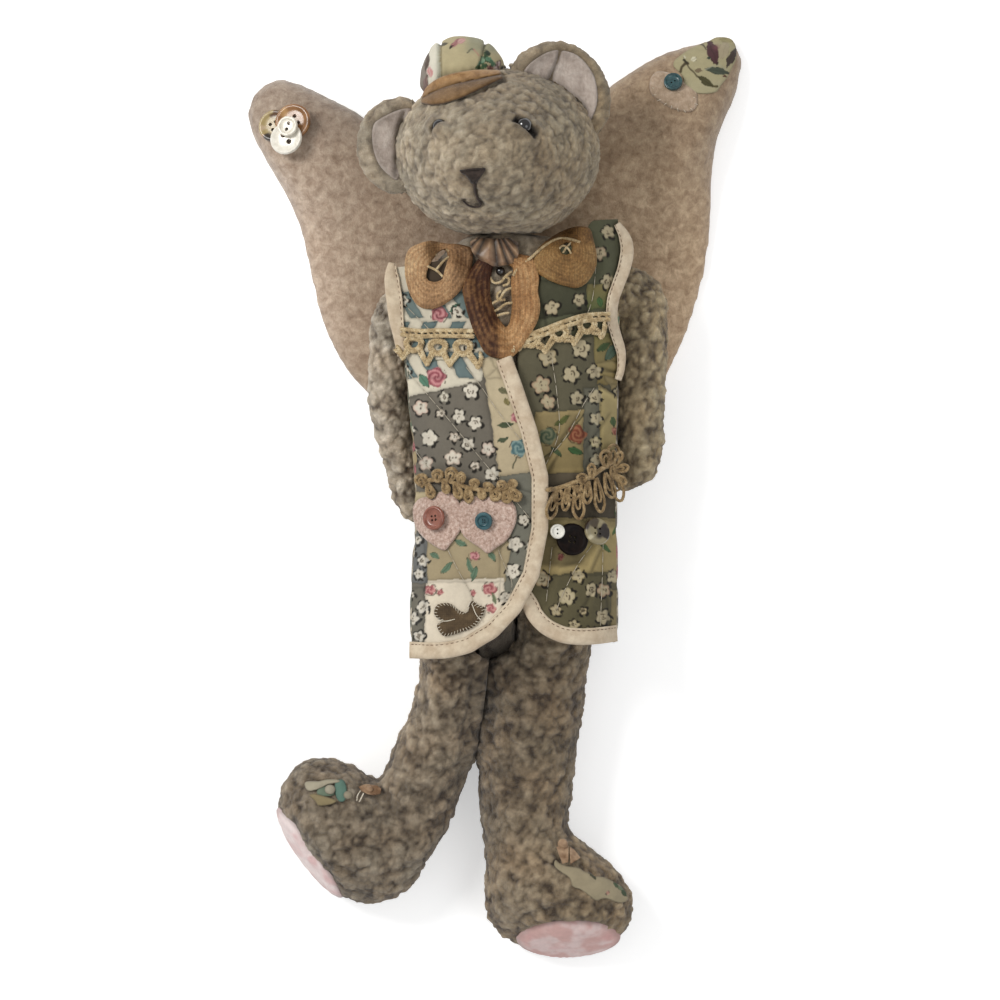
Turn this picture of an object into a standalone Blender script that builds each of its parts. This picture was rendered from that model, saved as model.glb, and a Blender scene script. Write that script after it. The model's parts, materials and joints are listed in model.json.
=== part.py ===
# Jointed plush bear lying on its back, with stuffed wings, a quilted vest and a small cap.
# Lengths are in millimetres and every mesh is written in metres through MM.
# +Z is the bear's front, +Y runs to its head, +X to its left side, and z = 0 is the ground.

import bpy
import bmesh
import math
from mathutils import Matrix, Vector
from mathutils.bvhtree import BVHTree

MM = 0.001

# Fits
SEAT_GAP = 0.3
LOOSE_GAP = 0.45

# Shift that brings the origin under the middle of the bear's box
PLACE = Vector((0.07, -1.39, 0.0))

# Torso: its sides are (height y, centre x, half width)
TORSO_CENTRE_X = 7.5
TORSO_CENTRE_Z = 40.5
TORSO_SIDES = [(-63.0, 8.3, 42.5), (-36.0, 8.4, 42.6), (-12.0, 9.2, 41.2), (21.0, 9.0, 41.4),
               (35.0, 8.2, 42.8), (59.0, 7.5, 44.0), (104.0, 7.2, 45.2)]
TORSO_HALF_DEPTH = 22.0
TORSO_WAIST_Y = 28.0
SHOULDER_Y = 86.0
NECK_TOP_Y = 115.5
NECK_RADIUS = 13.0
SHOULDER_LEAN = 0.11
LEAN_START_Y = 45.0
LEAN_LENGTH = 45.0

# Neck, shoulder and hip joints
NECK_X = 3.0
NECK_Z = 48.0
SHOULDER_TILT = math.radians(30)
SHOULDER_FORWARD = 14.0
SHOULDER_INSET = 4.5
HIP_X = -1.0
HIP_Y = -44.0
HIP_Z = 24.0
HIP_BLOCK_HALF_WIDTH = 10.0
HIP_BLOCK_RADIUS = 20.0

# Disc joints
DISC_THICKNESS = 2.2
NECK_DISC_RADIUS = 8.0
SHOULDER_DISC_RADIUS = 8.0
HIP_DISC_RADIUS = 9.0
DISC_ROOM = 0.4
NECK_WALL = 2.6
ARM_WALL = 4.0
LEG_WALL = 3.0
TORSO_WALL = 2.4
HIP_TORSO_WALL = 1.6
PIN_RADIUS = 1.2
PIN_WASHER_RADIUS = 3.4
PIN_WASHER_THICKNESS = 1.0
PIN_ROOM = 0.35

# Head
HEAD_X = 1.3
HEAD_Y = 150.5
HEAD_Z = 52.0
HEAD_HALF_WIDTH = 44.5
HEAD_HALF_HEIGHT = 36.5
HEAD_HALF_DEPTH = 37.0
SNOUT_RISE = 9.0
SNOUT_SPREAD = math.radians(33)
EYE_RADIUS = 3.4
EYE_RIGHT_X = HEAD_X - 25.3
EYE_LEFT_X = HEAD_X + 11.4
EYE_Y = HEAD_Y + 8.0

# Ears
EAR_HALF_LENGTH = 21.5
EAR_REACH = 18.5
EAR_THICKNESS = 7.0
EAR_RIGHT = (HEAD_X - 42.8, HEAD_Y + 2.5, HEAD_Z + 3.0)
EAR_LEFT = (HEAD_X + 26.2, HEAD_Y + 24.6, HEAD_Z + 3.0)
EAR_LEFT_SIZE = 1.15

# Cap
CROWN_X = HEAD_X - 14.8
CROWN_Y = HEAD_Y + 32.5
CROWN_Z = HEAD_Z + 2.0
CROWN_HALF_WIDTH = 18.5
CROWN_HEIGHT = 17.5
CROWN_HALF_DEPTH = 17.0
BRIM_THICKNESS = 2.6
BRIM_BACK = [(-28.8, 28.5), (-21.3, 32.0), (-11.3, 33.5), (-1.3, 32.5)]
BRIM_FRONT = [(-32.3, 21.0), (-25.7, 19.3), (-18.8, 20.6), (-11.1, 24.5), (-5.1, 28.3), (0.2, 31.8)]

# Vest
VEST_THICKNESS = 2.4
VEST_EASE = 0.7
VEST_TAIL_START_Y = -11.0
VEST_TAIL_Y = -22.0
VEST_BACK_HEM_Y = -62.5
VEST_TOP_Y = 108.0
VEST_TAIL_Z = 0.5
VEST_SEAM = 0.96
VEST_SEAM_OPENING = 0.035
VEST_ARMHOLE_RADIUS = 15.0
VEST_ROUNDNESS_BODY = 2.2
VEST_ROUNDNESS_SKIRT = 3.5
VEST_ROUNDNESS_TAIL = 7.0
LAP_START_X = 0.5
LAP_LENGTH = 6.5
LAP_RISE = VEST_THICKNESS + SEAT_GAP + 0.5
BINDING_WIDTH = 6.4
BINDING_THICKNESS = 1.0
BINDING_OVERHANG = 0.8
ARM_BINDING_WIDTH = 4.6

# Arms
ARM_TOP = 13.0
ARM_BOSS_RADIUS = 10.5
ARM_RIGHT_THICKNESS = 20.0
ARM_LEFT_THICKNESS = 24.5
ARM_RIGHT_LENGTH = 92.0
ARM_LEFT_LENGTH = 87.0

# Legs
LEG_ROOT_RADIUS = 19.5
SOLE_THICKNESS = 1.4

# Wings
WING_RISE_TOP = 24.0
WING_RISE_SIDE = 10.5
WING_RISE_SPINE = 18.5
WING_SPINE_REACH = 30.0
WING_LOW_Y = 106.0
WING_HIGH_Y = 152.0
WING_EDGE = 2.0

# Trim
PROBE_Z = 300.0
LACE_THICKNESS = 1.2
BRAID_THICKNESS = 1.6
COLLAR_LOWEST = 52.0
FELT_THICKNESS = 2.0
BUTTON_THICKNESS = 2.0


def smooth(value):
    value = min(max(value, 0.0), 1.0)
    return value * value * (3 - 2 * value)


def between(points, at):
    """Reads a smooth curve through (position, values...) stations, sorted by position."""
    if at <= points[0][0]:
        return points[0][1:]
    for low, high in zip(points, points[1:]):
        if at <= high[0]:
            share = (at - low[0]) / (high[0] - low[0])
            return tuple(a + (b - a) * share for a, b in zip(low[1:], high[1:]))
    return points[-1][1:]


def rounded_path(corners, steps):
    """Closed smooth outline through its corner points."""
    path = []
    count = len(corners)
    for i in range(count):
        p0, p1, p2, p3 = (Vector(corners[(i + k - 1) % count]) for k in range(4))
        for step in range(steps):
            t = step / steps
            path.append(0.5 * (2 * p1 + (p2 - p0) * t + (2 * p0 - 5 * p1 + 4 * p2 - p3) * t * t
                               + (3 * p1 - p0 - 3 * p2 + p3) * t ** 3))
    return path


def superellipse(angle, half_width, half_depth, roundness):
    """Point on a rounded box section; angle 0 lies on +X and a quarter turn on +Z."""
    c, s = math.cos(angle), math.sin(angle)
    x = half_width * math.copysign(abs(c) ** (2 / roundness), c)
    z = half_depth * math.copysign(abs(s) ** (2 / roundness), s)
    return x, z


# Materials

def material(name, colour, roughness, metallic=0.0):
    shade = bpy.data.materials.new(name)
    shade.use_nodes = True
    surface = shade.node_tree.nodes["Principled BSDF"]
    surface.inputs["Base Color"].default_value = (*colour, 1)
    surface.inputs["Roughness"].default_value = roughness
    surface.inputs["Metallic"].default_value = metallic
    return shade


def make_materials():
    return {
        "plush": material("plush", (0.27, 0.24, 0.19), 0.95),
        "wool_felt": material("wool_felt", (0.39, 0.31, 0.25), 0.95),
        "patchwork": material("patchwork", (0.24, 0.26, 0.22), 0.85),
        "binding": material("binding", (0.69, 0.56, 0.39), 0.8),
        "braid": material("braid", (0.40, 0.21, 0.08), 0.7),
        "crochet": material("crochet", (0.54, 0.38, 0.19), 0.85),
        "pink_felt": material("pink_felt", (0.58, 0.36, 0.33), 0.95),
        "satin": material("satin", (0.33, 0.23, 0.19), 0.35),
        "sole_cloth": material("sole_cloth", (0.69, 0.43, 0.43), 0.9),
        "cap_cotton": material("cap_cotton", (0.45, 0.42, 0.31), 0.8),
        "brim_felt": material("brim_felt", (0.43, 0.27, 0.14), 0.85),
        "eye_glass": material("eye_glass", (0.01, 0.01, 0.01), 0.08),
        "brown_plastic": material("brown_plastic", (0.33, 0.10, 0.06), 0.35),
        "teal_plastic": material("teal_plastic", (0.03, 0.10, 0.13), 0.3),
        "dark_plastic": material("dark_plastic", (0.03, 0.015, 0.01), 0.3),
        "cream_plastic": material("cream_plastic", (0.56, 0.50, 0.35), 0.35),
        "white_plastic": material("white_plastic", (0.78, 0.74, 0.66), 0.35),
        "amber_plastic": material("amber_plastic", (0.25, 0.11, 0.03), 0.25),
        "hardboard": material("hardboard", (0.20, 0.11, 0.05), 0.8),
        "steel": material("steel", (0.56, 0.56, 0.58), 0.35, 1.0),
    }


# Mesh building

MATERIALS = {}
BODIES = {}


def add_body(name, pivot):
    empty = bpy.data.objects.new(name + "_axis", None)
    empty.location = (Vector(pivot) + PLACE) * MM
    bpy.context.collection.objects.link(empty)
    BODIES[name] = empty


def make_piece(name, body, shade, points, faces, sharp=40):
    """Closed mesh from world points in millimetres, carried by the body's empty."""
    origin = BODIES[body].location
    mesh = bpy.data.meshes.new(name)
    bm = bmesh.new()
    corners = [bm.verts.new((Vector(p) + PLACE) * MM - origin) for p in points]
    for face in faces:
        bm.faces.new([corners[i] for i in face])
    bmesh.ops.recalc_face_normals(bm, faces=bm.faces)
    bm.to_mesh(mesh)
    bm.free()
    mesh.shade_smooth()
    mesh.set_sharp_from_angle(angle=math.radians(sharp))
    mesh.materials.append(MATERIALS[shade])
    piece = bpy.data.objects.new(name, mesh)
    piece.parent = BODIES[body]
    bpy.context.collection.objects.link(piece)
    return piece


def shape(target, tool, operation):
    """Cuts or joins the target with a tool solid, which is then removed."""
    modifier = target.modifiers.new(operation.lower(), "BOOLEAN")
    modifier.operation = operation
    modifier.object = tool
    modifier.solver = "EXACT"
    bpy.context.view_layer.update()
    graph = bpy.context.evaluated_depsgraph_get()
    shaped = bpy.data.meshes.new_from_object(target.evaluated_get(graph))
    target.modifiers.clear()
    old = target.data
    name = old.name
    target.data = shaped
    bpy.data.meshes.remove(old)
    shaped.name = name
    tool_mesh = tool.data
    bpy.data.objects.remove(tool)
    bpy.data.meshes.remove(tool_mesh)


def cut(target, tool):
    shape(target, tool, "DIFFERENCE")


def join(target, tool):
    shape(target, tool, "UNION")


def loft(rings, poles=(None, None)):
    """Closed skin over rings of equal count; a pole closes an end, otherwise a flat cap does."""
    points = [p for ring in rings for p in ring]
    count = len(rings[0])
    faces = []
    for row in range(len(rings) - 1):
        for i in range(count):
            j = (i + 1) % count
            faces.append((row * count + i, row * count + j, (row + 1) * count + j, (row + 1) * count + i))
    for end, pole in enumerate(poles):
        first = end * (len(rings) - 1) * count
        if pole is None:
            faces.append(tuple(range(first, first + count)))
            continue
        points.append(pole)
        faces += [(first + i, first + (i + 1) % count, len(points) - 1) for i in range(count)]
    return points, faces


def plate(outer, inner):
    """Closed sheet between two grids of points, outer side and inner side."""
    rows, columns = len(outer), len(outer[0])
    points = [p for row in outer for p in row] + [p for row in inner for p in row]
    back = rows * columns

    def at(row, column, side):
        return side * back + row * columns + column

    faces = []
    for row in range(rows - 1):
        for column in range(columns - 1):
            for side in (0, 1):
                faces.append((at(row, column, side), at(row, column + 1, side),
                              at(row + 1, column + 1, side), at(row + 1, column, side)))
    for column in range(columns - 1):
        for row in (0, rows - 1):
            faces.append((at(row, column, 0), at(row, column + 1, 0),
                          at(row, column + 1, 1), at(row, column, 1)))
    for row in range(rows - 1):
        for column in (0, columns - 1):
            faces.append((at(row, column, 0), at(row + 1, column, 0),
                          at(row + 1, column, 1), at(row, column, 1)))
    return points, faces


def band_ring(loops):
    """Closed ring-shaped solid from four loops in order around its section."""
    count = len(loops[0])
    points = [p for loop in loops for p in loop]
    faces = []
    for side in range(len(loops)):
        next_side = (side + 1) % len(loops)
        for i in range(count):
            j = (i + 1) % count
            faces.append((side * count + i, side * count + j, next_side * count + j, next_side * count + i))
    return points, faces


def axis_frame(axis):
    """Two unit vectors that complete a right-handed frame with the axis."""
    axis = Vector(axis).normalized()
    guide = Vector((0, 0, 1)) if abs(axis.z) < 0.9 else Vector((0, 1, 0))
    side = guide.cross(axis).normalized()
    return side, axis.cross(side)


def turned(origin, axis, profile, segments):
    """Solid of revolution from (radius, distance along the axis) points, first and last on the axis."""
    origin, axis = Vector(origin), Vector(axis).normalized()
    side, up = axis_frame(axis)
    rings = []
    for radius, along in profile[1:-1]:
        rings.append([origin + axis * along + (side * math.cos(a) + up * math.sin(a)) * radius
                      for a in (math.tau * i / segments for i in range(segments))])
    poles = (origin + axis * profile[0][1], origin + axis * profile[-1][1])
    return loft(rings, poles)


def rod(origin, axis, radius, start, end, segments=16):
    return turned(origin, axis, [(0, start), (radius, start), (radius, end), (0, end)], segments)


def tool(points, faces):
    return make_piece("tool", "torso", "steel", points, faces)


def ball(centre, radius, segments=12):
    rings = []
    rows = segments // 2
    for row in range(1, rows):
        tilt = math.pi * row / rows
        wide, high = math.sin(tilt), math.cos(tilt)
        rings.append([Vector(centre) + radius * Vector((wide * math.cos(a), wide * math.sin(a), high))
                      for a in (math.tau * i / segments for i in range(segments))])
    return loft(rings, (Vector(centre) + Vector((0, 0, radius)), Vector(centre) - Vector((0, 0, radius))))


# Torso form

# Round lower end: share of the hip block's radius below the hips, share of its width
HIP_SHARES = [(0.98, 0.62), (0.9, 0.86), (0.7, 0.97), (0.35, 1.0), (0.0, 1.0)]


def torso_stations():
    """Up the body: y, centre x, half width, lowest z, highest z, roundness of the section."""
    low = TORSO_CENTRE_Z - TORSO_HALF_DEPTH
    high = TORSO_CENTRE_Z + TORSO_HALF_DEPTH
    stations = []
    for share, width in HIP_SHARES:
        depth = HIP_BLOCK_RADIUS * math.sqrt(1 - share * share)
        stations.append((HIP_Y - HIP_BLOCK_RADIUS * share, HIP_X, HIP_BLOCK_HALF_WIDTH * width,
                         HIP_Z - depth, HIP_Z + depth, 4.0))
    root_end = HIP_Y + LEG_ROOT_RADIUS
    stations += [
        (HIP_Y + 10, HIP_X, HIP_BLOCK_HALF_WIDTH, HIP_Z - 19, HIP_Z + 20.5, 4.0),
        (root_end - 0.5, HIP_X, HIP_BLOCK_HALF_WIDTH, HIP_Z - 16, HIP_Z + 23, 3.5),
        torso_station(root_end + 6, 0.54, -0.5, -9, 2.8),
        torso_station(root_end + 16, 0.82, 0, -3.5, 2.4),
        torso_station(TORSO_WAIST_Y - 18, 0.97, 0, -1, 2.2),
        torso_station(TORSO_WAIST_Y, 1, 0, 0, 2.2),
        torso_station(TORSO_WAIST_Y + 30, 1, 0, 0, 2.2),
        torso_station(SHOULDER_Y, 1, 0.5, -1.5, 2.2),
        torso_station(SHOULDER_Y + 12, 0.96, 2.5, -3, 2.2),
        torso_station(SHOULDER_Y + 20, 0.8, 6, -4, 2.2),
        (NECK_TOP_Y - 3, TORSO_CENTRE_X - 2.5, NECK_RADIUS * 1.9, low + 13, high - 4, 2.1),
        (NECK_TOP_Y, NECK_X, NECK_RADIUS, NECK_Z - NECK_RADIUS + 2, NECK_Z + NECK_RADIUS - 2, 2.0),
    ]
    return stations


def torso_station(y, width_share, rise_low, rise_high, roundness):
    centre_x, half_width = between(TORSO_SIDES, y)
    return (y, centre_x, half_width * width_share, TORSO_CENTRE_Z - TORSO_HALF_DEPTH + rise_low,
            TORSO_CENTRE_Z + TORSO_HALF_DEPTH + rise_high, roundness)


def lean(x, y):
    """The left shoulder sits a little higher than the right one."""
    reach = smooth((y - LEAN_START_Y) / LEAN_LENGTH) * smooth((NECK_TOP_Y - y) / 6)
    return y + SHOULDER_LEAN * (x - TORSO_CENTRE_X) * reach


def torso_ring(station, segments, swell=0.0):
    y, centre_x, half_width, low, high, roundness = station
    centre_z = (low + high) / 2
    ring = []
    for i in range(segments):
        x, z = superellipse(math.tau * (i + 0.5) / segments, half_width + swell,
                            (high - low) / 2 + swell, roundness)
        ring.append(Vector((centre_x + x, lean(centre_x + x, y), centre_z + z)))
    return ring


def make_torso():
    stations = torso_stations()
    rings = [torso_ring(station, 22) for station in stations]
    tail = Vector((HIP_X, HIP_Y - HIP_BLOCK_RADIUS, HIP_Z))
    return make_piece("torso", "torso", "plush", *loft(rings, (tail, None)))


# Vest form: outer skin of the vest at a height y, by the share of its half width

VEST_CORE = torso_stations()


def vest_section(y):
    """Centre x, half width, centre z, then half depth and roundness below and above."""
    cover = VEST_EASE + VEST_THICKNESS
    _, _, low, high, _ = between(VEST_CORE, max(y, TORSO_WAIST_Y))
    centre_x, half_width = between(TORSO_SIDES, y)
    tail = smooth((VEST_TAIL_START_Y - y) / (VEST_TAIL_START_Y - VEST_TAIL_Y))
    low = (low - cover) * (1 - tail) + VEST_TAIL_Z * tail
    high = high + cover
    round_low = VEST_ROUNDNESS_BODY + (VEST_ROUNDNESS_TAIL - VEST_ROUNDNESS_BODY) * tail
    round_high = VEST_ROUNDNESS_BODY + (VEST_ROUNDNESS_SKIRT - VEST_ROUNDNESS_BODY) * tail
    half_width = half_width + cover
    centre_z = (low + high) / 2
    return centre_x, half_width, centre_z, (centre_z - low, round_low), (high - centre_z, round_high)


def vest_point(y, share, upper, inset=0.0):
    """Point of the vest's outer skin, or of a skin at a depth below it."""
    centre_x, half_width, centre_z, below, above = vest_section(y)
    depth, roundness = above if upper else below
    rise = (1 - min(abs(share), 1.0) ** roundness) ** (1 / roundness)
    x = centre_x + (half_width - inset) * share
    z = centre_z + (depth - inset) * rise * (1 if upper else -1)
    return Vector((x, lean(x, y), z))


def vest_height(x, y):
    """Height of the front skin over a point of the plan, with the right front lapped over the left."""
    row = y
    for _ in range(3):
        row = y - (lean(x, row) - row)
    centre_x, half_width, centre_z, _, (depth, roundness) = vest_section(row)
    share = min(abs((x - centre_x) / half_width), 0.999)
    return centre_z + depth * (1 - share ** roundness) ** (1 / roundness)


def lap(x):
    """How far the right front is raised where it lies over the left front."""
    return LAP_RISE * smooth((x - LAP_START_X) / LAP_LENGTH)


def right_height(x, y):
    return vest_height(x, y) + lap(x)


# Front edges of the vest from the neck down: y, x
RIGHT_FRONT_EDGE = [(-67.7, -24.0), (-64.7, -11.2), (-57.8, 0.4), (-47.1, 10.3), (-32.4, 18.0),
                    (-12.2, 21.9), (10.5, 21.9), (30.3, 17.2), (49.6, 10.7), (64.7, 5.2),
                    (86.2, -6.4), (108.0, -17.5)]
LEFT_FRONT_EDGE = [(-61.2, 34.0), (-58.3, 24.1), (-53.2, 17.2), (-45.5, 12.0), (-38.5, 9.0),
                   (43.3, 9.0), (64.8, 14.9), (86.3, 20.5), (108.0, 26.5)]
RIGHT_PANEL_ROWS = [-67.4, -65.5, -62, -56, -48, -38, -30, -22, -16.5, -11, 8, 28, 43, 58, 72, 86, 98, 107]
LEFT_PANEL_ROWS = [-60.9, -59.5, -56, -50, -42, -32, -22, -16.5, -11, 8, 28, 43, 58, 72, 86, 98, 107]
PANEL_SHARES = [0, 0.05, 0.12, 0.22, 0.36, 0.52, 0.66, 0.76, 0.88, 1]


def edge_x(edge, y):
    return between(edge, y)[0]


def seam_x(y, side):
    centre_x, half_width = vest_section(y)[:2]
    return centre_x + side * half_width * (VEST_SEAM - VEST_SEAM_OPENING)


def front_grid(rows, edge, side, height, inset):
    grid = []
    for y in rows:
        start, end = seam_x(y, side), edge_x(edge, y)
        row = []
        for share in PANEL_SHARES:
            x = start + (end - start) * share
            plan_y = lean(x, y)
            row.append(Vector((x, plan_y, height(x, plan_y) - inset)))
        grid.append(row)
    return grid


def make_vest():
    back_rows = [VEST_BACK_HEM_Y, -42, -22, -16.5, -11, 8, TORSO_WAIST_Y, TORSO_WAIST_Y + 30,
                 SHOULDER_Y, SHOULDER_Y + 12, SHOULDER_Y + 20, VEST_TOP_Y]
    steps = 18
    grids = []
    for inset in (0.0, VEST_THICKNESS):
        grid = []
        for y in back_rows:
            row = []
            (_, round_low), (_, round_high) = vest_section(y)[3:]
            seam_angle = math.acos(VEST_SEAM ** (round_high / 2))
            for step in range(steps + 1):
                angle = -seam_angle + (math.pi + 2 * seam_angle) * step / steps
                upper = math.sin(angle) < 0
                power = 2 / (round_high if upper else round_low)
                share = -math.copysign(abs(math.cos(angle)) ** power, math.cos(angle))
                row.append(vest_point(y, share, upper, inset))
            grid.append(row)
        grids.append(grid)
    back = make_piece("vest_back", "torso", "patchwork", *plate(*grids))
    fronts = []
    for name, rows, edge, side, height in (
            ("vest_front_right", RIGHT_PANEL_ROWS, RIGHT_FRONT_EDGE, -1, right_height),
            ("vest_front_left", LEFT_PANEL_ROWS, LEFT_FRONT_EDGE, 1, vest_height)):
        skins = [front_grid(rows, edge, side, height, inset) for inset in (0.0, VEST_THICKNESS)]
        fronts.append(make_piece(name, "torso", "patchwork", *plate(*skins)))
    return back, *fronts


# Trim laid on the pieces beneath it

def top_surface(pieces, spread=0.0):
    """Height of the highest of some pieces over a point of the plan, or over the spots round it."""
    trees = []
    for piece in pieces:
        bm = bmesh.new()
        bm.from_mesh(piece.data)
        bm.transform(Matrix.Translation(piece.parent.location))
        trees.append(BVHTree.FromBMesh(bm))
        bm.free()
    around = [(0.0, 0.0)]
    if spread:
        turns = [math.tau * i / 8 for i in range(8)]
        around += [(spread * math.cos(a), spread * math.sin(a)) for a in turns]

    def height(x, y, inward=None):
        found = []
        for dx, dy in around:
            start = (Vector((x + dx, y + dy, PROBE_Z)) + PLACE) * MM
            hits = [tree.ray_cast(start, Vector((0, 0, -1)))[0] for tree in trees]
            found += [hit.z / MM for hit in hits if hit]
        if found:
            return max(found)
        inward = Vector(inward)
        step = (inward - Vector((x, y))).normalized() * 0.5
        return height(x + step.x, y + step.y, inward)

    return height


def drape(points, height, lift, middle):
    return [Vector((x, y, height(x, y, middle) + lift)) for x, y in points]


def strip(name, shade, edge_points, height, outward, width, thickness, overhang):
    """Tape along a path in plan; outward tells which side of the path is the free edge."""
    path = [Vector(p) for p in edge_points]
    top, bottom = [], []
    for i, point in enumerate(path):
        along = (path[min(i + 1, len(path) - 1)] - path[max(i - 1, 0)]).normalized()
        normal = Vector((along.y, -along.x)) * outward
        inner = point - normal * width
        row = [point + normal * overhang, point - normal * width * 0.25,
               point - normal * width * 0.6, inner]
        bottom.append(drape(row, height, SEAT_GAP, inner))
        top.append(drape(row, height, SEAT_GAP + thickness, inner))
    return make_piece(name, "torso", shade, *plate(top, bottom))


def make_bindings(vest):
    rows = (60, 58, 43, 28, 18, 8, -2, -11, -16.5, -22, -30, -38, -48, -56, -62, -64.5)
    right = [(edge_x(RIGHT_FRONT_EDGE, y), y) for y in rows]
    right += [(-19.0, -66.6), (-26.0, -67.3), (-33.0, -67.3)]
    right_tape = strip("binding_front_right", "binding", right, top_surface([vest[1]], 1.8), -1,
                       BINDING_WIDTH, BINDING_THICKNESS, BINDING_OVERHANG)
    left = [(14.0, -48.5), (17.2, -53.2), (20.5, -56.2), (24.1, -58.3), (29.0, -60.2), (35.0, -61.0),
            (42.0, -61.0), (48.5, -60.6)]
    left_tape = strip("binding_front_left", "binding", left, top_surface([vest[2]], 0.7), 1,
                      BINDING_WIDTH, BINDING_THICKNESS, BINDING_OVERHANG)
    return right_tape, left_tape


def star_plate(name, shade, centre, outline, height, thickness, crown=0.0):
    """Soft plate over a surface; rings run from the outline to its centre, which may be puffed up."""
    shares = (1.0, 0.52)
    lift = SEAT_GAP
    centre = Vector(centre)
    sides = []
    for level in (lift + thickness, lift):
        puff = crown if level > lift else 0.0
        rings = [drape([centre + (Vector(p) - centre) * share for p in outline], height,
                       level + puff * (1 - share * share), centre) for share in shares]
        sides.append(rings)
    rings = sides[0][::-1] + sides[1]
    poles = [drape([centre], height, level, centre)[0] for level in (lift + thickness + crown, lift)]
    return make_piece(name, "torso", shade, *loft(rings, poles))


def loop_plate(name, outer, inner, height):
    """Flat ring of braid between two outlines of equal count."""
    middle = [(a + b) / 2 for a, b in zip(outer, inner)]
    centre = sum(inner, Vector((0, 0))) / len(inner)
    over = SEAT_GAP + BRAID_THICKNESS
    loops = [drape(path, height, over, centre) for path in (outer, middle, inner)]
    loops += [drape(path, height, SEAT_GAP, centre) for path in (inner, middle, outer)]
    return make_piece(name, "torso", "braid", *band_ring(loops))


def ring_path(centre, radius, segments, tilt=0.0, squash=1.0):
    path = []
    for i in range(segments):
        a = math.tau * i / segments
        x, y = radius * math.cos(a), radius * squash * math.sin(a)
        path.append(Vector((centre[0] + x * math.cos(tilt) - y * math.sin(tilt),
                            centre[1] + x * math.sin(tilt) + y * math.cos(tilt))))
    return path


def heart_path(centre, width, height, tilt, segments=22):
    path = []
    for i in range(segments):
        a = math.tau * (i + 0.5) / segments
        x = width / 2 * math.sin(a) ** 3
        y = height / 2 * (0.85 * math.cos(a) - 0.33 * math.cos(2 * a) - 0.13 * math.cos(3 * a) + 0.1)
        path.append(Vector((centre[0] + x * math.cos(tilt) - y * math.sin(tilt),
                            centre[1] + x * math.sin(tilt) + y * math.cos(tilt))))
    return path


def surface_normal(height, x, y):
    step = 1.5
    slope_x = (height(x + step, y) - height(x - step, y)) / (2 * step)
    slope_y = (height(x, y + step) - height(x, y - step)) / (2 * step)
    return Vector((-slope_x, -slope_y, 1)).normalized()


def button(name, shade, seat, normal, diameter, holes, spin=0.0, thickness=BUTTON_THICKNESS):
    """Sew-through button: dished face, rounded rim and two or four thread holes."""
    radius = diameter / 2
    profile = [(0, 0), (radius * 0.84, 0), (radius, thickness * 0.5), (radius * 0.93, thickness),
               (radius * 0.72, thickness), (radius * 0.62, thickness * 0.7), (0, thickness * 0.7)]
    piece = make_piece(name, "torso", shade, *turned(seat, normal, profile, 14))
    side, up = axis_frame(normal)
    spread = radius * (0.26 if holes == 4 else 0.22)
    for i in range(holes):
        angle = spin + math.tau * i / holes
        offset = (side * math.cos(angle) + up * math.sin(angle)) * spread
        cut(piece, tool(*rod(Vector(seat) + offset, normal, radius * 0.11, -1, thickness + 1, 5)))
    return piece


def seat_on(height, x, y, radius, lie=None):
    """Seat point and normal for a flat button, lifted so that its whole underside clears the surface.

    A button on top of another lies parallel to the surface named by lie."""
    normal = surface_normal(lie or height, x, y)
    centre = Vector((x, y, height(x, y)))
    side, up = axis_frame(normal)
    highest = 0.0
    for i in range(16):
        a = math.tau * i / 16
        for share in (0.3, 0.6, 0.85, 1.0):
            rim = centre + (side * math.cos(a) + up * math.sin(a)) * radius * share
            highest = max(highest, height(rim.x, rim.y, centre.xy) - rim.z)
    return centre + normal * (SEAT_GAP + highest), normal


# Chest and pocket lace: strips with scalloped lower edges and round eyelets

def lace(name, start, end, depth, points, height, drop=0.0):
    columns = points * 4
    middle_spot = (Vector(start) + Vector(end)) / 2
    top, bottom = [], []
    for row in range(3):
        upper, lower = [], []
        for column in range(columns + 1):
            share = column / columns
            x = start[0] + (end[0] - start[0]) * share
            middle = start[1] + (end[1] - start[1]) * share - drop * math.sin(math.pi * share)
            scallop = 0.32 * depth * abs(math.sin(math.pi * share * points))
            y = middle - (depth - 0.32 * depth + scallop) * row / 2
            z = height(x, y, middle_spot) + SEAT_GAP
            upper.append(Vector((x, y, z + LACE_THICKNESS)))
            lower.append(Vector((x, y, z)))
        top.append(upper)
        bottom.append(lower)
    return make_piece(name, "torso", "crochet", *plate(top, bottom))


def eyelets(piece, spots, radius, height):
    for x, y in spots:
        cut(piece, tool(*rod((x, y, height(x, y) - 3), (0, 0, 1), radius, 0, 8, 8)))


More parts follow.
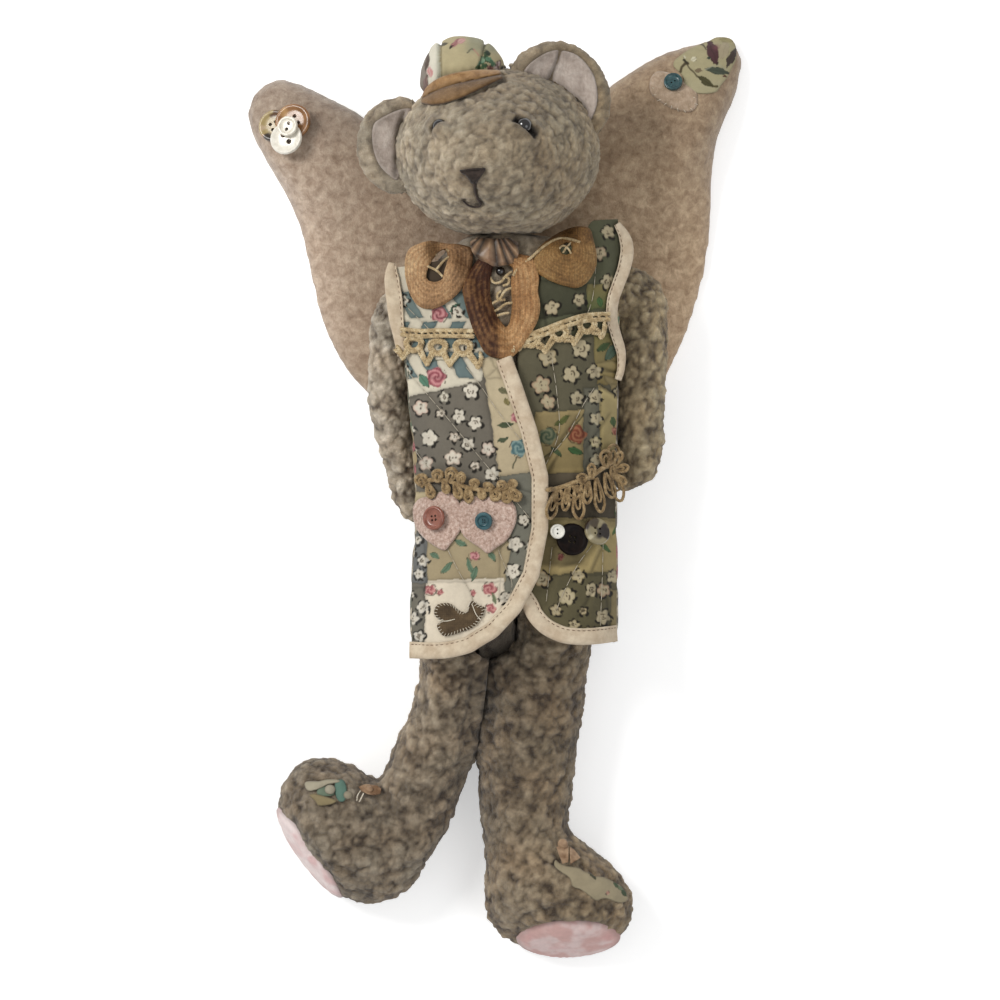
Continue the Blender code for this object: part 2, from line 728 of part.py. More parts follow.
def make_trim(torso, vest, tapes, arm_tapes):
    right, left = top_surface([vest[1]]), top_surface([vest[2]])
    chest_right = lace("chest_lace_right", (-34.0, 74.3), (-7.0, 72.0), 13.0, 4, right)
    eyelets(chest_right, [(-30.6, 67.0), (-20.5, 66.4), (-10.4, 65.5)], 2.3, right)
    chest_left = lace("chest_lace_left", (19.5, 76.0), (46.6, 80.0), 12.5, 4, left)
    eyelets(chest_left, [(22.9, 70.2), (33.0, 71.6), (43.2, 73.2)], 2.3, left)
    pocket_right = lace("pocket_lace_right", (-31.5, 13.0), (9.0, 8.5), 12.5, 5, right, 1.5)
    lace("pocket_lace_left", (27.0, 11.0), (49.5, 16.5), 14.5, 4, left)

    beneath = top_surface([torso, *vest, *tapes, *arm_tapes, chest_right, chest_left], 2.4)

    def under_collar(x, y, inward):
        return max(vest_height(x, y), beneath(x, y, inward), COLLAR_LOWEST)

    lobe_right = loop_plate("collar_lace_right", ring_path((-26.2, 97.6), 12.2, 16),
                            ring_path((-25.6, 99.6), 4.2, 16), under_collar)
    outer = rounded_path([(4.0, 106.0), (-9.0, 103.0), (-12.6, 92.0), (-9.6, 76.0), (-2.6, 62.5),
                          (4.6, 60.2), (12.0, 66.0), (17.0, 80.0), (17.2, 94.0), (14.6, 103.0)], 3)
    inner = rounded_path([(3.9, 101.0), (0.4, 99.5), (-1.2, 93.0), (-0.8, 84.0), (0.8, 76.5),
                          (3.2, 74.5), (5.4, 77.5), (7.2, 84.5), (8.0, 93.0), (7.2, 99.0)], 3)
    lobe_centre = loop_plate("collar_lace_centre", outer, inner, under_collar)
    lobe_left = loop_plate("collar_lace_left", ring_path((31.2, 103.0), 12.4, 16, 0.2, 0.95),
                           ring_path((31.0, 106.0), 2.8, 16), under_collar)

    petals = []
    for i in range(20):
        a = math.tau * i / 20
        reach = 1 + 0.12 * math.cos(5 * a)
        petals.append(Vector((0.5 + 9.6 * reach * math.cos(a), 105.0 + 5.6 * reach * math.sin(a))))
    over_collar = top_surface([torso, *vest, lobe_right, lobe_centre, lobe_left], 2.6)
    star_plate("neck_rosette", "satin", (0.5, 105.0), petals, over_collar, 1.6, 1.8)

    over_lace = top_surface([vest[1], tapes[0], pocket_right], 2.5)
    hearts = []
    for name, centre, width, tall, tilt in (
            ("felt_heart_outer", (-25.9, -8.0), 19.6, 24.0, math.radians(-8)),
            ("felt_heart_inner", (-3.0, -9.4), 23.4, 25.0, math.radians(4))):
        outline = heart_path(centre, width, tall, tilt)
        hearts.append(star_plate(name, "pink_felt", centre, outline, over_lace, FELT_THICKNESS))
    over_hearts = top_surface([vest[1], *hearts])
    vest_buttons = [
        ("button_brown", "brown_plastic", over_hearts, -25.3, -7.6, 10.6, 4, 0.6),
        ("button_teal_vest", "teal_plastic", over_hearts, -4.2, -8.5, 7.8, 2, 1.2),
        ("button_dark", "dark_plastic", left, 33.0, -16.9, 14.0, 4, 0.4),
    ]
    for name, shade, height, x, y, diameter, holes, spin in vest_buttons:
        seat, normal = seat_on(height, x, y, diameter / 2)
        button(name, shade, seat, normal, diameter, holes, spin)
    over_dark = top_surface([vest[2], bpy.data.objects["button_dark"]])
    seat, normal = seat_on(over_dark, 26.3, -13.8, 3.2, left)
    button("button_white_vest", "white_plastic", seat, normal, 6.4, 2, 1.4)
    seat, normal = seat_on(over_dark, 41.9, -14.5, 6.1)
    button("button_cream", "cream_plastic", seat, normal, 12.2, 4, 0.2)


# Armhole bindings: tapes on the vest edge round each arm opening

def make_armhole_bindings(vest):
    right = [(-38.6, 62.0), (-38.8, 72.0), (-39.4, 82.0), (-40.2, 92.0), (-40.6, 100.0)]
    right_tape = strip("armhole_binding_right", "binding", right, top_surface([vest[0], vest[1]], 1.3), -1,
                       ARM_BINDING_WIDTH, BINDING_THICKNESS, 0.6)
    left = [(52.8, 63.0), (52.6, 72.0), (52.8, 82.0), (53.4, 92.0), (53.6, 101.0), (53.0, 108.0)]
    left_tape = strip("armhole_binding_left", "binding", left, top_surface([vest[0], vest[2]], 0.8), 1,
                      ARM_BINDING_WIDTH, BINDING_THICKNESS, 0.6)
    return right_tape, left_tape


# Head form: an ellipsoid whose front swells into a broad snout

SNOUT_AIM = Vector((-0.16, -0.22, 1.0)).normalized()


def head_point(direction, offset=0.0):
    direction = Vector(direction).normalized()
    radius = 1 / math.sqrt((direction.x / HEAD_HALF_WIDTH) ** 2 + (direction.y / HEAD_HALF_HEIGHT) ** 2
                           + (direction.z / HEAD_HALF_DEPTH) ** 2)
    spread = direction.angle(SNOUT_AIM) / SNOUT_SPREAD
    radius += SNOUT_RISE * math.exp(-0.5 * spread * spread)
    return Vector((HEAD_X, HEAD_Y, HEAD_Z)) + direction * (radius + offset)


def head_height(x, y):
    """Height of the face over a point of the plan."""
    centre = Vector((HEAD_X, HEAD_Y, HEAD_Z))
    z = HEAD_Z + 20.0
    for _ in range(24):
        offset = Vector((x, y, z)) - centre
        reach = (head_point(offset) - centre).length
        flat = offset.x ** 2 + offset.y ** 2
        z += (HEAD_Z + math.sqrt(max(reach * reach - flat, 0.5)) - z) * 0.6
    return z


def head_skin(offset, columns, rows):
    rings = []
    for row in range(1, rows):
        tilt = math.pi * row / rows
        wide, up = math.sin(tilt), math.cos(tilt)
        rings.append([head_point((wide * math.cos(a), up, wide * math.sin(a)), offset)
                      for a in (math.tau * i / columns for i in range(columns))])
    return loft(rings, (head_point((0, 1, 0), offset), head_point((0, -1, 0), offset)))


def make_head():
    head = make_piece("head", "head", "plush", *head_skin(0, 26, 18))
    neck_face = NECK_TOP_Y + SEAT_GAP
    cut(head, tool(*rod((NECK_X, neck_face, NECK_Z), (0, -1, 0), 40, 0, 40, 12)))
    for side, x in (("right", EYE_RIGHT_X), ("left", EYE_LEFT_X)):
        centre = Vector((x, EYE_Y, head_height(x, EYE_Y)))
        inward = (Vector((HEAD_X, HEAD_Y, HEAD_Z)) - centre).normalized()
        centre = centre + inward * EYE_RADIUS * 0.35
        cut(head, tool(*ball(centre, EYE_RADIUS + SEAT_GAP, 12)))
        make_piece("eye_" + side, "head", "eye_glass", *ball(centre, EYE_RADIUS, 12))
    return head


def make_ear(name, centre, outward, facing, size=1.0):
    """Cupped half disc of plush sewn along its straight base, which is cut to the head's curve."""
    outward = Vector(outward).normalized()
    facing = Vector(facing).normalized()
    facing = (facing - outward * facing.dot(outward)).normalized()
    along = outward.cross(facing)
    shares = (1.0, 0.93, 0.7, 0.35)
    thick = (0.25, 0.75, 1.0, 1.0)
    cup = 3.5
    rings = []
    for side in (1, -1):
        order = list(zip(shares, thick)) if side == 1 else list(zip(shares, thick))[::-1]
        for share, swell in order[::-1] if side == 1 else order[::-1]:
            ring = []
            for i in range(20):
                a = math.tau * i / 20
                p = Vector(centre) + along * EAR_HALF_LENGTH * size * share * math.cos(a)
                p = p + outward * EAR_REACH * size * share * math.sin(a)
                p = p + facing * (cup * share * share + side * EAR_THICKNESS / 2 * swell)
                ring.append(p)
            rings.append(ring)
    poles = (Vector(centre) + facing * EAR_THICKNESS / 2, Vector(centre) - facing * EAR_THICKNESS / 2)
    ear = make_piece(name, "head", "plush", *loft(rings, poles))
    cut(ear, tool(*head_skin(SEAT_GAP, 26, 18)))
    return ear


def make_cap():
    rings = []
    for row in range(1, 9):
        tilt = math.pi * row / 9
        rings.append([Vector((CROWN_X + CROWN_HALF_WIDTH * math.sin(tilt) * math.cos(a),
                              CROWN_Y + CROWN_HEIGHT * math.cos(tilt),
                              CROWN_Z + CROWN_HALF_DEPTH * math.sin(tilt) * math.sin(a)))
                      for a in (math.tau * i / 22 for i in range(22))])
    top = Vector((CROWN_X, CROWN_Y + CROWN_HEIGHT, CROWN_Z))
    bottom = Vector((CROWN_X, CROWN_Y - CROWN_HEIGHT, CROWN_Z))
    crown = make_piece("hat_crown", "head", "cap_cotton", *loft(rings, (top, bottom)))
    cut(crown, tool(*head_skin(SEAT_GAP, 26, 18)))

    head = Vector((HEAD_X, HEAD_Y))
    columns = 12
    top_rows, low_rows = [], []
    for row in range(5):
        upper, lower = [], []
        for column in range(columns + 1):
            share = column / columns
            a = curve_at(BRIM_FRONT, share)
            b = curve_at(BRIM_BACK, share)
            p = head + a + (b - a) * row / 4
            z = head_height(p.x, p.y)
            upper.append(Vector((p.x, p.y, z + SEAT_GAP + BRIM_THICKNESS)))
            lower.append(Vector((p.x, p.y, z + SEAT_GAP + 0.2)))
        top_rows.append(upper)
        low_rows.append(lower)
    brim = make_piece("hat_brim", "head", "brim_felt", *plate(top_rows, low_rows))
    grown = []
    for row in range(1, 13):
        tilt = math.pi * row / 13
        grown.append([Vector((CROWN_X + (CROWN_HALF_WIDTH + LOOSE_GAP) * math.sin(tilt) * math.cos(a),
                              CROWN_Y + (CROWN_HEIGHT + LOOSE_GAP) * math.cos(tilt),
                              CROWN_Z + (CROWN_HALF_DEPTH + LOOSE_GAP) * math.sin(tilt) * math.sin(a)))
                      for a in (math.tau * i / 30 for i in range(30))])
    top = Vector((CROWN_X, CROWN_Y + CROWN_HEIGHT + LOOSE_GAP, CROWN_Z))
    bottom = Vector((CROWN_X, CROWN_Y - CROWN_HEIGHT - LOOSE_GAP, CROWN_Z))
    cut(brim, tool(*loft(grown, (top, bottom))))


def curve_at(points, share):
    """Point at a share of the way along an open smooth curve."""
    spans = len(points) - 1
    at = min(share * spans, spans - 1e-6)
    i = int(at)
    t = at - i
    p1, p2 = Vector(points[i]), Vector(points[i + 1])
    p0 = Vector(points[max(i - 1, 0)])
    p3 = Vector(points[min(i + 2, spans)])
    return 0.5 * (2 * p1 + (p2 - p0) * t + (2 * p0 - 5 * p1 + 4 * p2 - p3) * t * t
                  + (3 * p1 - p0 - 3 * p2 + p3) * t ** 3)


# Shoulders: tilted disc joints that carry the arms clear of the vest

def shoulder(side):
    """Axis out of the body, forward direction, pivot on the torso's flat, and the arm's plane."""
    outward = Vector((side * math.cos(SHOULDER_TILT), 0, -math.sin(SHOULDER_TILT)))
    forward = Vector((side * math.sin(SHOULDER_TILT), 0, math.cos(SHOULDER_TILT)))
    y = lean(TORSO_CENTRE_X + side * between(TORSO_SIDES, SHOULDER_Y)[1], SHOULDER_Y)
    centre = Vector((TORSO_CENTRE_X, y, TORSO_CENTRE_Z)) + forward * SHOULDER_FORWARD
    reach = 0.0
    for row in range(-10, int(VEST_TOP_Y), 6):
        for step in range(60):
            share = side * (0.5 + 0.5 * step / 60)
            for upper in (False, True):
                reach = max(reach, (vest_point(row, share, upper) - centre).dot(outward))
    flat = centre + outward * (reach - SHOULDER_INSET)
    return outward, forward, flat, SHOULDER_INSET + LOOSE_GAP


# Sections down each arm: distance from the shoulder, share of thickness, half depth, forward offset
ARM_RIGHT_STATIONS = [(-11.5, 0.42, 6.0, 0.0), (-6.5, 0.66, 10.5, 0.0), (3.0, 0.78, 12.8, 0.0),
                      (22.0, 0.86, 13.2, 0.0), (40.0, 0.93, 12.8, -2.0), (54.0, 0.9, 11.8, -7.0),
                      (68.0, 0.84, 10.6, -12.0), (80.0, 0.78, 9.6, -14.5), (88.0, 0.55, 6.6, -15.0)]
ARM_LEFT_STATIONS = [(-11.5, 0.42, 6.0, 0.0), (-6.5, 0.82, 10.5, 0.0), (3.0, 1.0, 12.8, 0.0),
                     (22.0, 1.0, 13.2, 0.0), (42.0, 0.94, 12.8, 0.0), (58.0, 0.92, 12.6, 0.0),
                     (72.0, 0.9, 12.0, 0.0), (81.0, 0.74, 9.6, 0.0), (86.0, 0.42, 6.0, 0.0)]


def make_arm(name, side, thickness, length, stations):
    outward, forward, flat, inset = shoulder(side)
    down = Vector((0, -1, 0))
    base = flat + outward * (inset + thickness / 2)

    def ring(distance, share, half_depth, lift):
        centre = base + down * distance + forward * lift - outward * thickness / 2 * (1 - share)
        points = []
        for i in range(18):
            u, v = superellipse(math.tau * i / 18, thickness / 2 * share, half_depth, 2.4)
            points.append(centre + outward * u + forward * v)
        return points

    rings = [ring(*station) for station in stations]
    first, last = stations[0], stations[-1]
    poles = (base + down * -ARM_TOP - outward * thickness / 2 * (1 - first[1]),
             base + down * length + forward * last[3] - outward * thickness / 2 * (1 - last[1]))
    arm = make_piece(name, name, "plush", *loft(rings, poles))
    join(arm, tool(*rod(flat, outward, ARM_BOSS_RADIUS, SEAT_GAP, inset + thickness * 0.4, 20)))
    return arm


# Legs: x range and z range at stations down the leg

LEG_WIDTHS_RIGHT = [(-58.0, -32.9, -11.3), (-64.0, -33.0, -11.0), (-66.5, -33.2, -8.5),
                    (-70.0, -33.3, -5.8), (-75.0, -33.5, -4.6), (-80.0, -33.8, -4.8),
                    (-95.0, -38.0, -6.4), (-112.0, -46.5, -9.8), (-124.0, -50.5, -12.8),
                    (-138.0, -53.0, -17.5), (-150.0, -52.0, -23.0), (-158.5, -47.0, -29.0)]
LEG_WIDTHS_LEFT = [(-58.0, 9.3, 42.6), (-64.0, 8.0, 42.6), (-66.5, 5.0, 42.4), (-70.0, 1.8, 41.8),
                   (-75.0, -1.0, 41.2), (-80.0, -2.4, 40.6), (-92.0, -4.0, 39.2),
                   (-112.0, -7.0, 36.2), (-128.0, -7.4, 34.4),
                   (-142.0, -6.2, 32.4), (-160.0, -4.8, 31.5), (-176.0, -3.5, 30.0)]
LEG_DEPTHS = [(-58.0, 4.2, 43.4), (-64.0, 4.2, 42.6), (-70.0, 1.2, 41.5), (-90.0, 0.4, 38.5),
              (-112.0, 0.3, 36.5), (-135.0, 0.3, 35.0), (-160.0, 1.0, 35.0), (-190.0, 6.0, 32.0)]


def make_leg(name, side, widths, foot):
    inner = HIP_X + side * (HIP_BLOCK_HALF_WIDTH + SEAT_GAP)
    root_width = widths[0][2] - widths[0][1]
    x_range = sorted((inner, inner + side * root_width))
    rings = []
    segments = 18
    for share in (0.93, 0.72, 0.4, 0.0, -0.4):
        depth = LEG_ROOT_RADIUS * math.sqrt(1 - share * share)
        z_range = (HIP_Z - depth, HIP_Z + depth)
        rings.append(leg_ring(HIP_Y + LEG_ROOT_RADIUS * share, x_range, z_range, 3.2, segments))
    rings[0] = leg_ring(HIP_Y + LEG_ROOT_RADIUS * 0.93, (x_range[0] + 2.5, x_range[1] - 2.5),
                        (HIP_Z - LEG_ROOT_RADIUS * 0.37, HIP_Z + LEG_ROOT_RADIUS * 0.37), 2.4, segments)
    for y, left, right in reversed(sorted(widths)):
        left = min(left, x_range[0]) if y > -60 and side < 0 else left
        low, high = between(sorted(LEG_DEPTHS), y)
        rings.append(leg_ring(y, (left, right), (low, high), 2.2, segments))
    y, left, right = min(widths)
    low, high = between(sorted(LEG_DEPTHS), y)
    top = Vector(((x_range[0] + x_range[1]) / 2, HIP_Y + LEG_ROOT_RADIUS, HIP_Z))
    end = Vector(((left + right) / 2, y - 2.5, (low + high) / 2))
    leg = make_piece(name, name, "plush", *loft(rings, (top, end)))
    join(leg, tool(*foot))
    return leg


def leg_ring(y, x_range, z_range, roundness, segments):
    ring = []
    for i in range(segments):
        x, z = superellipse(math.tau * (i + 0.5) / segments, (x_range[1] - x_range[0]) / 2,
                            (z_range[1] - z_range[0]) / 2, roundness)
        ring.append(Vector(((x_range[0] + x_range[1]) / 2 + x, y, (z_range[0] + z_range[1]) / 2 + z)))
    return ring


# Feet: ovals stacked from the flat sole to the ankle.
# Rows: height above the sole, half length, half width, shift towards the toe, centre z
FOOT_RIGHT = {"sole": (-82.2, -155.2), "rise": (0.815, 0.58), "tilt": math.radians(22),
              "rows": [(0.0, 23.8, 16.5, -0.8, 20.0), (2.5, 28.2, 18.0, -1.2, 19.8),
                       (8.0, 33.6, 19.0, -1.6, 19.6), (18.0, 37.2, 19.2, -2.2, 19.6),
                       (28.0, 35.8, 18.5, -3.8, 19.2), (37.0, 28.5, 16.0, -7.5, 18.5),
                       (43.0, 18.0, 10.0, -10.5, 18.2)]}
FOOT_LEFT = {"sole": (30.5, -192.9), "rise": (-0.02, 1.0), "tilt": math.radians(36),
             "rows": [(0.0, 22.5, 18.0, 2.0, 21.5), (3.0, 29.5, 19.0, -0.5, 20.2),
                      (9.0, 32.5, 19.2, -1.5, 19.6), (18.0, 33.2, 19.2, -2.4, 19.6),
                      (28.0, 29.5, 18.6, -4.0, 19.2), (38.0, 23.0, 17.0, -9.5, 18.6),
                      (47.0, 16.0, 13.0, -13.5, 18.4)]}
TOE_RIGHT = (-0.58, 0.815)
TOE_LEFT = (1.0, 0.02)


def foot_solid(foot, toe):
    """Returns the foot's skin, and the frame of its sole: centre, outward normal, toe and width axes."""
    rise = Vector((*foot["rise"], 0)).normalized()
    toe = Vector((*toe, 0)).normalized()
    tilt_end = 20.0
    rings = []
    for up, half_length, half_width, shift, z in foot["rows"]:
        tilt = foot["tilt"] * (1 - smooth(up / tilt_end))
        width_axis = Vector((0, 0, math.cos(tilt))) + rise * math.sin(tilt)
        centre = Vector((*foot["sole"], z)) + rise * up + toe * shift
        rings.append([centre + toe * half_length * math.cos(a) + width_axis * half_width * math.sin(a)
                      for a in (math.tau * (i + 0.5) / 22 for i in range(22))])
    up, _, _, shift, z = foot["rows"][-1]
    pole = Vector((*foot["sole"], z)) + rise * (up + 3) + toe * shift
    up, half_length, half_width, shift, z = foot["rows"][0]
    width_axis = Vector((0, 0, math.cos(foot["tilt"]))) + rise * math.sin(foot["tilt"])
    centre = Vector((*foot["sole"], z)) + toe * shift
    normal = width_axis.cross(toe)
    normal = normal if normal.dot(rise) < 0 else -normal
    return loft(rings, (None, pole)), (centre, normal, toe, width_axis, half_length, half_width)


def make_sole(name, body, frame):
    centre, normal, toe, width_axis, half_length, half_width = frame
    rings = []
    for share, lift in ((1.0, 0.0), (1.0, SOLE_THICKNESS * 0.5), (0.93, SOLE_THICKNESS)):
        middle = centre + normal * (SEAT_GAP + lift)
        long, wide = toe * half_length * share, width_axis * half_width * share
        rings.append([middle + long * math.cos(a) + wide * math.sin(a)
                      for a in (math.tau * (i + 0.5) / 22 for i in range(22))])
    make_piece(name, body, "sole_cloth", *loft(rings))


# Wings: stuffed felt, flat underneath, joined along the spine

WING_RIGHT = [(-94.6, 189.1), (-82.1, 184.6), (-66.1, 176.6), (-49.1, 165.4), (-27.0, 148.0),
              (-3.0, 125.0), (2.2, 100.0), (2.3, 55.0), (-1.0, 31.0), (-12.0, 22.5), (-26.0, 24.5),
              (-43.0, 34.5), (-58.0, 47.3), (-71.0, 64.1), (-79.9, 87.3), (-87.5, 122.6),
              (-97.8, 144.0), (-106.7, 159.2), (-110.7, 170.3), (-109.8, 180.0), (-103.5, 187.0)]
WING_LEFT = [(96.9, 206.4), (105.2, 206.4), (109.9, 202.0), (110.7, 194.0), (108.0, 182.0),
             (103.1, 169.9), (98.7, 155.6), (97.3, 134.2), (96.0, 110.9), (92.5, 94.0), (86.8, 76.1),
             (79.0, 58.3), (70.8, 44.0), (58.0, 30.5), (40.2, 23.0), (20.1, 20.0), (7.5, 31.0),
             (3.5, 55.0), (3.6, 100.0), (9.5, 125.0), (20.1, 143.1), (35.7, 167.6), (53.1, 186.8),
             (70.5, 198.0), (82.0, 203.0)]
FELT_PATCH = [(67.8, 187.5), (68.2, 181.0), (72.5, 177.2), (79.0, 174.4), (86.5, 172.6), (90.5, 175.5),
              (87.5, 181.0), (83.5, 186.5), (78.0, 190.8), (71.5, 191.0)]
TIP_PATCH = [(92.6, 177.6), (99.0, 179.6), (103.4, 186.2), (106.2, 194.0), (105.0, 200.8),
             (99.0, 202.6), (91.0, 200.4), (85.4, 196.6), (86.2, 190.0), (89.6, 184.0)]
WING_RINGS = (1.0, 0.965, 0.88, 0.72, 0.5, 0.22)


def vest_underside(x, y):
    """Height of the vest's back skin over a point of the plan; far above where there is no vest."""
    row = y
    for _ in range(3):
        row = y - (lean(x, row) - row)
    centre_x, half_width, centre_z, (depth, roundness), _ = vest_section(row)
    share = abs((x - centre_x) / half_width)
    if share >= 1 or row > VEST_TOP_Y:
        return 100.0
    return centre_z - depth * (1 - share ** roundness) ** (1 / roundness)


def wing_centre(side):
    return Vector((-46.0, 98.0)) if side < 0 else Vector((52.0, 108.0))


def wing_rise(share, x, y):
    """Stuffed height of a wing: thick at the tip and the spine, pressed down under the vest."""
    spine = smooth(1 - abs(x - NECK_X) / WING_SPINE_REACH)
    full = WING_RISE_SIDE + (WING_RISE_SPINE - WING_RISE_SIDE) * spine
    full += (WING_RISE_TOP - full) * smooth((y - WING_LOW_Y) / (WING_HIGH_Y - WING_LOW_Y))
    height = WING_EDGE + (full - WING_EDGE) * math.sqrt(max(1 - share ** 3.2, 0.0))
    return min(height, vest_underside(x, y) - SEAT_GAP)


def make_wing(name, side, corners):
    outline = rounded_path([Vector(p) for p in corners], 2)
    centre = wing_centre(side)
    rings = [[Vector((p.x, p.y, 0)) for p in (centre + (q - centre) * 0.985 for q in outline)]]
    for share in WING_RINGS:
        ring = []
        for q in outline:
            p = centre + (q - centre) * share
            ring.append(Vector((p.x, p.y, wing_rise(share, p.x, p.y))))
        rings.append(ring)
    pole = Vector((centre.x, centre.y, wing_rise(0, centre.x, centre.y)))
    return make_piece(name, "torso", "wool_felt", *loft(rings, (None, pole)))


def make_wing_trim(wing_right, wing_left):
    right_top, left_top = top_surface([wing_right]), top_surface([wing_left], 0.9)
    stack = [("wing_button_tortoise", "amber_plastic", -97.6, 166.0, 14.6, 4, 0.3),
             ("wing_button_amber", "amber_plastic", -88.6, 167.0, 16.4, 4, 0.9),
             ("wing_button_white_large", "white_plastic", -90.9, 158.8, 14.6, 2, 1.2),
             ("wing_button_white_small", "white_plastic", -89.6, 163.6, 9.2, 2, 0.9)]
    seat, normal = seat_on(right_top, -93.5, 164.0, 10.5)
    for level, (name, shade, x, y, diameter, holes, spin) in enumerate(stack):
        base = Vector((x, y, 0))
        base.z = seat.z - ((x - seat.x) * normal.x + (y - seat.y) * normal.y) / normal.z
        base += normal * level * (BUTTON_THICKNESS + SEAT_GAP)
        button(name, shade, base, normal, diameter, holes, spin)

    patch, tip = rounded_path(FELT_PATCH, 2), rounded_path(TIP_PATCH, 2)
    felt = star_plate("wing_felt_patch", "pink_felt", (79.0, 182.0), patch, left_top, 1.4)
    star_plate("wing_tip_patch", "cap_cotton", (96.5, 191.0), tip, left_top, 0.9)
    seat, normal = seat_on(top_surface([felt]), 79.0, 185.0, 4.2)
    button("wing_button_teal", "teal_plastic", seat, normal, 8.4, 2, 0.5)


# Disc joints: a disc in each of the two joined parts and a cotter pin through both

def socket(origin, axis, face, wall, radius):
    """Hollow for a disc and the pin's washer behind a wall, with the pin's bore through the wall."""
    bore = PIN_RADIUS + PIN_ROOM
    far = face + wall + DISC_THICKNESS + PIN_WASHER_THICKNESS + 4 * DISC_ROOM
    profile = [(0, face - 1), (bore, face - 1), (bore, face + wall), (radius + DISC_ROOM, face + wall),
               (radius + DISC_ROOM, far), (0, far)]
    return tool(*turned(origin, axis, profile, 14))


def disc_joint(label, origin, axis, disc_radius, limb, limb_piece, limb_face, limb_wall,
               torso, torso_wall):
    """Cuts both sockets and makes both discs and the cotter pin of one joint."""
    axis = Vector(axis).normalized()
    cut(limb_piece, socket(origin, axis, limb_face, limb_wall, disc_radius))
    cut(torso, socket(origin, -axis, 0, torso_wall, disc_radius))
    bore = PIN_RADIUS + PIN_ROOM
    for name, body, way, near in ((label + "_disc", limb, axis, limb_face + limb_wall + DISC_ROOM),
                                  (label + "_torso_disc", "torso", -axis, torso_wall + DISC_ROOM)):
        far = near + DISC_THICKNESS
        side, up = axis_frame(way)
        loops = [[origin + way * along + (side * math.cos(a) + up * math.sin(a)) * radius
                  for a in (math.tau * i / 14 for i in range(14))]
                 for radius, along in ((bore, near), (disc_radius, near), (disc_radius, far), (bore, far))]
        make_piece(name, body, "hardboard", *band_ring(loops))
    head = limb_face + limb_wall + 2 * DISC_ROOM + DISC_THICKNESS
    tail = -torso_wall - 2 * DISC_ROOM - DISC_THICKNESS
    profile = [(0, head + PIN_WASHER_THICKNESS), (PIN_WASHER_RADIUS, head + PIN_WASHER_THICKNESS),
               (PIN_WASHER_RADIUS, head), (PIN_RADIUS, head), (PIN_RADIUS, tail), (PIN_WASHER_RADIUS, tail),
               (PIN_WASHER_RADIUS, tail - PIN_WASHER_THICKNESS), (0, tail - PIN_WASHER_THICKNESS)]
    make_piece(label + "_cotter_pin", "torso", "steel", *turned(origin, axis, profile, 8))


def build():
    for old in list(bpy.data.objects):
        bpy.data.objects.remove(old)
    MATERIALS.update(make_materials())

    add_body("torso", (0, 0, 0))
    add_body("head", (NECK_X, NECK_TOP_Y, NECK_Z))
    shoulders = {side: shoulder(side) for side in (-1, 1)}
    add_body("arm_right", shoulders[-1][2])
    add_body("arm_left", shoulders[1][2])
    add_body("leg_right", (HIP_X - HIP_BLOCK_HALF_WIDTH, HIP_Y, HIP_Z))
    add_body("leg_left", (HIP_X + HIP_BLOCK_HALF_WIDTH, HIP_Y, HIP_Z))

    torso = make_torso()
    vest = make_vest()
    arms = {-1: make_arm("arm_right", -1, ARM_RIGHT_THICKNESS, ARM_RIGHT_LENGTH, ARM_RIGHT_STATIONS),
            1: make_arm("arm_left", 1, ARM_LEFT_THICKNESS, ARM_LEFT_LENGTH, ARM_LEFT_STATIONS)}
    for side, (outward, _, flat, _) in shoulders.items():
        cut(torso, tool(*rod(flat, outward, ARM_BOSS_RADIUS + 2, 0, 20, 20)))
        for panel in (vest[0], vest[1] if side < 0 else vest[2]):
            cut(panel, tool(*rod(flat, outward, VEST_ARMHOLE_RADIUS, -4, 20, 20)))

    head = make_head()
    make_ear("ear_right", EAR_RIGHT, (-1.0, -0.06, -0.1), (-0.25, 0.0, 1.0))
    make_ear("ear_left", EAR_LEFT, (0.66, 0.74, 0.0), (0.12, 0.1, 1.0), EAR_LEFT_SIZE)
    make_cap()

    right_foot, right_sole = foot_solid(FOOT_RIGHT, TOE_RIGHT)
    left_foot, left_sole = foot_solid(FOOT_LEFT, TOE_LEFT)
    legs = {-1: make_leg("leg_right", -1, LEG_WIDTHS_RIGHT, right_foot),
            1: make_leg("leg_left", 1, LEG_WIDTHS_LEFT, left_foot)}
    make_sole("sole_right", "leg_right", right_sole)
    make_sole("sole_left", "leg_left", left_sole)

    wing_right = make_wing("wing_right", -1, WING_RIGHT)
    wing_left = make_wing("wing_left", 1, WING_LEFT)
    make_wing_trim(wing_right, wing_left)

    arm_tapes = make_armhole_bindings(vest)
    tapes = make_bindings(vest)
    make_trim(torso, vest, tapes, arm_tapes)

    neck = Vector((NECK_X, NECK_TOP_Y, NECK_Z))
    disc_joint("neck", neck, (0, 1, 0), NECK_DISC_RADIUS, "head", head, SEAT_GAP, NECK_WALL,
               torso, TORSO_WALL)
    for side, word in ((-1, "right"), (1, "left")):
        outward, _, flat, inset = shoulders[side]
        disc_joint("shoulder_" + word, flat, outward, SHOULDER_DISC_RADIUS, "arm_" + word, arms[side],
                   SEAT_GAP, inset + ARM_WALL, torso, TORSO_WALL)
        hip = Vector((HIP_X + side * HIP_BLOCK_HALF_WIDTH, HIP_Y, HIP_Z))
        disc_joint("hip_" + word, hip, (side, 0, 0), HIP_DISC_RADIUS, "leg_" + word, legs[side],
                   SEAT_GAP, LEG_WALL, torso, HIP_TORSO_WALL)


build()
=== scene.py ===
"""Looks of the jointed plush bear: plush, felt wings, quilted vest, lace, buttons, cap and feet."""

import json
import math

import bmesh
import bpy
import numpy as np
from mathutils import Matrix, Vector
from mathutils.bvhtree import BVHTree
from mathutils.geometry import delaunay_2d_cdt

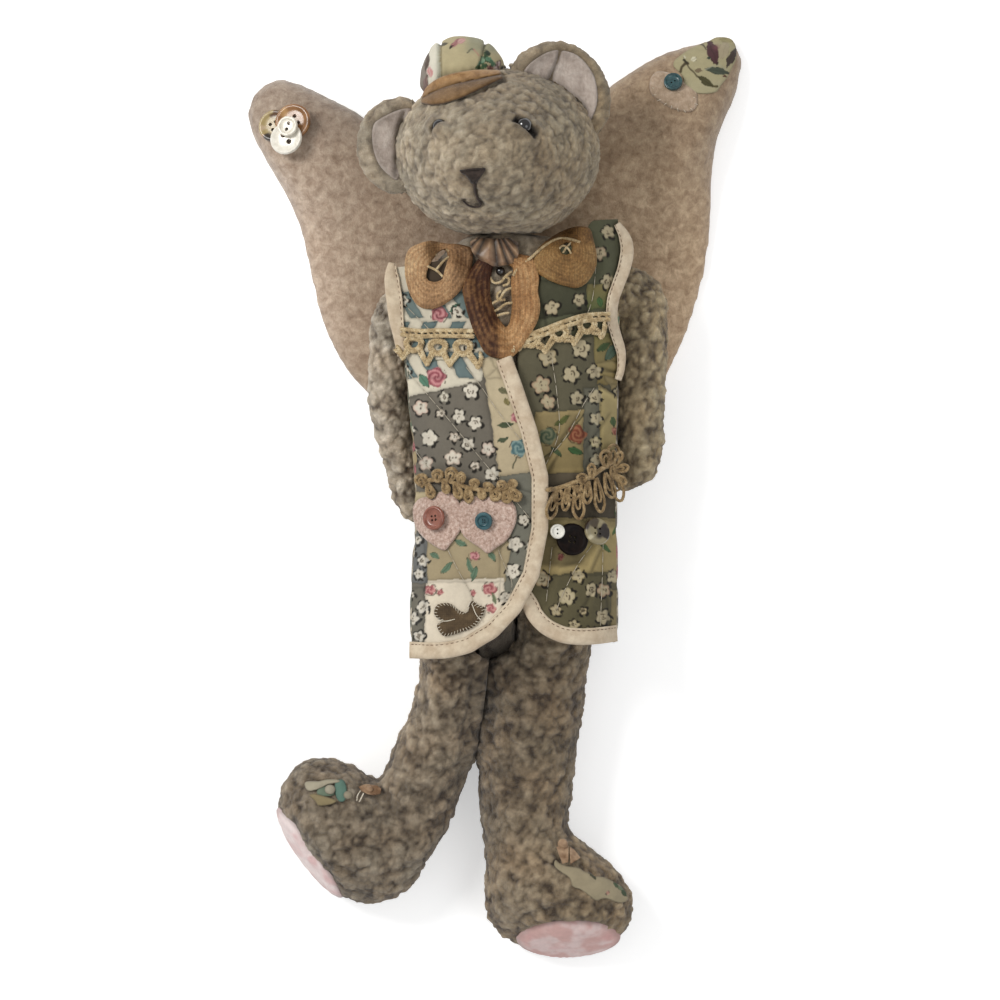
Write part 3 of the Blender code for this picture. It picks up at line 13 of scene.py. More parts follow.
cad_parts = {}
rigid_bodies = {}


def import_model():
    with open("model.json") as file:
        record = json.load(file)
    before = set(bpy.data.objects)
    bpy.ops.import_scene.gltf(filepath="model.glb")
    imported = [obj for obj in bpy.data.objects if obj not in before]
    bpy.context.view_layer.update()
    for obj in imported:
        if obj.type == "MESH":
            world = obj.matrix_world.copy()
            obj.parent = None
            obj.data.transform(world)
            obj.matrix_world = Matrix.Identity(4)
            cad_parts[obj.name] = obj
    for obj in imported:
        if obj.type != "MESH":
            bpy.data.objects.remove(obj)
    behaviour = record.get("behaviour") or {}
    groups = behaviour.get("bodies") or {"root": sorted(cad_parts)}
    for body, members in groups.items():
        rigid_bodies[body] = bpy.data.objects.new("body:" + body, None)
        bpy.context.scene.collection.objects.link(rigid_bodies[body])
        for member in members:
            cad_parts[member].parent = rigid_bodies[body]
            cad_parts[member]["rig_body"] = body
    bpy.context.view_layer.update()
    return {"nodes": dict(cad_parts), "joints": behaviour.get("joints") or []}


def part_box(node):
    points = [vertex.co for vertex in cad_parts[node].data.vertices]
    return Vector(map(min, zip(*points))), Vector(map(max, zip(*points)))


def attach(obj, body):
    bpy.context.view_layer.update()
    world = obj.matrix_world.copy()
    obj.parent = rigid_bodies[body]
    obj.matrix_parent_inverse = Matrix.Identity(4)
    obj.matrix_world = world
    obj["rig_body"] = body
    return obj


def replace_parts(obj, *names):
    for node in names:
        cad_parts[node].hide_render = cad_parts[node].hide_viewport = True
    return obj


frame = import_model()

# Lengths are in millimetres in the frame of the part. Positions u, v and most outlines are pixels of the
# photograph, which is 1000 pixels wide and looks straight down from CAMERA.
MM = 0.001
CAMERA = np.array((2.27, -1.17, 1530.0))
PICTURE_MIDDLE = 500
PX = 0.44              # millimetres per pixel at the height VIEW_PLANE
VIEW_PLANE = 30.0
PLACE = np.array((0.07, -1.39))     # where the origin of the plan tables below lies in the frame


# Colours

def rgb(text):
    """Linear colour from a web colour such as 8f877a."""
    values = np.array([int(text[i:i + 2], 16) / 255 for i in (0, 2, 4)])
    return np.where(values <= 0.04045, values / 12.92, ((values + 0.055) / 1.055) ** 2.4)


def mix(a, b, share):
    """Colour a with a share of colour b for each point."""
    share = np.asarray(share)[..., None]
    return a * (1 - share) + b * share


# Repeatable noise over arrays of points

def lattice(cells, salt):
    """Random numbers from 0 to 1 for whole-number cells."""
    c = cells.astype(np.int64)
    n = c[..., 0] * 73856093 ^ c[..., 1] * 19349663 ^ c[..., 2] * 83492791 ^ (salt * 2654435761)
    n = n & 0x7FFFFFFF
    n = ((n ^ (n >> 13)) * 1274126177) & 0x7FFFFFFF
    n = ((n ^ (n >> 11)) * 668265263) & 0x7FFFFFFF
    return ((n ^ (n >> 15)) & 0xFFFFFF) / 0xFFFFFF


def value_noise(points, size, salt):
    """Smooth noise from 0 to 1 with features of about that size."""
    p = points / size
    base = np.floor(p)
    f = p - base
    f = f * f * (3 - 2 * f)
    total = 0.0
    for corner in range(8):
        step = np.array([(corner >> k) & 1 for k in range(3)])
        weight = np.prod(np.where(step, f, 1 - f), axis=-1)
        total = total + weight * lattice(base + step, salt)
    return total


def layered(points, size, salt, layers=3):
    """Noise from 0 to 1 with finer and weaker layers laid over each other."""
    total, reach = 0.0, 0.0
    for layer in range(layers):
        total = total + value_noise(points, size / 2 ** layer, salt + layer) / 2 ** layer
        reach += 1 / 2 ** layer
    return total / reach


def cells_near(points, size, salt):
    """Distance to the nearest scattered seed, in cell sizes, and a random number for that seed."""
    p = points / size
    base = np.floor(p)
    best = np.full(len(p), 9.0)
    label = np.zeros(len(p))
    for dx in (-1, 0, 1):
        for dy in (-1, 0, 1):
            for dz in (-1, 0, 1):
                cell = base + (dx, dy, dz)
                seed = cell + np.stack([lattice(cell, salt + k) for k in range(3)], axis=-1)
                far = np.linalg.norm(seed - p, axis=-1)
                near = far < best
                best = np.where(near, far, best)
                label = np.where(near, lattice(cell, salt + 7), label)
    return best, label


def smooth(value):
    """0 to 1 in an S."""
    value = np.clip(value, 0, 1)
    return value * value * (3 - 2 * value)


def rounded(value):
    """0 to 1 along a quarter circle, which starts steeply."""
    return np.sqrt(np.clip(1 - (1 - np.clip(value, 0, 1)) ** 2, 0, 1))


# From the photograph's pixels to millimetres and back

def px_to_mm(u, v, z):
    """Plan position under some pixels at a height."""
    k = (CAMERA[2] - z) / (CAMERA[2] - VIEW_PLANE) * PX
    return (CAMERA[0] + (np.asarray(u, float) - PICTURE_MIDDLE) * k,
            CAMERA[1] - (np.asarray(v, float) - PICTURE_MIDDLE) * k)


def mm_to_px(points):
    """Pixels at which the camera sees some points."""
    k = (CAMERA[2] - points[..., 2]) / (CAMERA[2] - VIEW_PLANE) * PX
    return (PICTURE_MIDDLE + (points[..., 0] - CAMERA[0]) / k,
            PICTURE_MIDDLE - (points[..., 1] - CAMERA[1]) / k)


# Mesh building

def new_object(name, points, faces, material, body, slot=None):
    """Mesh object from points in mm. It rides on the body. slot, the part's material it stands for, is not
    used.
    """
    mesh = bpy.data.meshes.new(name)
    mesh.from_pydata((np.asarray(points, float) * MM).tolist(), [], [tuple(f) for f in faces])
    mesh.shade_smooth()
    mesh.materials.append(material)
    piece = bpy.data.objects.new(name, mesh)
    bpy.context.scene.collection.objects.link(piece)
    if body:
        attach(piece, body)
    return piece


def face_outward(piece):
    """Turn all faces of the mesh the same way out."""
    bm = bmesh.new()
    bm.from_mesh(piece.data)
    bmesh.ops.recalc_face_normals(bm, faces=bm.faces)
    bm.to_mesh(piece.data)
    bm.free()


def paint(piece, colours):
    """Stores a colour for each vertex, which the material reads as Tint."""
    tint = piece.data.attributes.new("Tint", "FLOAT_COLOR", "POINT")
    data = np.ones((len(piece.data.vertices), 4), np.float32)
    data[:, :3] = colours
    tint.data.foreach_set("color", data.ravel())


def corners(piece):
    """Vertices of a piece, in millimetres."""
    data = np.zeros(len(piece.data.vertices) * 3)
    piece.data.vertices.foreach_get("co", data)
    return data.reshape(-1, 3) / MM


def set_corners(piece, points):
    """Moves the vertices of a piece, none of them under the floor."""
    points = np.array(points, float)
    points[:, 2] = np.maximum(points[:, 2], 0.0)
    piece.data.vertices.foreach_set("co", (points * MM).ravel())
    piece.data.update()


def normals_of(piece):
    """Normals of the vertices."""
    data = np.zeros(len(piece.data.vertices) * 3)
    piece.data.vertex_normals.foreach_get("vector", data)
    return data.reshape(-1, 3)


def apply_modifiers(piece):
    """Puts the mesh that the modifiers make in the place of the piece's own."""
    bpy.context.view_layer.update()
    graph = bpy.context.evaluated_depsgraph_get()
    made = bpy.data.meshes.new_from_object(piece.evaluated_get(graph))
    old = piece.data
    piece.modifiers.clear()
    piece.data = made
    bpy.data.meshes.remove(old)


def rod_mesh(start, end, radius, segments=20):
    """Round rod between two points."""
    start, end = np.asarray(start, float), np.asarray(end, float)
    axis = (end - start) / np.linalg.norm(end - start)
    side = np.cross(axis, (0, 0, 1) if abs(axis[2]) < 0.9 else (0, 1, 0))
    side /= np.linalg.norm(side)
    up = np.cross(axis, side)
    turn = np.linspace(0, math.tau, segments, endpoint=False)
    ring = side * np.cos(turn)[:, None] * radius + up * np.sin(turn)[:, None] * radius
    points = np.vstack([start + ring, end + ring])
    faces = [(i, (i + 1) % segments, segments + (i + 1) % segments, segments + i) for i in range(segments)]
    faces += [tuple(range(segments))[::-1], tuple(range(segments, 2 * segments))]
    return points, faces


def soft_copy(name, node, material, voxel, plugs=(), levels=2, relax=3):
    """Smooth skin over a CAD node: remeshed, relaxed and refined. Plugs fill its hidden sockets."""
    source = frame["nodes"][node]
    points = [v.co / MM for v in source.data.vertices]
    faces = [tuple(p.vertices) for p in source.data.polygons]
    for plug_points, plug_faces in plugs:
        first = len(points)
        points += [Vector(p) for p in plug_points]
        faces += [tuple(first + i for i in f) for f in plug_faces]
    piece = new_object(name, [tuple(p) for p in points], faces, material, None)
    bm = bmesh.new()
    bm.from_mesh(piece.data)
    bmesh.ops.remove_doubles(bm, verts=bm.verts, dist=0.00002)
    bm.to_mesh(piece.data)
    bm.free()
    remesh = piece.modifiers.new("remesh", "REMESH")
    remesh.mode = "VOXEL"
    remesh.voxel_size = voxel * MM
    settle = piece.modifiers.new("settle", "SMOOTH")
    settle.factor = 0.5
    settle.iterations = relax
    if levels:
        refine = piece.modifiers.new("refine", "SUBSURF")
        refine.levels = refine.render_levels = levels
    apply_modifiers(piece)
    piece.data.shade_smooth()
    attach(piece, source["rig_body"])
    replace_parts(piece, node)
    return piece


class Ground:
    """Heights and hits on the outside of some pieces."""

    def __init__(self, *pieces):
        points, faces = [], []
        for piece in pieces:
            first = len(points)
            points += [v.co / MM for v in piece.data.vertices]
            faces += [[first + i for i in p.vertices] for p in piece.data.polygons]
        self.tree = BVHTree.FromPolygons(points, faces)

    def down(self, x, y):
        """Height of the outside at a plan position, or None beside it."""
        hit = self.tree.ray_cast(Vector((x, y, 400.0)), Vector((0, 0, -1)))[0]
        return hit.z if hit else None

    def seen(self, u, v):
        """Point and normal that the camera sees at a pixel."""
        x, y = px_to_mm(u, v, VIEW_PLANE)
        eye = Vector(CAMERA)
        hit, normal, _, _ = self.tree.ray_cast(eye, (Vector((x, y, VIEW_PLANE)) - eye).normalized())
        return hit, normal


def four_sides(grid, **padding):
    """The grid moved by one cell to each of its four sides."""
    padded = np.pad(grid, 1, **padding)
    return np.stack([padded[1:-1, 2:], padded[1:-1, :-2], padded[2:, 1:-1], padded[:-2, 1:-1]])


class Relief:
    """Smoothed height of some pieces on a grid in plan, carried on beyond their edges.

    Spots under lowest count as empty; over widens high places by that many cells."""

    def __init__(self, pieces, box, pitch, blur, lowest, over=0):
        ground = Ground(*pieces)
        self.x0, self.y0, x1, y1 = box
        self.pitch = pitch
        nx, ny = int((x1 - self.x0) / pitch) + 2, int((y1 - self.y0) / pitch) + 2
        grid = np.full((ny, nx), np.nan)
        for j in range(ny):
            for i in range(nx):
                z = ground.down(self.x0 + i * pitch, self.y0 + j * pitch)
                if z is not None and z >= lowest:
                    grid[j, i] = z
        while np.isnan(grid).any():
            around = four_sides(grid, constant_values=np.nan)
            known = ~np.isnan(around)
            fill = np.where(known, around, 0).sum(0) / np.maximum(known.sum(0), 1)
            grid = np.where(np.isnan(grid) & (known.sum(0) > 0), fill, grid)
        for _ in range(over):
            grid = np.maximum(grid, four_sides(grid, mode="edge").max(0))
        for _ in range(int(4 * (blur / pitch) ** 2)):
            grid = 0.5 * grid + 0.125 * four_sides(grid, mode="edge")[::-1].sum(0)
        self.grid = grid

    def at(self, x, y):
        """Height of the relief at plan positions."""
        i = np.clip((np.asarray(x, float) - self.x0) / self.pitch, 0, self.grid.shape[1] - 1.001)
        j = np.clip((np.asarray(y, float) - self.y0) / self.pitch, 0, self.grid.shape[0] - 1.001)
        i0, j0 = i.astype(int), j.astype(int)
        fi, fj = i - i0, j - j0
        g = self.grid
        return ((g[j0, i0] * (1 - fi) + g[j0, i0 + 1] * fi) * (1 - fj)
                + (g[j0 + 1, i0] * (1 - fi) + g[j0 + 1, i0 + 1] * fi) * fj)

    def from_px(self, u, v):
        """Plan points under some pixels, on this relief."""
        z = np.full(np.shape(u), 60.0)
        for _ in range(4):
            x, y = px_to_mm(u, v, z)
            z = self.at(x, y)
        return x, y


# Paths and outlines

def spline(p):
    """Points of a Catmull-Rom curve, from the second given point to just before the last but one."""
    t = np.linspace(0, 1, 24, endpoint=False)[:, None]
    fine = []
    for a, b, c, d in zip(p, p[1:], p[2:], p[3:]):
        fine.append(0.5 * (2 * b + (c - a) * t + (2 * a - 5 * b + 4 * c - d) * t ** 2
                           + (3 * b - a - 3 * c + d) * t ** 3))
    return np.vstack(fine)


def closed_path(points, count):
    """Smooth closed outline through the points, with evenly spaced steps."""
    p = np.asarray(points, float)
    fine = spline(np.vstack([p[-1:], p, p[:2]]))
    return resample(np.vstack([fine, fine[:1]]), count + 1)[:-1]


def open_path(points, count):
    """Smooth line through the points, with evenly spaced steps."""
    p = np.asarray(points, float)
    fine = spline(np.vstack([2 * p[0] - p[1], p, 2 * p[-1] - p[-2]]))
    return resample(np.vstack([fine, p[-1:]]), count)


def resample(line, count):
    """The line again, with evenly spaced points."""
    steps = np.linalg.norm(np.diff(line, axis=0), axis=1)
    along = np.concatenate([[0], np.cumsum(steps)])
    at = np.linspace(0, along[-1], count)
    return np.stack([np.interp(at, along, line[:, k]) for k in range(line.shape[1])], axis=1)


def length_of(line):
    """Length of a line of points."""
    return np.linalg.norm(np.diff(np.asarray(line), axis=0), axis=1).sum()


def left_of(line):
    """Unit directions to the left of a plan line."""
    along = np.gradient(line, axis=0)
    along /= np.linalg.norm(along, axis=1)[:, None]
    return np.column_stack([-along[:, 1], along[:, 0]])


def line_distance(points, line):
    """Distance from plan points to a line."""
    best = np.full(len(points), 1e9)
    for a, b in zip(line[:-1], line[1:]):
        along = b - a
        t = np.clip(((points - a) @ along) / max(along @ along, 1e-12), 0, 1)
        best = np.minimum(best, np.linalg.norm(points - a - t[:, None] * along, axis=1))
    return best


def edge_distance(points, outline):
    """Distance from plan points to a closed outline."""
    return line_distance(points, np.vstack([outline, outline[:1]]))


def inside(points, outline):
    """Whether plan points lie inside a closed outline."""
    hit = np.zeros(len(points), bool)
    x, y = points[:, 0], points[:, 1]
    for (ax, ay), (bx, by) in zip(outline, np.roll(outline, -1, axis=0)):
        crosses = (ay > y) != (by > y)
        slope = (bx - ax) / (by - ay) if by != ay else 0.0
        hit ^= crosses & (x < ax + slope * (y - ay))
    return hit


def filled(outline, pitch):
    """Points and triangles that fill a plan outline."""
    low, high = outline.min(0), outline.max(0)
    rows = []
    for j, y in enumerate(np.arange(low[1], high[1], pitch * 0.87)):
        xs = np.arange(low[0] + (j % 2) * pitch / 2, high[0], pitch)
        rows.append(np.stack([xs, np.full(len(xs), y)], axis=1))
    grid = np.vstack(rows)
    grid = grid[inside(grid, outline)]
    grid = grid[edge_distance(grid, outline) > pitch * 0.5]
    count = len(outline)
    points = [Vector(p) for p in np.vstack([outline, grid])]
    edges = [(i, (i + 1) % count) for i in range(count)]
    made, _, faces, _, _, _ = delaunay_2d_cdt(points, edges, [], 1, 1e-5)
    return np.array([tuple(p) for p in made]), [tuple(f) for f in faces]


def patch(name, outline, count, relief, lift, thickness, pitch, material, body, slot, crown, edge):
    """Soft plate with a rounded edge, laid on a relief inside a pixel outline drawn with count points.

    It comes with the distance of each of its vertices to its edge. crown swells its middle."""
    line = closed_path(outline, count)
    outline = np.column_stack(relief.from_px(line[:, 0], line[:, 1]))
    flat, faces = filled(outline, pitch)
    far = edge_distance(flat, outline)
    base = relief.at(flat[:, 0], flat[:, 1]) + lift
    top = base + 0.25 * thickness + 0.75 * thickness * rounded(far / edge)
    top += crown * smooth(far / (far.max() + 1e-9))
    points = np.vstack([np.column_stack([flat, top]), np.column_stack([flat, base])])
    n = len(flat)
    skin = list(faces) + [tuple(n + i for i in f[::-1]) for f in faces]
    rim = dict.fromkeys((a, b) for f in faces for a, b in zip(f, f[1:] + f[:1]))
    skin += [(b, a, n + a, n + b) for a, b in rim if (b, a) not in rim]
    piece = new_object(name, points, skin, material, body, slot)
    face_outward(piece)
    return piece, np.concatenate([far, far])


def frames_along(line, up):
    """Unit directions along, across and up at each point of a line."""
    line = np.asarray(line, float)
    along = np.gradient(line, axis=0)
    along /= np.linalg.norm(along, axis=1)[:, None] + 1e-12
    up = np.broadcast_to(np.asarray(up, float), line.shape)
    across = np.cross(along, up)
    across /= np.linalg.norm(across, axis=1)[:, None] + 1e-12
    return along, across, np.cross(across, along)


def tube(line, radius, up=(0, 0, 1), sides=7):
    """Round thread along a line, closed at both ends; radius may vary along it."""
    line = np.asarray(line, float)
    radius = np.broadcast_to(radius, len(line))
    _, across, lifted = frames_along(line, up)
    turn = np.linspace(0, math.tau, sides, endpoint=False)
    ring = across[:, None] * np.cos(turn)[None, :, None] + lifted[:, None] * np.sin(turn)[None, :, None]
    points = (line[:, None] + ring * radius[:, None, None]).reshape(-1, 3)
    n = len(line)
    faces = grid_faces(n, sides, True)
    faces += [tuple(range(sides))[::-1], tuple(range((n - 1) * sides, n * sides))]
    return points, faces


def yarn(line, radius, pitch, strands=2, phase=0.0):
    """Twisted yarn: strands wound round a line, once in each pitch."""
    count = max(int(length_of(line) / (pitch / 6)), 6)
    line = resample(np.asarray(line, float), count)
    up = (0, 0, 1)
    _, across, lifted = frames_along(line, up)
    along = np.linspace(0, length_of(line), count)
    made = []
    for s in range(strands):
        turn = math.tau * (along / pitch + s / strands) + phase
        path = line + (across * np.cos(turn)[:, None] + lifted * np.sin(turn)[:, None]) * radius * 0.5
        made.append(tube(path, radius * 0.62, up, 6))
    return made


def merged(parts):
    """One mesh from several."""
    points, faces, first = [], [], 0
    for p, f in parts:
        points.append(np.asarray(p))
        faces += [tuple(first + i for i in face) for face in f]
        first += len(p)
    return np.vstack(points), faces


def grid_faces(rows, columns, closed_columns):
    """Quads between rows of vertices; with closed_columns each row is a ring."""
    faces = []
    for r in range(rows - 1):
        for c in range(columns if closed_columns else columns - 1):
            d = (c + 1) % columns
            faces.append((r * columns + c, r * columns + d, (r + 1) * columns + d, (r + 1) * columns + c))
    return faces


def slab(top, bottom, closed_columns=False):
    """Closed sheet between two grids of points, shaped (rows, columns, 3)."""
    rows, columns = top.shape[:2]
    points = np.vstack([top.reshape(-1, 3), bottom.reshape(-1, 3)])
    back = rows * columns
    faces = grid_faces(rows, columns, closed_columns)
    faces += [tuple(back + i for i in f[::-1]) for f in faces]
    for c in range(columns if closed_columns else columns - 1):
        d = (c + 1) % columns
        faces.append((d, c, back + c, back + d))
        last = (rows - 1) * columns
        faces.append((last + c, last + d, back + last + d, back + last + c))
    if not closed_columns:
        for r in range(rows - 1):
            a, b = r * columns, (r + 1) * columns
            faces.append((a, b, back + b, back + a))
            a, b = a + columns - 1, b + columns - 1
            faces.append((b, a, back + a, back + b))
    return points, faces


# Materials

class Nodes:
    """Short way to write a material's nodes."""

    def __init__(self, name, roughness, **sockets):
        self.material = bpy.data.materials.new(name)
        self.material.use_nodes = True
        self.tree = self.material.node_tree
        self.surface = self.tree.nodes["Principled BSDF"]
        self.surface.inputs["Roughness"].default_value = roughness
        for socket, value in sockets.items():
            self.surface.inputs[socket.replace("_", " ")].default_value = value
        self.place = self.node("ShaderNodeTexCoord").outputs["Object"]

    def node(self, kind, **settings):
        """New node with these settings."""
        node = self.tree.nodes.new(kind)
        for key, value in settings.items():
            setattr(node, key, value)
        return node

    def link(self, source, target):
        """Joins an output to an input."""
        self.tree.links.new(source, target)

    def noise(self, size, detail, roughness=0.6, distortion=0.0, stretch=None):
        """Noise with spots of this size in mm."""
        node = self.node("ShaderNodeTexNoise")
        node.inputs["Scale"].default_value = 1 / (size * MM)
        node.inputs["Detail"].default_value = detail
        node.inputs["Roughness"].default_value = roughness
        node.inputs["Distortion"].default_value = distortion
        place = self.place
        if stretch:
            scaled = self.node("ShaderNodeMapping")
            scaled.inputs["Scale"].default_value = stretch
            self.link(self.place, scaled.inputs["Vector"])
            place = scaled.outputs["Vector"]
        self.link(place, node.inputs["Vector"])
        return node.outputs["Fac"]

    def wave(self, size, direction):
        """Bands this many mm apart, like the threads of a cloth."""
        node = self.node("ShaderNodeTexWave", wave_type="BANDS", bands_direction=direction,
                         wave_profile="SIN")
        node.inputs["Scale"].default_value = math.tau / 20 / (size * MM)
        node.inputs["Distortion"].default_value = 0.6
        node.inputs["Detail"].default_value = 2.0
        node.inputs["Detail Scale"].default_value = 2.0
        self.link(self.place, node.inputs["Vector"])
        return node.outputs["Fac"]

    def threads(self, size_x, size_y):
        """Height of crossed threads of those widths."""
        waves = self.wave(size_x, "X"), self.wave(size_y, "Y")
        node = self.node("ShaderNodeMath", operation="MULTIPLY")
        for wave, socket in zip(waves, node.inputs):
            self.link(wave, socket)
        return node.outputs[0]

    def ramp(self, value, stops):
        """Colours over a value, from (place, colour) pairs."""
        node = self.node("ShaderNodeValToRGB")
        elements = node.color_ramp.elements
        while len(elements) < len(stops):
            elements.new(0.5)
        for element, (at, colour) in zip(elements, stops):
            element.position = at
            element.color = (*(rgb(colour) if isinstance(colour, str) else colour), 1)
        self.link(value, node.inputs["Fac"])
        return node.outputs["Color"]

    def stored(self, name, output="Color"):
        """A colour or a value that is kept on the vertices."""
        return self.node("ShaderNodeAttribute", attribute_name=name).outputs[output]

    def blend(self, kind, share, a, b):
        """Mix of two colours; each input is a number, a colour or a node's output."""
        node = self.node("ShaderNodeMix", data_type="RGBA", blend_type=kind)
        for socket, value in ((node.inputs[0], share), (node.inputs[6], a), (node.inputs[7], b)):
            if isinstance(value, (int, float)):
                socket.default_value = value
            elif isinstance(value, (tuple, list, np.ndarray)):
                socket.default_value = (*value, 1)
            else:
                self.link(value, socket)
        return node.outputs[2]

    def shade(self, colour, low, high, value):
        """Multiplies a colour by a grey that runs from low to high with the value."""
        grey = self.ramp(value, [(0.25, (low,) * 3), (0.75, (high,) * 3)])
        return self.blend("MULTIPLY", 1.0, colour, grey)

    def colour(self, colour):
        """Makes this the base colour."""
        self.link(colour, self.surface.inputs["Base Color"])

    def rough(self, value, low, high):
        """Roughness between low and high over a value."""
        spread = self.node("ShaderNodeMapRange")
        spread.inputs["To Min"].default_value = low
        spread.inputs["To Max"].default_value = high
        self.link(value, spread.inputs["Value"])
        self.link(spread.outputs["Result"], self.surface.inputs["Roughness"])

    def bump(self, *layers):
        """Each layer is (height value, depth in mm)."""
        normal = None
        for value, depth in layers:
            node = self.node("ShaderNodeBump")
            node.inputs["Strength"].default_value = 1.0
            node.inputs["Distance"].default_value = depth * MM
            self.link(value, node.inputs["Height"])
            if normal:
                self.link(normal, node.inputs["Normal"])
            normal = node.outputs["Normal"]
        self.link(normal, self.surface.inputs["Normal"])


def plush_material(name, low, middle, high, warm):
    """Curly pile coloured from its stored level: painted shade between the curls and pale tips, with broad
    patches of wear; Tone multiplies in painted light and shade.
    """
    n = Nodes(name, 0.95, Sheen_Weight=0.25, Sheen_Roughness=0.6, Specular_IOR_Level=0.15)
    curls = n.ramp(n.stored("Pile", "Fac"), [(0.0, low), (0.45, middle), (1.0, high)])
    broad = n.ramp(n.noise(17, 2), [(0.38, (1, 1, 1)), (0.7, rgb(warm) / rgb(middle))])
    colour = n.blend("MULTIPLY", 0.75, curls, broad)
    # Tone: painted light and shade, times each piece's own tone.
    colour = n.blend("MULTIPLY", 1.0, colour, n.stored("Tone"))
    fibres = n.noise(0.5, 2, 0.7, 0.8)
    colour = n.shade(colour, 0.76, 1.20, fibres)
    colour = n.shade(colour, 0.86, 1.12, n.noise(1.3, 3, 0.7, 1.4))
    n.colour(colour)
    n.bump((fibres, 0.45), (n.noise(1.1, 3, 0.65, 1.5), 0.5))
    return n.material


def felt_material(name, base, light, dark, mottling, fuzz, tinted=False):
    """Matted wool; a tinted one is shaded by the colours painted on its vertices."""
    n = Nodes(name, 0.95, Sheen_Weight=fuzz, Sheen_Roughness=0.5, Specular_IOR_Level=0.15)
    colour = n.ramp(n.noise(mottling, 4, 0.65, 0.4), [(0.3, dark), (0.5, base), (0.72, light)])
    if tinted:
        colour = n.blend("MULTIPLY", 1.0, colour, n.stored("Tint"))
    fibres = n.noise(0.5, 3, 0.7, 0.8, (1.0, 0.45, 1.0))
    colour = n.shade(colour, 0.84, 1.12, fibres)
    colour = n.shade(colour, 0.9, 1.06, n.noise(1.7, 2, 0.6, 1.2, (1.0, 0.5, 1.0)))
    n.colour(colour)
    n.bump((fibres, 0.22), (n.noise(1.6, 3, 0.6, 1.0), 0.25))
    return n.material


def cloth_material(name, roughness=0.85, weave=0.42, depth=0.05, base=None):
    """Plain weave; its colour is painted on the vertices unless a base colour is given."""
    n = Nodes(name, roughness, Sheen_Weight=0.1, Sheen_Roughness=0.5, Specular_IOR_Level=0.25)
    colour = n.stored("Tint") if base is None else n.ramp(n.noise(6, 3), [(0.35, base[0]), (0.65, base[1])])
    threads = n.threads(weave, weave)
    colour = n.shade(colour, 0.9, 1.05, threads)
    colour = n.shade(colour, 0.9, 1.06, n.noise(3.0, 4, 0.7))
    n.colour(colour)
    n.bump((threads, depth), (n.noise(2.5, 3), 0.15))
    return n.material


def plastic_material(name, base, swirl, roughness=0.28, size=5.0, coat=0.3, gloss=0.5):
    """Moulded plastic; without a base colour it takes the colours painted on the vertices."""
    n = Nodes(name, roughness, Coat_Weight=coat, Coat_Roughness=0.15, Specular_IOR_Level=gloss)
    colour = n.ramp(n.noise(size, 2, 0.5, 1.8), [(0.35, base), (0.62, swirl)]) if base else n.stored("Tint")
    colour = n.shade(colour, 0.92, 1.05, n.noise(1.2, 3))
    n.colour(colour)
    n.rough(n.noise(2.0, 4), roughness * 0.8, roughness * 1.6)
    n.bump((n.noise(0.8, 3), 0.02))
    return n.material


def yarn_material(name, dark, base, light, roughness=0.8):
    """Spun yarn or thread in three tones."""
    n = Nodes(name, roughness, Sheen_Weight=0.15, Specular_IOR_Level=0.25)
    colour = n.ramp(n.noise(2.6, 4, 0.7), [(0.3, dark), (0.5, base), (0.7, light)])
    fibres = n.noise(0.35, 2, 0.6)
    n.colour(n.shade(colour, 0.78, 1.12, fibres))
    n.bump((fibres, 0.15))
    return n.material


def braid_material():
    """Straw braid, coloured on its vertices."""
    n = Nodes("straw_braid", 0.62, Specular_IOR_Level=0.3)
    weave = n.threads(0.7, 0.55)
    colour = n.shade(n.stored("Tint"), 0.74, 1.40, weave)
    colour = n.shade(colour, 0.66, 1.42, n.noise(0.8, 2, 0.6))
    n.colour(n.shade(colour, 0.84, 1.18, n.noise(3.0, 3, 0.6)))
    n.bump((weave, 0.16), (n.noise(0.8, 2, 0.6), 0.2))
    return n.material


def satin_material():
    """Shiny ribbon with fine threads along it, shaded by the colours on its vertices."""
    n = Nodes("satin_ribbon", 0.38, Sheen_Weight=0.2, Anisotropic=0.5)
    colour = n.blend("MULTIPLY", 1.0, n.ramp(n.noise(5, 3), [(0.3, "765840"), (0.7, "a1866a")]),
                     n.stored("Tint"))
    n.colour(n.shade(colour, 0.92, 1.05, n.noise(0.5, 2, 0.6, 0.0, (3.0, 0.4, 1.0))))
    n.bump((n.noise(0.4, 2, 0.6, 0.0, (4.0, 0.3, 1.0)), 0.02))
    return n.material


def bead_material():
    """Polished black glass."""
    n = Nodes("eye_bead", 0.06, Coat_Weight=0.6, Coat_Roughness=0.03)
    n.colour(n.ramp(n.noise(2.0, 2), [(0.3, "0a0908"), (0.8, "1a1512")]))
    n.bump((n.noise(0.7, 2), 0.004))
    return n.material


PLUSH = plush_material("plush_curls", "43372a", "8d8273", "bfb5a7", "9a8873")
LINING = felt_material("ear_velour", "aea197", "c0b5ab", "94877d", 7.0, 0.4, True)
WOOL = felt_material("brushed_wool", "a39181", "bcac9b", "887565", 4.0, 0.4, True)
CLOTH = cloth_material("printed_cotton")
BINDING = cloth_material("bias_binding", 0.8, 0.38, 0.05, ("c3af95", "d4c4ab"))
BRAID = braid_material()
CROCHET = yarn_material("crochet_yarn", "7d6748", "b9a27a", "dccdaa")
FELT_PINK = felt_material("speckled_pink_felt", "b99e90", "d6c4b6", "8c7263", 1.3, 0.3)
# Darker yarn for the pocket laces: painted shade.
CROCHET_SHADED = yarn_material("crochet_yarn_worn", "57432a", "937a55", "bda57d")
FELT_TAN = felt_material("tan_felt", "ab957f", "bba792", "948069", 3.0, 0.3)
SATIN = satin_material()
RIBBON = cloth_material("foot_ribbon", 0.5, 0.5, 0.04, ("7d5f45", "b79a7c"))
SOLE = cloth_material("sole_cotton", 0.85, 0.55, 0.06)
BRIM = felt_material("tan_suede", "8a6d4e", "9d805f", "705539", 4.0, 0.2, True)
THREAD = yarn_material("pale_thread", "b9ae98", "d6ccb8", "ece4d4", 0.6)
QUILTING = yarn_material("quilting_cotton", "978c78", "b5ab97", "cbc2b0", 0.6)
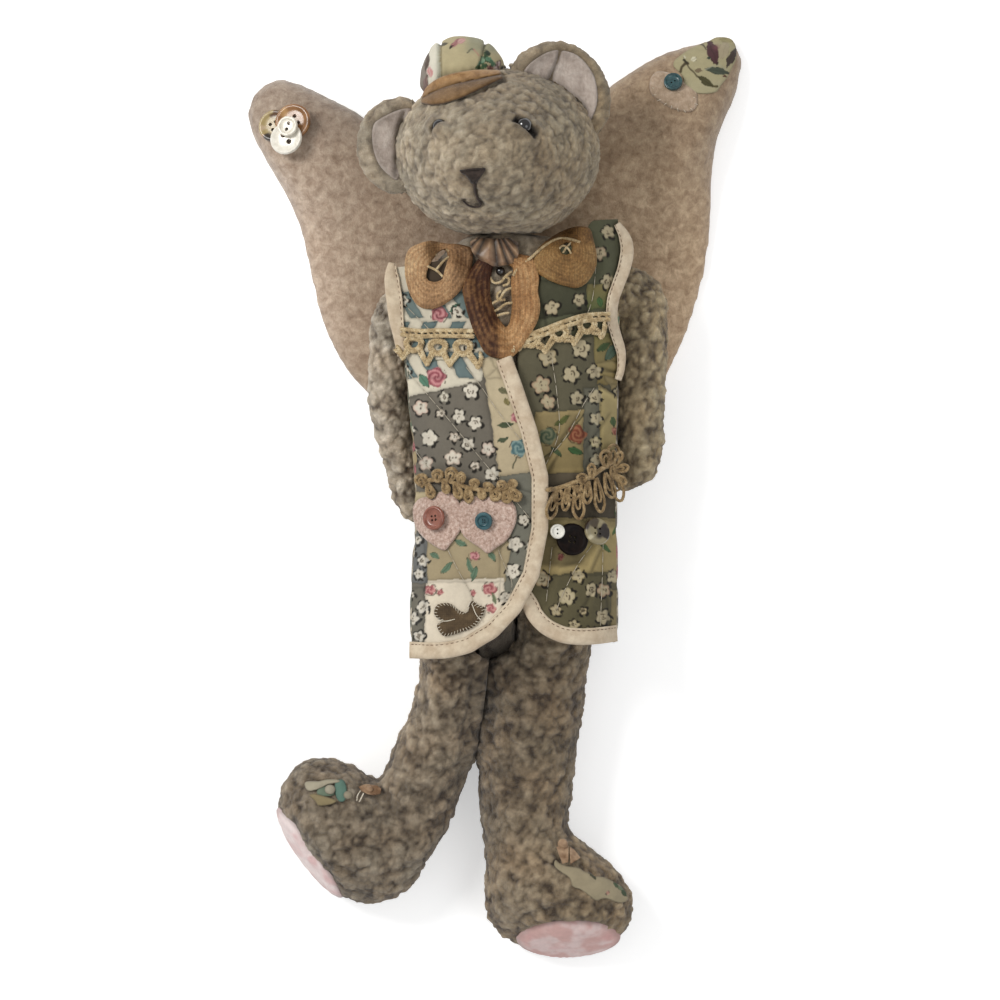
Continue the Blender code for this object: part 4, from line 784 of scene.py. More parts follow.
DARK_THREAD = yarn_material("dark_thread", "1e1612", "2e231c", "463830", 0.6)
STITCH = yarn_material("brown_stitching", "4a3526", "6b5240", "8a6e58", 0.7)
BROWN_CLOTH = cloth_material("brown_corduroy", 0.9, 0.9, 0.12, ("463828", "5f4e38"))
GLASS = bead_material()
BUTTONS = {
    "button_brown": plastic_material("russet_plastic", "764232", "8c5645"),
    "button_teal_vest": plastic_material("teal_plastic", "22434a", "31585f"),
    "wing_button_teal": plastic_material("teal_plastic_dark", "1d3c40", "2f5457"),
    "button_dark": plastic_material("dark_plastic", "0b0605", "180e0a", 0.4, 5.0, 0.0, 0.12),
    "button_cream": plastic_material("marbled_plastic", None, None, 0.32, 9.0),
    "button_white_vest": plastic_material("white_plastic", "cfccc2", "e2dfd6"),
    "wing_button_white_large": plastic_material("white_plastic_large", "dcd6c8", "ebe6da"),
    "wing_button_white_small": plastic_material("white_plastic_small", "d6cfbf", "e8e2d4"),
    "wing_button_amber": plastic_material("amber_plastic", None, None, 0.25, 7.0, 0.35),
    "wing_button_tortoise": plastic_material("tortoise_plastic", None, None, 0.28, 7.0, 0.3),
}


# Plush

TUFT_SHARE, NUB_SHARE = 0.62, 0.38      # of the pile's depth, in tufts and in the small nubs on them
NUB_SIZE = 0.46                         # of a tuft
MEAN_RISE = 0.38                        # of its depth, so that the pile doesn't swell the piece
PILE_MIDDLE = 0.42                      # stored height of a middling spot


def curl(piece, seed, size=5.7, depth=2.1, fine=0.45, keep=None, shape=None, tone=(1.0, 1.0, 1.0),
         contrast=1.0):
    """Raises tufts of pile and stores how high each spot stands. keep(points) eases the pile off.

    shape(points) gives a move along the surface's normal, a painted shade on the pile and a painted
    brightness."""
    points, normals = corners(piece), normals_of(piece)
    warp = np.stack([value_noise(points, 5.0, seed + k) - 0.5 for k in range(3)], axis=1)
    warp += 0.4 * np.stack([value_noise(points, 1.9, seed + 5 + k) - 0.5 for k in range(3)], axis=1)
    far, label = cells_near(points + warp * 3.6, size, seed + 11)
    bump = np.clip(1 - (far / 0.74) ** 2, 0, 1)
    tuft = bump * (0.5 + 0.5 * label)
    small, small_label = cells_near(points + warp * 2.2, size * NUB_SIZE, seed + 31)
    nub = np.clip(1 - (small / 0.85) ** 2, 0, 1) * (0.5 + 0.5 * small_label)
    broad = layered(points, 13.0, seed + 41)
    grain = layered(points, 2.0, seed + 45, 2)
    rise = tuft * depth * TUFT_SHARE + nub * depth * NUB_SHARE
    rise = rise + (value_noise(points, 0.9, seed + 51) - 0.5) * fine + (broad - 0.5) * 0.9
    share = np.ones(len(points)) if keep is None else keep(points)
    # The level follows the height of the tufts and nubs with random grain and patches, so the material paints
    # low spots dark: painted shade between the curls.
    level = 0.56 * tuft + 0.30 * nub + 0.30 * (broad - 0.5)
    level = np.clip(PILE_MIDDLE + (level + 0.6 * (grain - 0.5) - 0.34) * contrast, 0, 1)
    move, dark, bright = (0.0, 0.0, 1.0) if shape is None else shape(points)
    set_corners(piece, points + normals * ((rise - depth * MEAN_RISE) * share + move)[:, None])
    pile = piece.data.attributes.new("Pile", "FLOAT", "POINT")
    pile.data.foreach_set("value", (level * (0.6 + 0.4 * share) * (1 - dark)).astype(np.float32))
    # Tone holds painted light and shade: the shape's darkening and brightness and the light across the bear,
    # times the piece's own tone.
    shade = np.ones((len(points), 4), np.float32)
    shade[:, :3] = np.reshape(bright * (1 - 0.75 * dark), (-1, 1)) * painted_side_light(points) * np.array(tone)
    piece.data.attributes.new("Tone", "FLOAT_COLOR", "POINT").data.foreach_set("color", shade.ravel())


def painted_side_light(points):
    """Painted light across the bear: its right side lit paler, its left side in darker, warmer painted shade.
    """
    u, _ = mm_to_px(points)
    stops = (380.0, 440.0, 500.0, 600.0)
    return np.column_stack([np.interp(u, stops, column) for column in
                            ((1.13, 1.08, 0.97, 0.93), (1.13, 1.06, 0.93, 0.87), (1.09, 1.00, 0.84, 0.72))])


PLUG_RADIUS, HIP_PLUG_RADIUS, PLUG_PAST_DISC = 8.9, 9.9, 4.6


def joint_plugs(body):
    """Rods that fill the hidden sockets of one body's CAD solids."""
    plugs = []
    for joint in frame["joints"]:
        if body not in (joint["child"], joint["parent"]):
            continue
        centre = np.array(joint["pos_m"]) / MM
        name = joint["name"].rsplit("_", 1)[0]
        disc = name + ("_disc" if joint["child"] == body else "_torso_disc")
        low, high = (np.array(c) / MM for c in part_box(disc))
        middle = (low + high) / 2
        way = (middle - centre) / np.linalg.norm(middle - centre)
        radius = HIP_PLUG_RADIUS if name.startswith("hip") else PLUG_RADIUS
        plugs.append(rod_mesh(centre + way * 1.0, middle + way * PLUG_PAST_DISC, radius))
    return plugs


# Random seed and colour of each limb's pile
LIMB_PILE = {"arm_right": (3, (1.38, 1.40, 1.44)), "arm_left": (5, (1.20, 1.20, 1.10)),
             "leg_right": (7, (0.76, 0.72, 0.66)), "leg_left": (9, (0.72, 0.68, 0.62))}
VOXEL = 2.6
HEAD = soft_copy("head_plush", "head", PLUSH, VOXEL, joint_plugs("head"))
TORSO = soft_copy("torso_plush", "torso", PLUSH, VOXEL, joint_plugs("torso"), 1)
LIMBS = {limb: soft_copy(limb + "_plush", limb, PLUSH, VOXEL, joint_plugs(limb))
         for limb in LIMB_PILE}
EARS = {side: soft_copy("ear_" + side + "_plush", "ear_" + side, PLUSH, 1.7)
        for side in ("right", "left")}

THIGH_LOW, THIGH_HIGH = -124.0, -50.0       # the stretch in which the thighs meet
HIP_PLAN_Y, HIP_Z = -45.4, 24.0
PRESSED_REACH = 15.0                        # how deep into a thigh the pressing is felt
CROTCH_Y = -50.0                            # lower end of the torso


def press_legs():
    """The stuffed thighs meet below the vest: their inner sides reach a shared middle line."""
    right, left = corners(LIMBS["leg_right"]), corners(LIMBS["leg_left"])
    levels = np.arange(THIGH_LOW, THIGH_HIGH, 2.0)
    inner = np.array([[right[np.abs(right[:, 1] - y) < 3.0, 0].max(),
                       left[np.abs(left[:, 1] - y) < 3.0, 0].min()] for y in levels])
    middle = inner.mean(axis=1)
    for points, column, way in ((right, 0, 1), (left, 1, -1)):
        rim = np.interp(points[:, 1], levels, inner[:, column])
        want = np.interp(points[:, 1], levels, middle) - way * 0.1
        share = smooth(1 - (rim - points[:, 0]) * way / PRESSED_REACH)
        from_hip = np.hypot(points[:, 1] - HIP_PLAN_Y, points[:, 2] - HIP_Z)
        fade = smooth((points[:, 1] - THIGH_LOW - 4.0) / 9.0) * smooth((from_hip - 23.0) / 5.0)
        fade *= points[:, 1] < THIGH_HIGH
        points[:, 0] += way * np.maximum((want - rim) * way, 0) * share * fade
    set_corners(LIMBS["leg_right"], right)
    set_corners(LIMBS["leg_left"], left)
    return levels, middle


FIN_LEVEL, FIN_ASIDE = -68.0, 2.0           # it lies beside the middle line's point at that level
FIN_HALF_WIDTH, FIN_LENGTH = 12.0, 13.0
FIN_TOP, FIN_SINK = 18.0, 0.7               # what stands above the top sinks by that share


def fill_crotch(levels, middle):
    """A narrow seam of pile closes the torso's lower end between the thighs."""
    points = corners(TORSO)
    off = np.abs(points[:, 0] - np.interp(FIN_LEVEL, levels, middle) - FIN_ASIDE)
    deep = smooth(1.3 * (1 - off / FIN_HALF_WIDTH)) * smooth((CROTCH_Y - points[:, 1]) / 9.0)
    points[:, 1] -= FIN_LENGTH * deep
    points[:, 2] -= FIN_SINK * np.maximum(points[:, 2] - FIN_TOP, 0) * deep
    set_corners(TORSO, points)


def crotch_shade(points):
    """The seam between the thighs lies deep in their shadow."""
    return 0.0, 0.5 * smooth((CROTCH_Y - 2.0 - points[:, 1]) / 8.0), 1.0


WALL_GAP = 0.02             # between each thigh and the line where they meet
FLAT_PILE, EASED_PILE = 2.2, 5.4    # pile this near the line lies on it; up to the second it is squeezed


def keep_apart(levels, middle):
    """The thighs' pile is pressed flat where they meet, and no tuft crosses that line."""
    for limb, way in (("leg_right", 1), ("leg_left", -1)):
        points = corners(LIMBS[limb])
        wall = np.interp(points[:, 1], levels, middle) - way * WALL_GAP
        near = smooth((points[:, 1] - levels[0] - 1.0) / 7.0) * (points[:, 1] < levels[-1])
        deep = (wall - points[:, 0]) * way
        eased = (deep - FLAT_PILE) * EASED_PILE / (EASED_PILE - FLAT_PILE)
        flat = np.where(deep < FLAT_PILE, 0, np.where(deep < EASED_PILE, eased, deep))
        pressed = np.where(deep < 0, flat, deep + (flat - deep) * near)
        pressed = np.where((points[:, 1] > levels[0]) & (points[:, 1] < levels[-1]), pressed, deep)
        points[:, 0] = wall - pressed * way
        set_corners(LIMBS[limb], points)


SOLE_STRETCH = 1.03                         # of the cloth, over the rim of the part's own sole
SOLE_TRIM = {"right": 0.62, "left": 0.22}   # share that the rolled pile hides at the upper edge


def sole_plane(side):
    """Middle, directions, own points, and trimmed and whole rim of a sole.

    Its upper edge is trimmed where the pile of the foot rolls over it."""
    points = np.array([v.co for v in frame["nodes"]["sole_" + side].data.vertices]) / MM
    middle = (points.min(0) + points.max(0)) / 2
    _, ways = np.linalg.eigh(np.cov((points - points.mean(0)).T))
    out = ways[:, 0] * (1 if (middle - corners(LIMBS["leg_" + side]).mean(0)) @ ways[:, 0] > 0 else -1)
    long, wide = ways[:, 2], np.cross(out, ways[:, 2])
    local = (points - middle) @ np.column_stack([long, wide, out])
    angle, reach = np.arctan2(local[:, 1], local[:, 0]), np.hypot(local[:, 0], local[:, 1])
    turn = np.linspace(-math.pi, math.pi, 120, endpoint=False)
    rim = np.array([reach[np.abs((angle - t + math.pi) % math.tau - math.pi) < 0.2].max() for t in turn])
    for _ in range(6):
        rim = 0.5 * rim + 0.25 * (np.roll(rim, 1) + np.roll(rim, -1))
    rise = np.cos(turn) * long[2] + np.sin(turn) * wide[2]
    rise = np.clip(rise / np.hypot(long[2], wide[2]), 0, 1)
    whole = rim * SOLE_STRETCH
    return middle, long, wide, out, local, turn, whole * (1 - SOLE_TRIM[side] * rise ** 0.7), whole


SOLES = {side: sole_plane(side) for side in ("right", "left")}
FOOT_ROLL = 2.2         # how far the pile rolls over the sole's rim
# Painted shade on the pile where the thighs meet: how dark it is.
THIGH_SHADOW = 0.62     # how dark the pile is where the thighs meet


def foot_shape(side):
    """Pile of a foot rolls up to the sole's rim; the leg's brightness changes along it, and painted shade
    darkens the pile where the thighs meet.
    """
    middle, long, wide, out, _, turn, rim, whole = SOLES[side]

    def shape(points):
        a, b, c = ((points - middle) @ np.column_stack([long, wide, out])).T
        angle, far = np.arctan2(b, a), np.hypot(a, b)
        limit = np.interp(angle, turn, rim, period=math.tau)
        outline = np.interp(angle, turn, whole, period=math.tau)
        over = np.clip((a * long[2] + b * wide[2]) / np.maximum(far, 1e-6), 0, 1)
        move = FOOT_ROLL * smooth((c + 6.0) / 3.0) * over
        move *= smooth((far - limit + 0.5) / 2.5) * smooth((outline - far + 3.0) / 4.0)
        _, v = mm_to_px(points)
        # Brightness along each leg: the right one darker towards its foot, the left one darker along the
        # thigh and lighter at its foot. shadow is painted shade where the thighs meet.
        if side == "right":
            bright = 1.24 - 0.38 * smooth((v - 690) / 110)
        else:
            bright = 1.10 - 0.12 * smooth((v - 660) / 60) + 0.22 * smooth((v - 790) / 90)
        off = np.abs(points[:, 0] - np.interp(points[:, 1], *LEG_LINE))
        shadow = THIGH_SHADOW * np.exp(-(off / 4.2) ** 2) * smooth((points[:, 1] + 134) / 30)
        return move, 0.0, bright * (1 - shadow)
    return shape


LEG_LINE = press_legs()
fill_crotch(*LEG_LINE)
curl(TORSO, 5, fine=0.2, shape=crotch_shade)
for limb, (seed, tone) in LIMB_PILE.items():
    side = limb.split("_")[1]
    leg = limb.startswith("leg")
    curl(LIMBS[limb], seed, tone=tone, contrast=1.15, shape=foot_shape(side) if leg else None)
keep_apart(*LEG_LINE)

# Eyes as lines: two ends, half the width of the opening, height of the lids over it.
SLITS = [((514.5, 119.5), (536.0, 136.0), 4.2, 2.5), ((443.5, 122.0), (433.0, 133.5), 1.6, 3.2)]
NOSE = [(460.5, 171.8), (467.0, 170.2), (476.0, 169.4), (485.0, 169.2), (481.5, 175.0), (477.0, 180.5),
        (473.5, 183.0), (470.0, 179.5), (466.0, 175.0)]
PHILTRUM = [(473.9, 181.0), (475.6, 192.5), (478.4, 200.0), (481.4, 204.0)]
CHEEKS = [(455, 192, 13.0), (488, 192, 8.0)]
MOUTH = [(481.4, 204.0), (479.4, 206.3), (474.4, 207.0), (468.4, 205.4), (463.2, 200.8)]


def beside(u, v, start, end):
    """How far along and across a line some pixels lie, from its middle, and half its length."""
    start, end = np.array(start), np.array(end)
    half = np.linalg.norm(end - start) / 2
    way = (end - start) / (2 * half)
    du, dv = u - (start[0] + end[0]) / 2, v - (start[1] + end[1]) / 2
    return du * way[0] + dv * way[1], dv * way[0] - du * way[1], half


FACE_Z, EAR_FACE_Z = 55, 53     # what the photograph sees of the head and the ears stands higher than this


def flat_pile(points):
    """Pile lies flat over the beads and where the nose and mouth are stitched."""
    u, v = mm_to_px(points)
    at = np.column_stack([u, v])
    share = np.ones(len(points))
    for start, end, _, _ in SLITS:
        along, across, half = beside(u, v, start, end)
        share *= smooth((np.hypot(along / half, across / 7.0) - 0.8) / 0.9)
    share *= smooth((edge_distance(at, np.array(NOSE)) - 1.0) / 5.0) * ~inside(at, np.array(NOSE))
    return np.where(points[:, 2] > FACE_Z, share, 1.0)


def face_shape(points):
    """Lids over the beads, pits in the corners of the eyes, and a groove under the mouth's thread; the pits
    and the groove get painted shade.
    """
    u, v = mm_to_px(points)
    at = np.column_stack([u, v])
    front = points[:, 2] > FACE_Z
    move, dark = np.zeros(len(points)), np.zeros(len(points))
    for start, end, wide, lid in SLITS:
        along, across, half = beside(u, v, start, end)
        far = np.abs(across)
        lids = smooth((far - wide * 0.6) / (wide * 0.6)) * smooth((15.0 - far) / 9.0)
        reach = smooth((half * 1.5 - np.abs(along)) / (half * 0.9))
        move += front * lid * lids * reach
        pit = smooth((half * 1.15 - np.abs(along)) / 3.0) * smooth((wide * 1.25 - far) / (wide * 0.7))
        move -= front * 1.6 * pit
        dark = np.maximum(dark, front * pit)
    line = np.array(PHILTRUM + MOUTH)
    groove = np.exp(-(line_distance(at, line) / 2.6) ** 2) * front
    move -= 0.9 * groove
    dark = np.maximum(dark, 0.35 * groove)
    cheeks = sum(np.exp(-(np.hypot(u - x, v - y) / radius) ** 2) for x, y, radius in CHEEKS)
    move += 1.0 * cheeks * front * (1 - groove)
    brow = np.exp(-((v - 131 - 0.45 * (u - 505)) / 9.0) ** 2)
    brow *= smooth((u - 490) / 20) * smooth((600 - u) / 40)
    tone = 0.94 + 0.06 * cheeks * front - 0.10 * brow * front + 0.12 * smooth((440 - u) / 50)
    tone += 0.22 * smooth((v - 195) / 25) + 0.12 * smooth((u - 545) / 30) + 0.14 * smooth((470 - u) / 40)
    return move, dark, tone


curl(HEAD, 21, 4.4, 1.7, 0.5, flat_pile, face_shape, (1.13, 1.14, 1.10), 0.75)


LININGS = {"left": [(524.0, 73.0), (527.5, 66.0), (535.0, 59.5), (545.0, 53.5), (554.0, 50.5), (562.0, 50.5),
                    (572.0, 53.0), (580.0, 57.5), (588.0, 66.0), (594.0, 76.0), (597.0, 88.0),
                    (597.5, 100.0), (595.5, 110.0), (591.0, 120.0), (588.0, 126.0), (580.0, 113.5),
                    (572.0, 105.0), (562.0, 95.0), (552.0, 86.5), (541.0, 81.0), (531.0, 77.0)],
           "right": [(374.0, 124.0), (380.0, 119.0), (387.0, 115.0), (396.0, 111.0), (406.0, 108.5),
                     (413.0, 110.5), (410.0, 119.0), (404.5, 130.0), (402.0, 145.0), (400.5, 162.0),
                     (398.0, 179.0), (390.0, 176.0), (380.0, 166.0), (374.0, 152.0), (372.0, 136.0)]}
HEAD_SKIN = Ground(HEAD)


def sew_to_head(points, reach, pull):
    """Draws the points within reach of the head's skin towards it, as a seam does."""
    for i, p in enumerate(points):
        way = HEAD_SKIN.tree.find_nearest(Vector(p))[0] - Vector(p)
        if way.length < reach:
            points[i] += np.array(way.normalized()) * pull * (1 - way.length / reach)


def ear_keep(side):
    """The pile is short under the lining and beside its edge."""
    def keep(points):
        at = np.column_stack(mm_to_px(points))
        outline = np.array(LININGS[side])
        under = inside(at, outline) & (points[:, 2] > EAR_FACE_Z)
        return np.where(under, 0.15, np.clip(edge_distance(at, outline) / 5.0, 0.15, 1.0))
    return keep


def ear_shape(side):
    """The rim rolls over the lining, which lies in a hollow; the pile under the lining is painted darker, as
    shade.
    """
    def shape(points):
        at = np.column_stack(mm_to_px(points))
        outline = np.array(LININGS[side])
        far = edge_distance(at, outline)
        under = inside(at, outline) & (points[:, 2] > EAR_FACE_Z)
        move = np.where(under, -1.5 * smooth(far / 9.0), 0.0)
        rim = ~under * (points[:, 2] > EAR_FACE_Z)
        move += rim * 1.1 * np.exp(-((far - 5.0) / 5.0) ** 2)
        return move, 0.0, np.where(under, 0.8, 1.0)
    return shape


for side, seed in (("right", 61), ("left", 67)):
    curl(EARS[side], seed, 4.4, 1.0, 0.25, ear_keep(side), ear_shape(side), (1.12, 1.12, 1.10), 0.55)
    points = corners(EARS[side])
    sew_to_head(points, 6.0, 2.4)
    set_corners(EARS[side], points)


# Wings: brushed felt over soft stuffing

# Dark and pale ends of the felt's mottling; on the right wing they also paint shade near the body and light
# at its outer edge.
FELT_DARK_AND_SHADED, FELT_PALE_AND_LIT = np.array((0.84, 0.80, 0.74)), np.array((1.14, 1.13, 1.12))
# Warm painted shade over the left wing.
WARM_SHADE_TINT = (1.0, 0.95, 0.83)


def stuff_wing(side, seed):
    """Felt wing with soft dents and mottled colour. The right wing gets painted shade towards the body and
    painted light at its outer edge, and is darker at its upper end; the left wing gets a warm painted shade;
    both are brighter towards the feet.
    """
    wing = soft_copy("wing_" + side + "_felt", "wing_" + side, WOOL, 2.4, (), 1, 6)
    points, normals = corners(wing), normals_of(wing)
    dents = (layered(points, 26.0, seed, 2) - 0.5) * 2.2 + (layered(points, 7.0, seed + 5, 2) - 0.5) * 0.7
    fibre = (value_noise(points * (1.0, 0.6, 1.0), 1.5, seed + 9) - 0.5) * 0.22
    upward = smooth((points[:, 2] - 1.0) / 3.0)
    set_corners(wing, points + normals * ((dents * 0.8 + fibre) * upward)[:, None])
    u, v = mm_to_px(points)
    inner = smooth((np.abs(u - 490) - 90) / 150) if side == "right" else np.ones(len(u)) * 0.35
    mottle = layered(points, 16.0, seed + 13) - 0.5
    colours = mix(FELT_DARK_AND_SHADED, FELT_PALE_AND_LIT, np.clip(inner + mottle * 0.7, 0, 1))
    bright = 0.98 + 0.34 * smooth((v - 110) / 130)
    if side == "left":
        colours = colours * WARM_SHADE_TINT
        bright = bright + 0.22 * smooth((v - 200) / 100)
    else:
        bright = bright * (1 - 0.12 * smooth((155 - v) / 40))
    paint(wing, colours * bright[:, None])
    return wing


WINGS = {"right": stuff_wing("right", 301), "left": stuff_wing("left", 331)}


# Vest: quilted fronts cut from printed cotton patches

# y, middle and half width of the torso
TORSO_SIDES = [(-63.0, 8.3, 42.5), (-36.0, 8.4, 42.6), (-12.0, 9.2, 41.2), (21.0, 9.0, 41.4),
               (35.0, 8.2, 42.8), (59.0, 7.5, 44.0), (104.0, 7.2, 45.2)]
VEST_COVER = 3.1        # from the torso's side to the vest's
# y and x of the free edges of the fronts
RIGHT_EDGE = [(-67.7, -24.0), (-64.7, -11.2), (-57.8, 0.4), (-47.1, 10.3), (-32.4, 18.0), (-12.2, 21.9),
              (10.5, 21.9), (30.3, 17.2), (49.6, 10.7), (64.7, 5.2), (86.2, -6.4), (108.0, -17.5)]
LEFT_EDGE = [(-61.2, 34.0), (-58.3, 24.1), (-53.2, 17.2), (-45.5, 12.0), (-38.5, 9.0), (36.0, 9.0),
             (46.0, 9.0), (64.8, 9.6), (86.3, 16.5), (108.0, 24.5)]


def lean(x, y):
    """The left shoulder lies higher than the right one: y of a spot after that lean."""
    reach = smooth((y - 45.0) / 45.0) * smooth((115.5 - y) / 6.0)
    return y + 0.11 * (x - 7.5) * reach


def read(table, y, column):
    """A column of a table whose first column is y."""
    return np.interp(y, [row[0] for row in table], [row[column] for row in table])


PETALS = 5
OUTLINE, DAISY_HEART = "26231f", "4a4035"


class Print:
    """Printed cotton in the photograph's pixels: patches, then daisies, roses and leaves."""

    def __init__(self, points, base, salt=0):
        u, v = mm_to_px(points)
        flat = np.column_stack([u, v, np.zeros(len(u))])
        self.u = u + (value_noise(flat, 5.0, 71 + salt) - 0.5) * 1.8
        self.v = v + (value_noise(flat, 5.0, 72 + salt) - 0.5) * 1.8
        self.grain = value_noise(flat, 2.6, 73 + salt)
        self.c = np.tile(rgb(base), (len(u), 1))
        self.seam = np.full(len(u), 99.0)

    def lay(self, share, colour):
        """Prints a colour over a share of each point."""
        self.c = mix(self.c, rgb(colour), np.clip(share, 0, 1))

    def area(self, outline, colour, colour2=None):
        """A cut piece of cloth; it fades to the second colour towards its lower end."""
        outline = np.array(outline, float)
        at = np.column_stack([self.u, self.v])
        hit = inside(at, outline)
        self.c[hit] = rgb(colour)
        if colour2:
            share = smooth((self.v - outline[:, 1].min()) / max(np.ptp(outline[:, 1]), 1)) * hit
            self.lay(share, colour2)
        self.seam = np.minimum(self.seam, edge_distance(at, outline))

    def polar(self, x, y):
        """Distance and direction of each point from a spot."""
        du, dv = self.u - x, self.v - y
        return np.hypot(du, dv), np.arctan2(dv, du)

    def daisy(self, x, y, r, petal, spin=0.0):
        """Daisy of five petals with a broken dark outline."""
        far, turn = self.polar(x, y)
        rim = r * (0.66 + 0.30 * np.abs(np.cos(PETALS / 2 * (turn + spin))))
        away, _ = self.polar(x + 0.5, y + 0.5)
        dashes = np.sin(turn * PETALS + spin * 3 + 1.2) + 2.4 * (self.grain - 0.5)
        self.lay((rim + 2.6 - away) * (dashes > -0.25), OUTLINE)
        self.lay(rim - far, petal)
        self.lay((rim - far) * 0.3, "d9d3c7")
        self.lay((1.3 - np.abs(far - r * 0.33)) * (self.grain > 0.6) * 0.8, DAISY_HEART)
        self.lay(1.3 - far, DAISY_HEART)

    def rose(self, x, y, r, petal, deep="8c4a56", pale="d9a3a6"):
        """Rose with a swirl of deeper and paler petals."""
        far, turn = self.polar(x, y)
        self.lay(r * (0.88 + 0.12 * np.cos(5 * turn)) - far, petal)
        swirl = np.sin(far * 1.25 + turn * 2.0)
        self.lay((swirl > 0.45) * (far < r * 0.85) * 0.75, deep)
        self.lay((swirl < -0.6) * (far < r * 0.8) * 0.6, pale)
        self.lay((1.0 - np.abs(far - r * 0.95)) * (self.grain > 0.55) * 0.9, "3c3330")

    def leaf(self, x, y, long, wide, angle, colour, line="35402f"):
        """Leaf with a broken outline and a rib."""
        du, dv = self.u - x, self.v - y
        a = du * math.cos(angle) + dv * math.sin(angle)
        b = -du * math.sin(angle) + dv * math.cos(angle)
        body = 1 - (a / long) ** 2 - (b / (wide * np.clip(1.2 - np.abs(a) / long * 0.6, 0.2, 1))) ** 2
        self.lay((body + 0.28) * 4 * (self.grain > 0.45), line)
        self.lay(body * 4, colour)
        self.lay((0.7 - np.abs(b)) * (body > 0) * 0.7, line)

    def stem(self, line, width, colour="4a5140"):
        """Thin printed line."""
        at = np.column_stack([self.u, self.v])
        self.lay(width - line_distance(at, np.array(line, float)), colour)


# Quilting lines and armholes, in pixels
QUILT_RIGHT = [[(409, 373), (445, 415), (463, 437), (492, 472), (519, 505), (531, 520)],
               [(466, 367), (480, 385), (498, 411), (521, 440), (532, 452)],
               [(447, 548), (459, 572), (470, 592), (479, 620)],
               [(498, 549), (505, 566), (512, 584), (508, 604)],
               [(404, 436), (424, 462), (440, 485)], [(400, 300), (430, 330), (452, 352)]]
ARM_PX = {"right": [(392.5, 263), (391.5, 272), (392.5, 285), (394.5, 300), (396.5, 320), (399.5, 338),
                    (402, 356)],
          "left": [(617, 224), (624, 236), (627, 250), (624, 268), (618, 285), (613, 300), (612, 318),
                   (616, 335), (621, 352), (621, 368), (618, 380)]}
QUILT_LEFT = [[(552, 360), (557, 395), (559, 431), (549, 458), (540, 474)],
              [(594, 388), (582, 407), (568, 434), (553, 453)], [(552, 547), (549, 575), (546, 604)],
              [(592, 545), (577, 566), (562, 596), (556, 612)], [(603, 540), (602, 580), (600, 628)],
              [(596, 262), (592, 300), (580, 330)]]


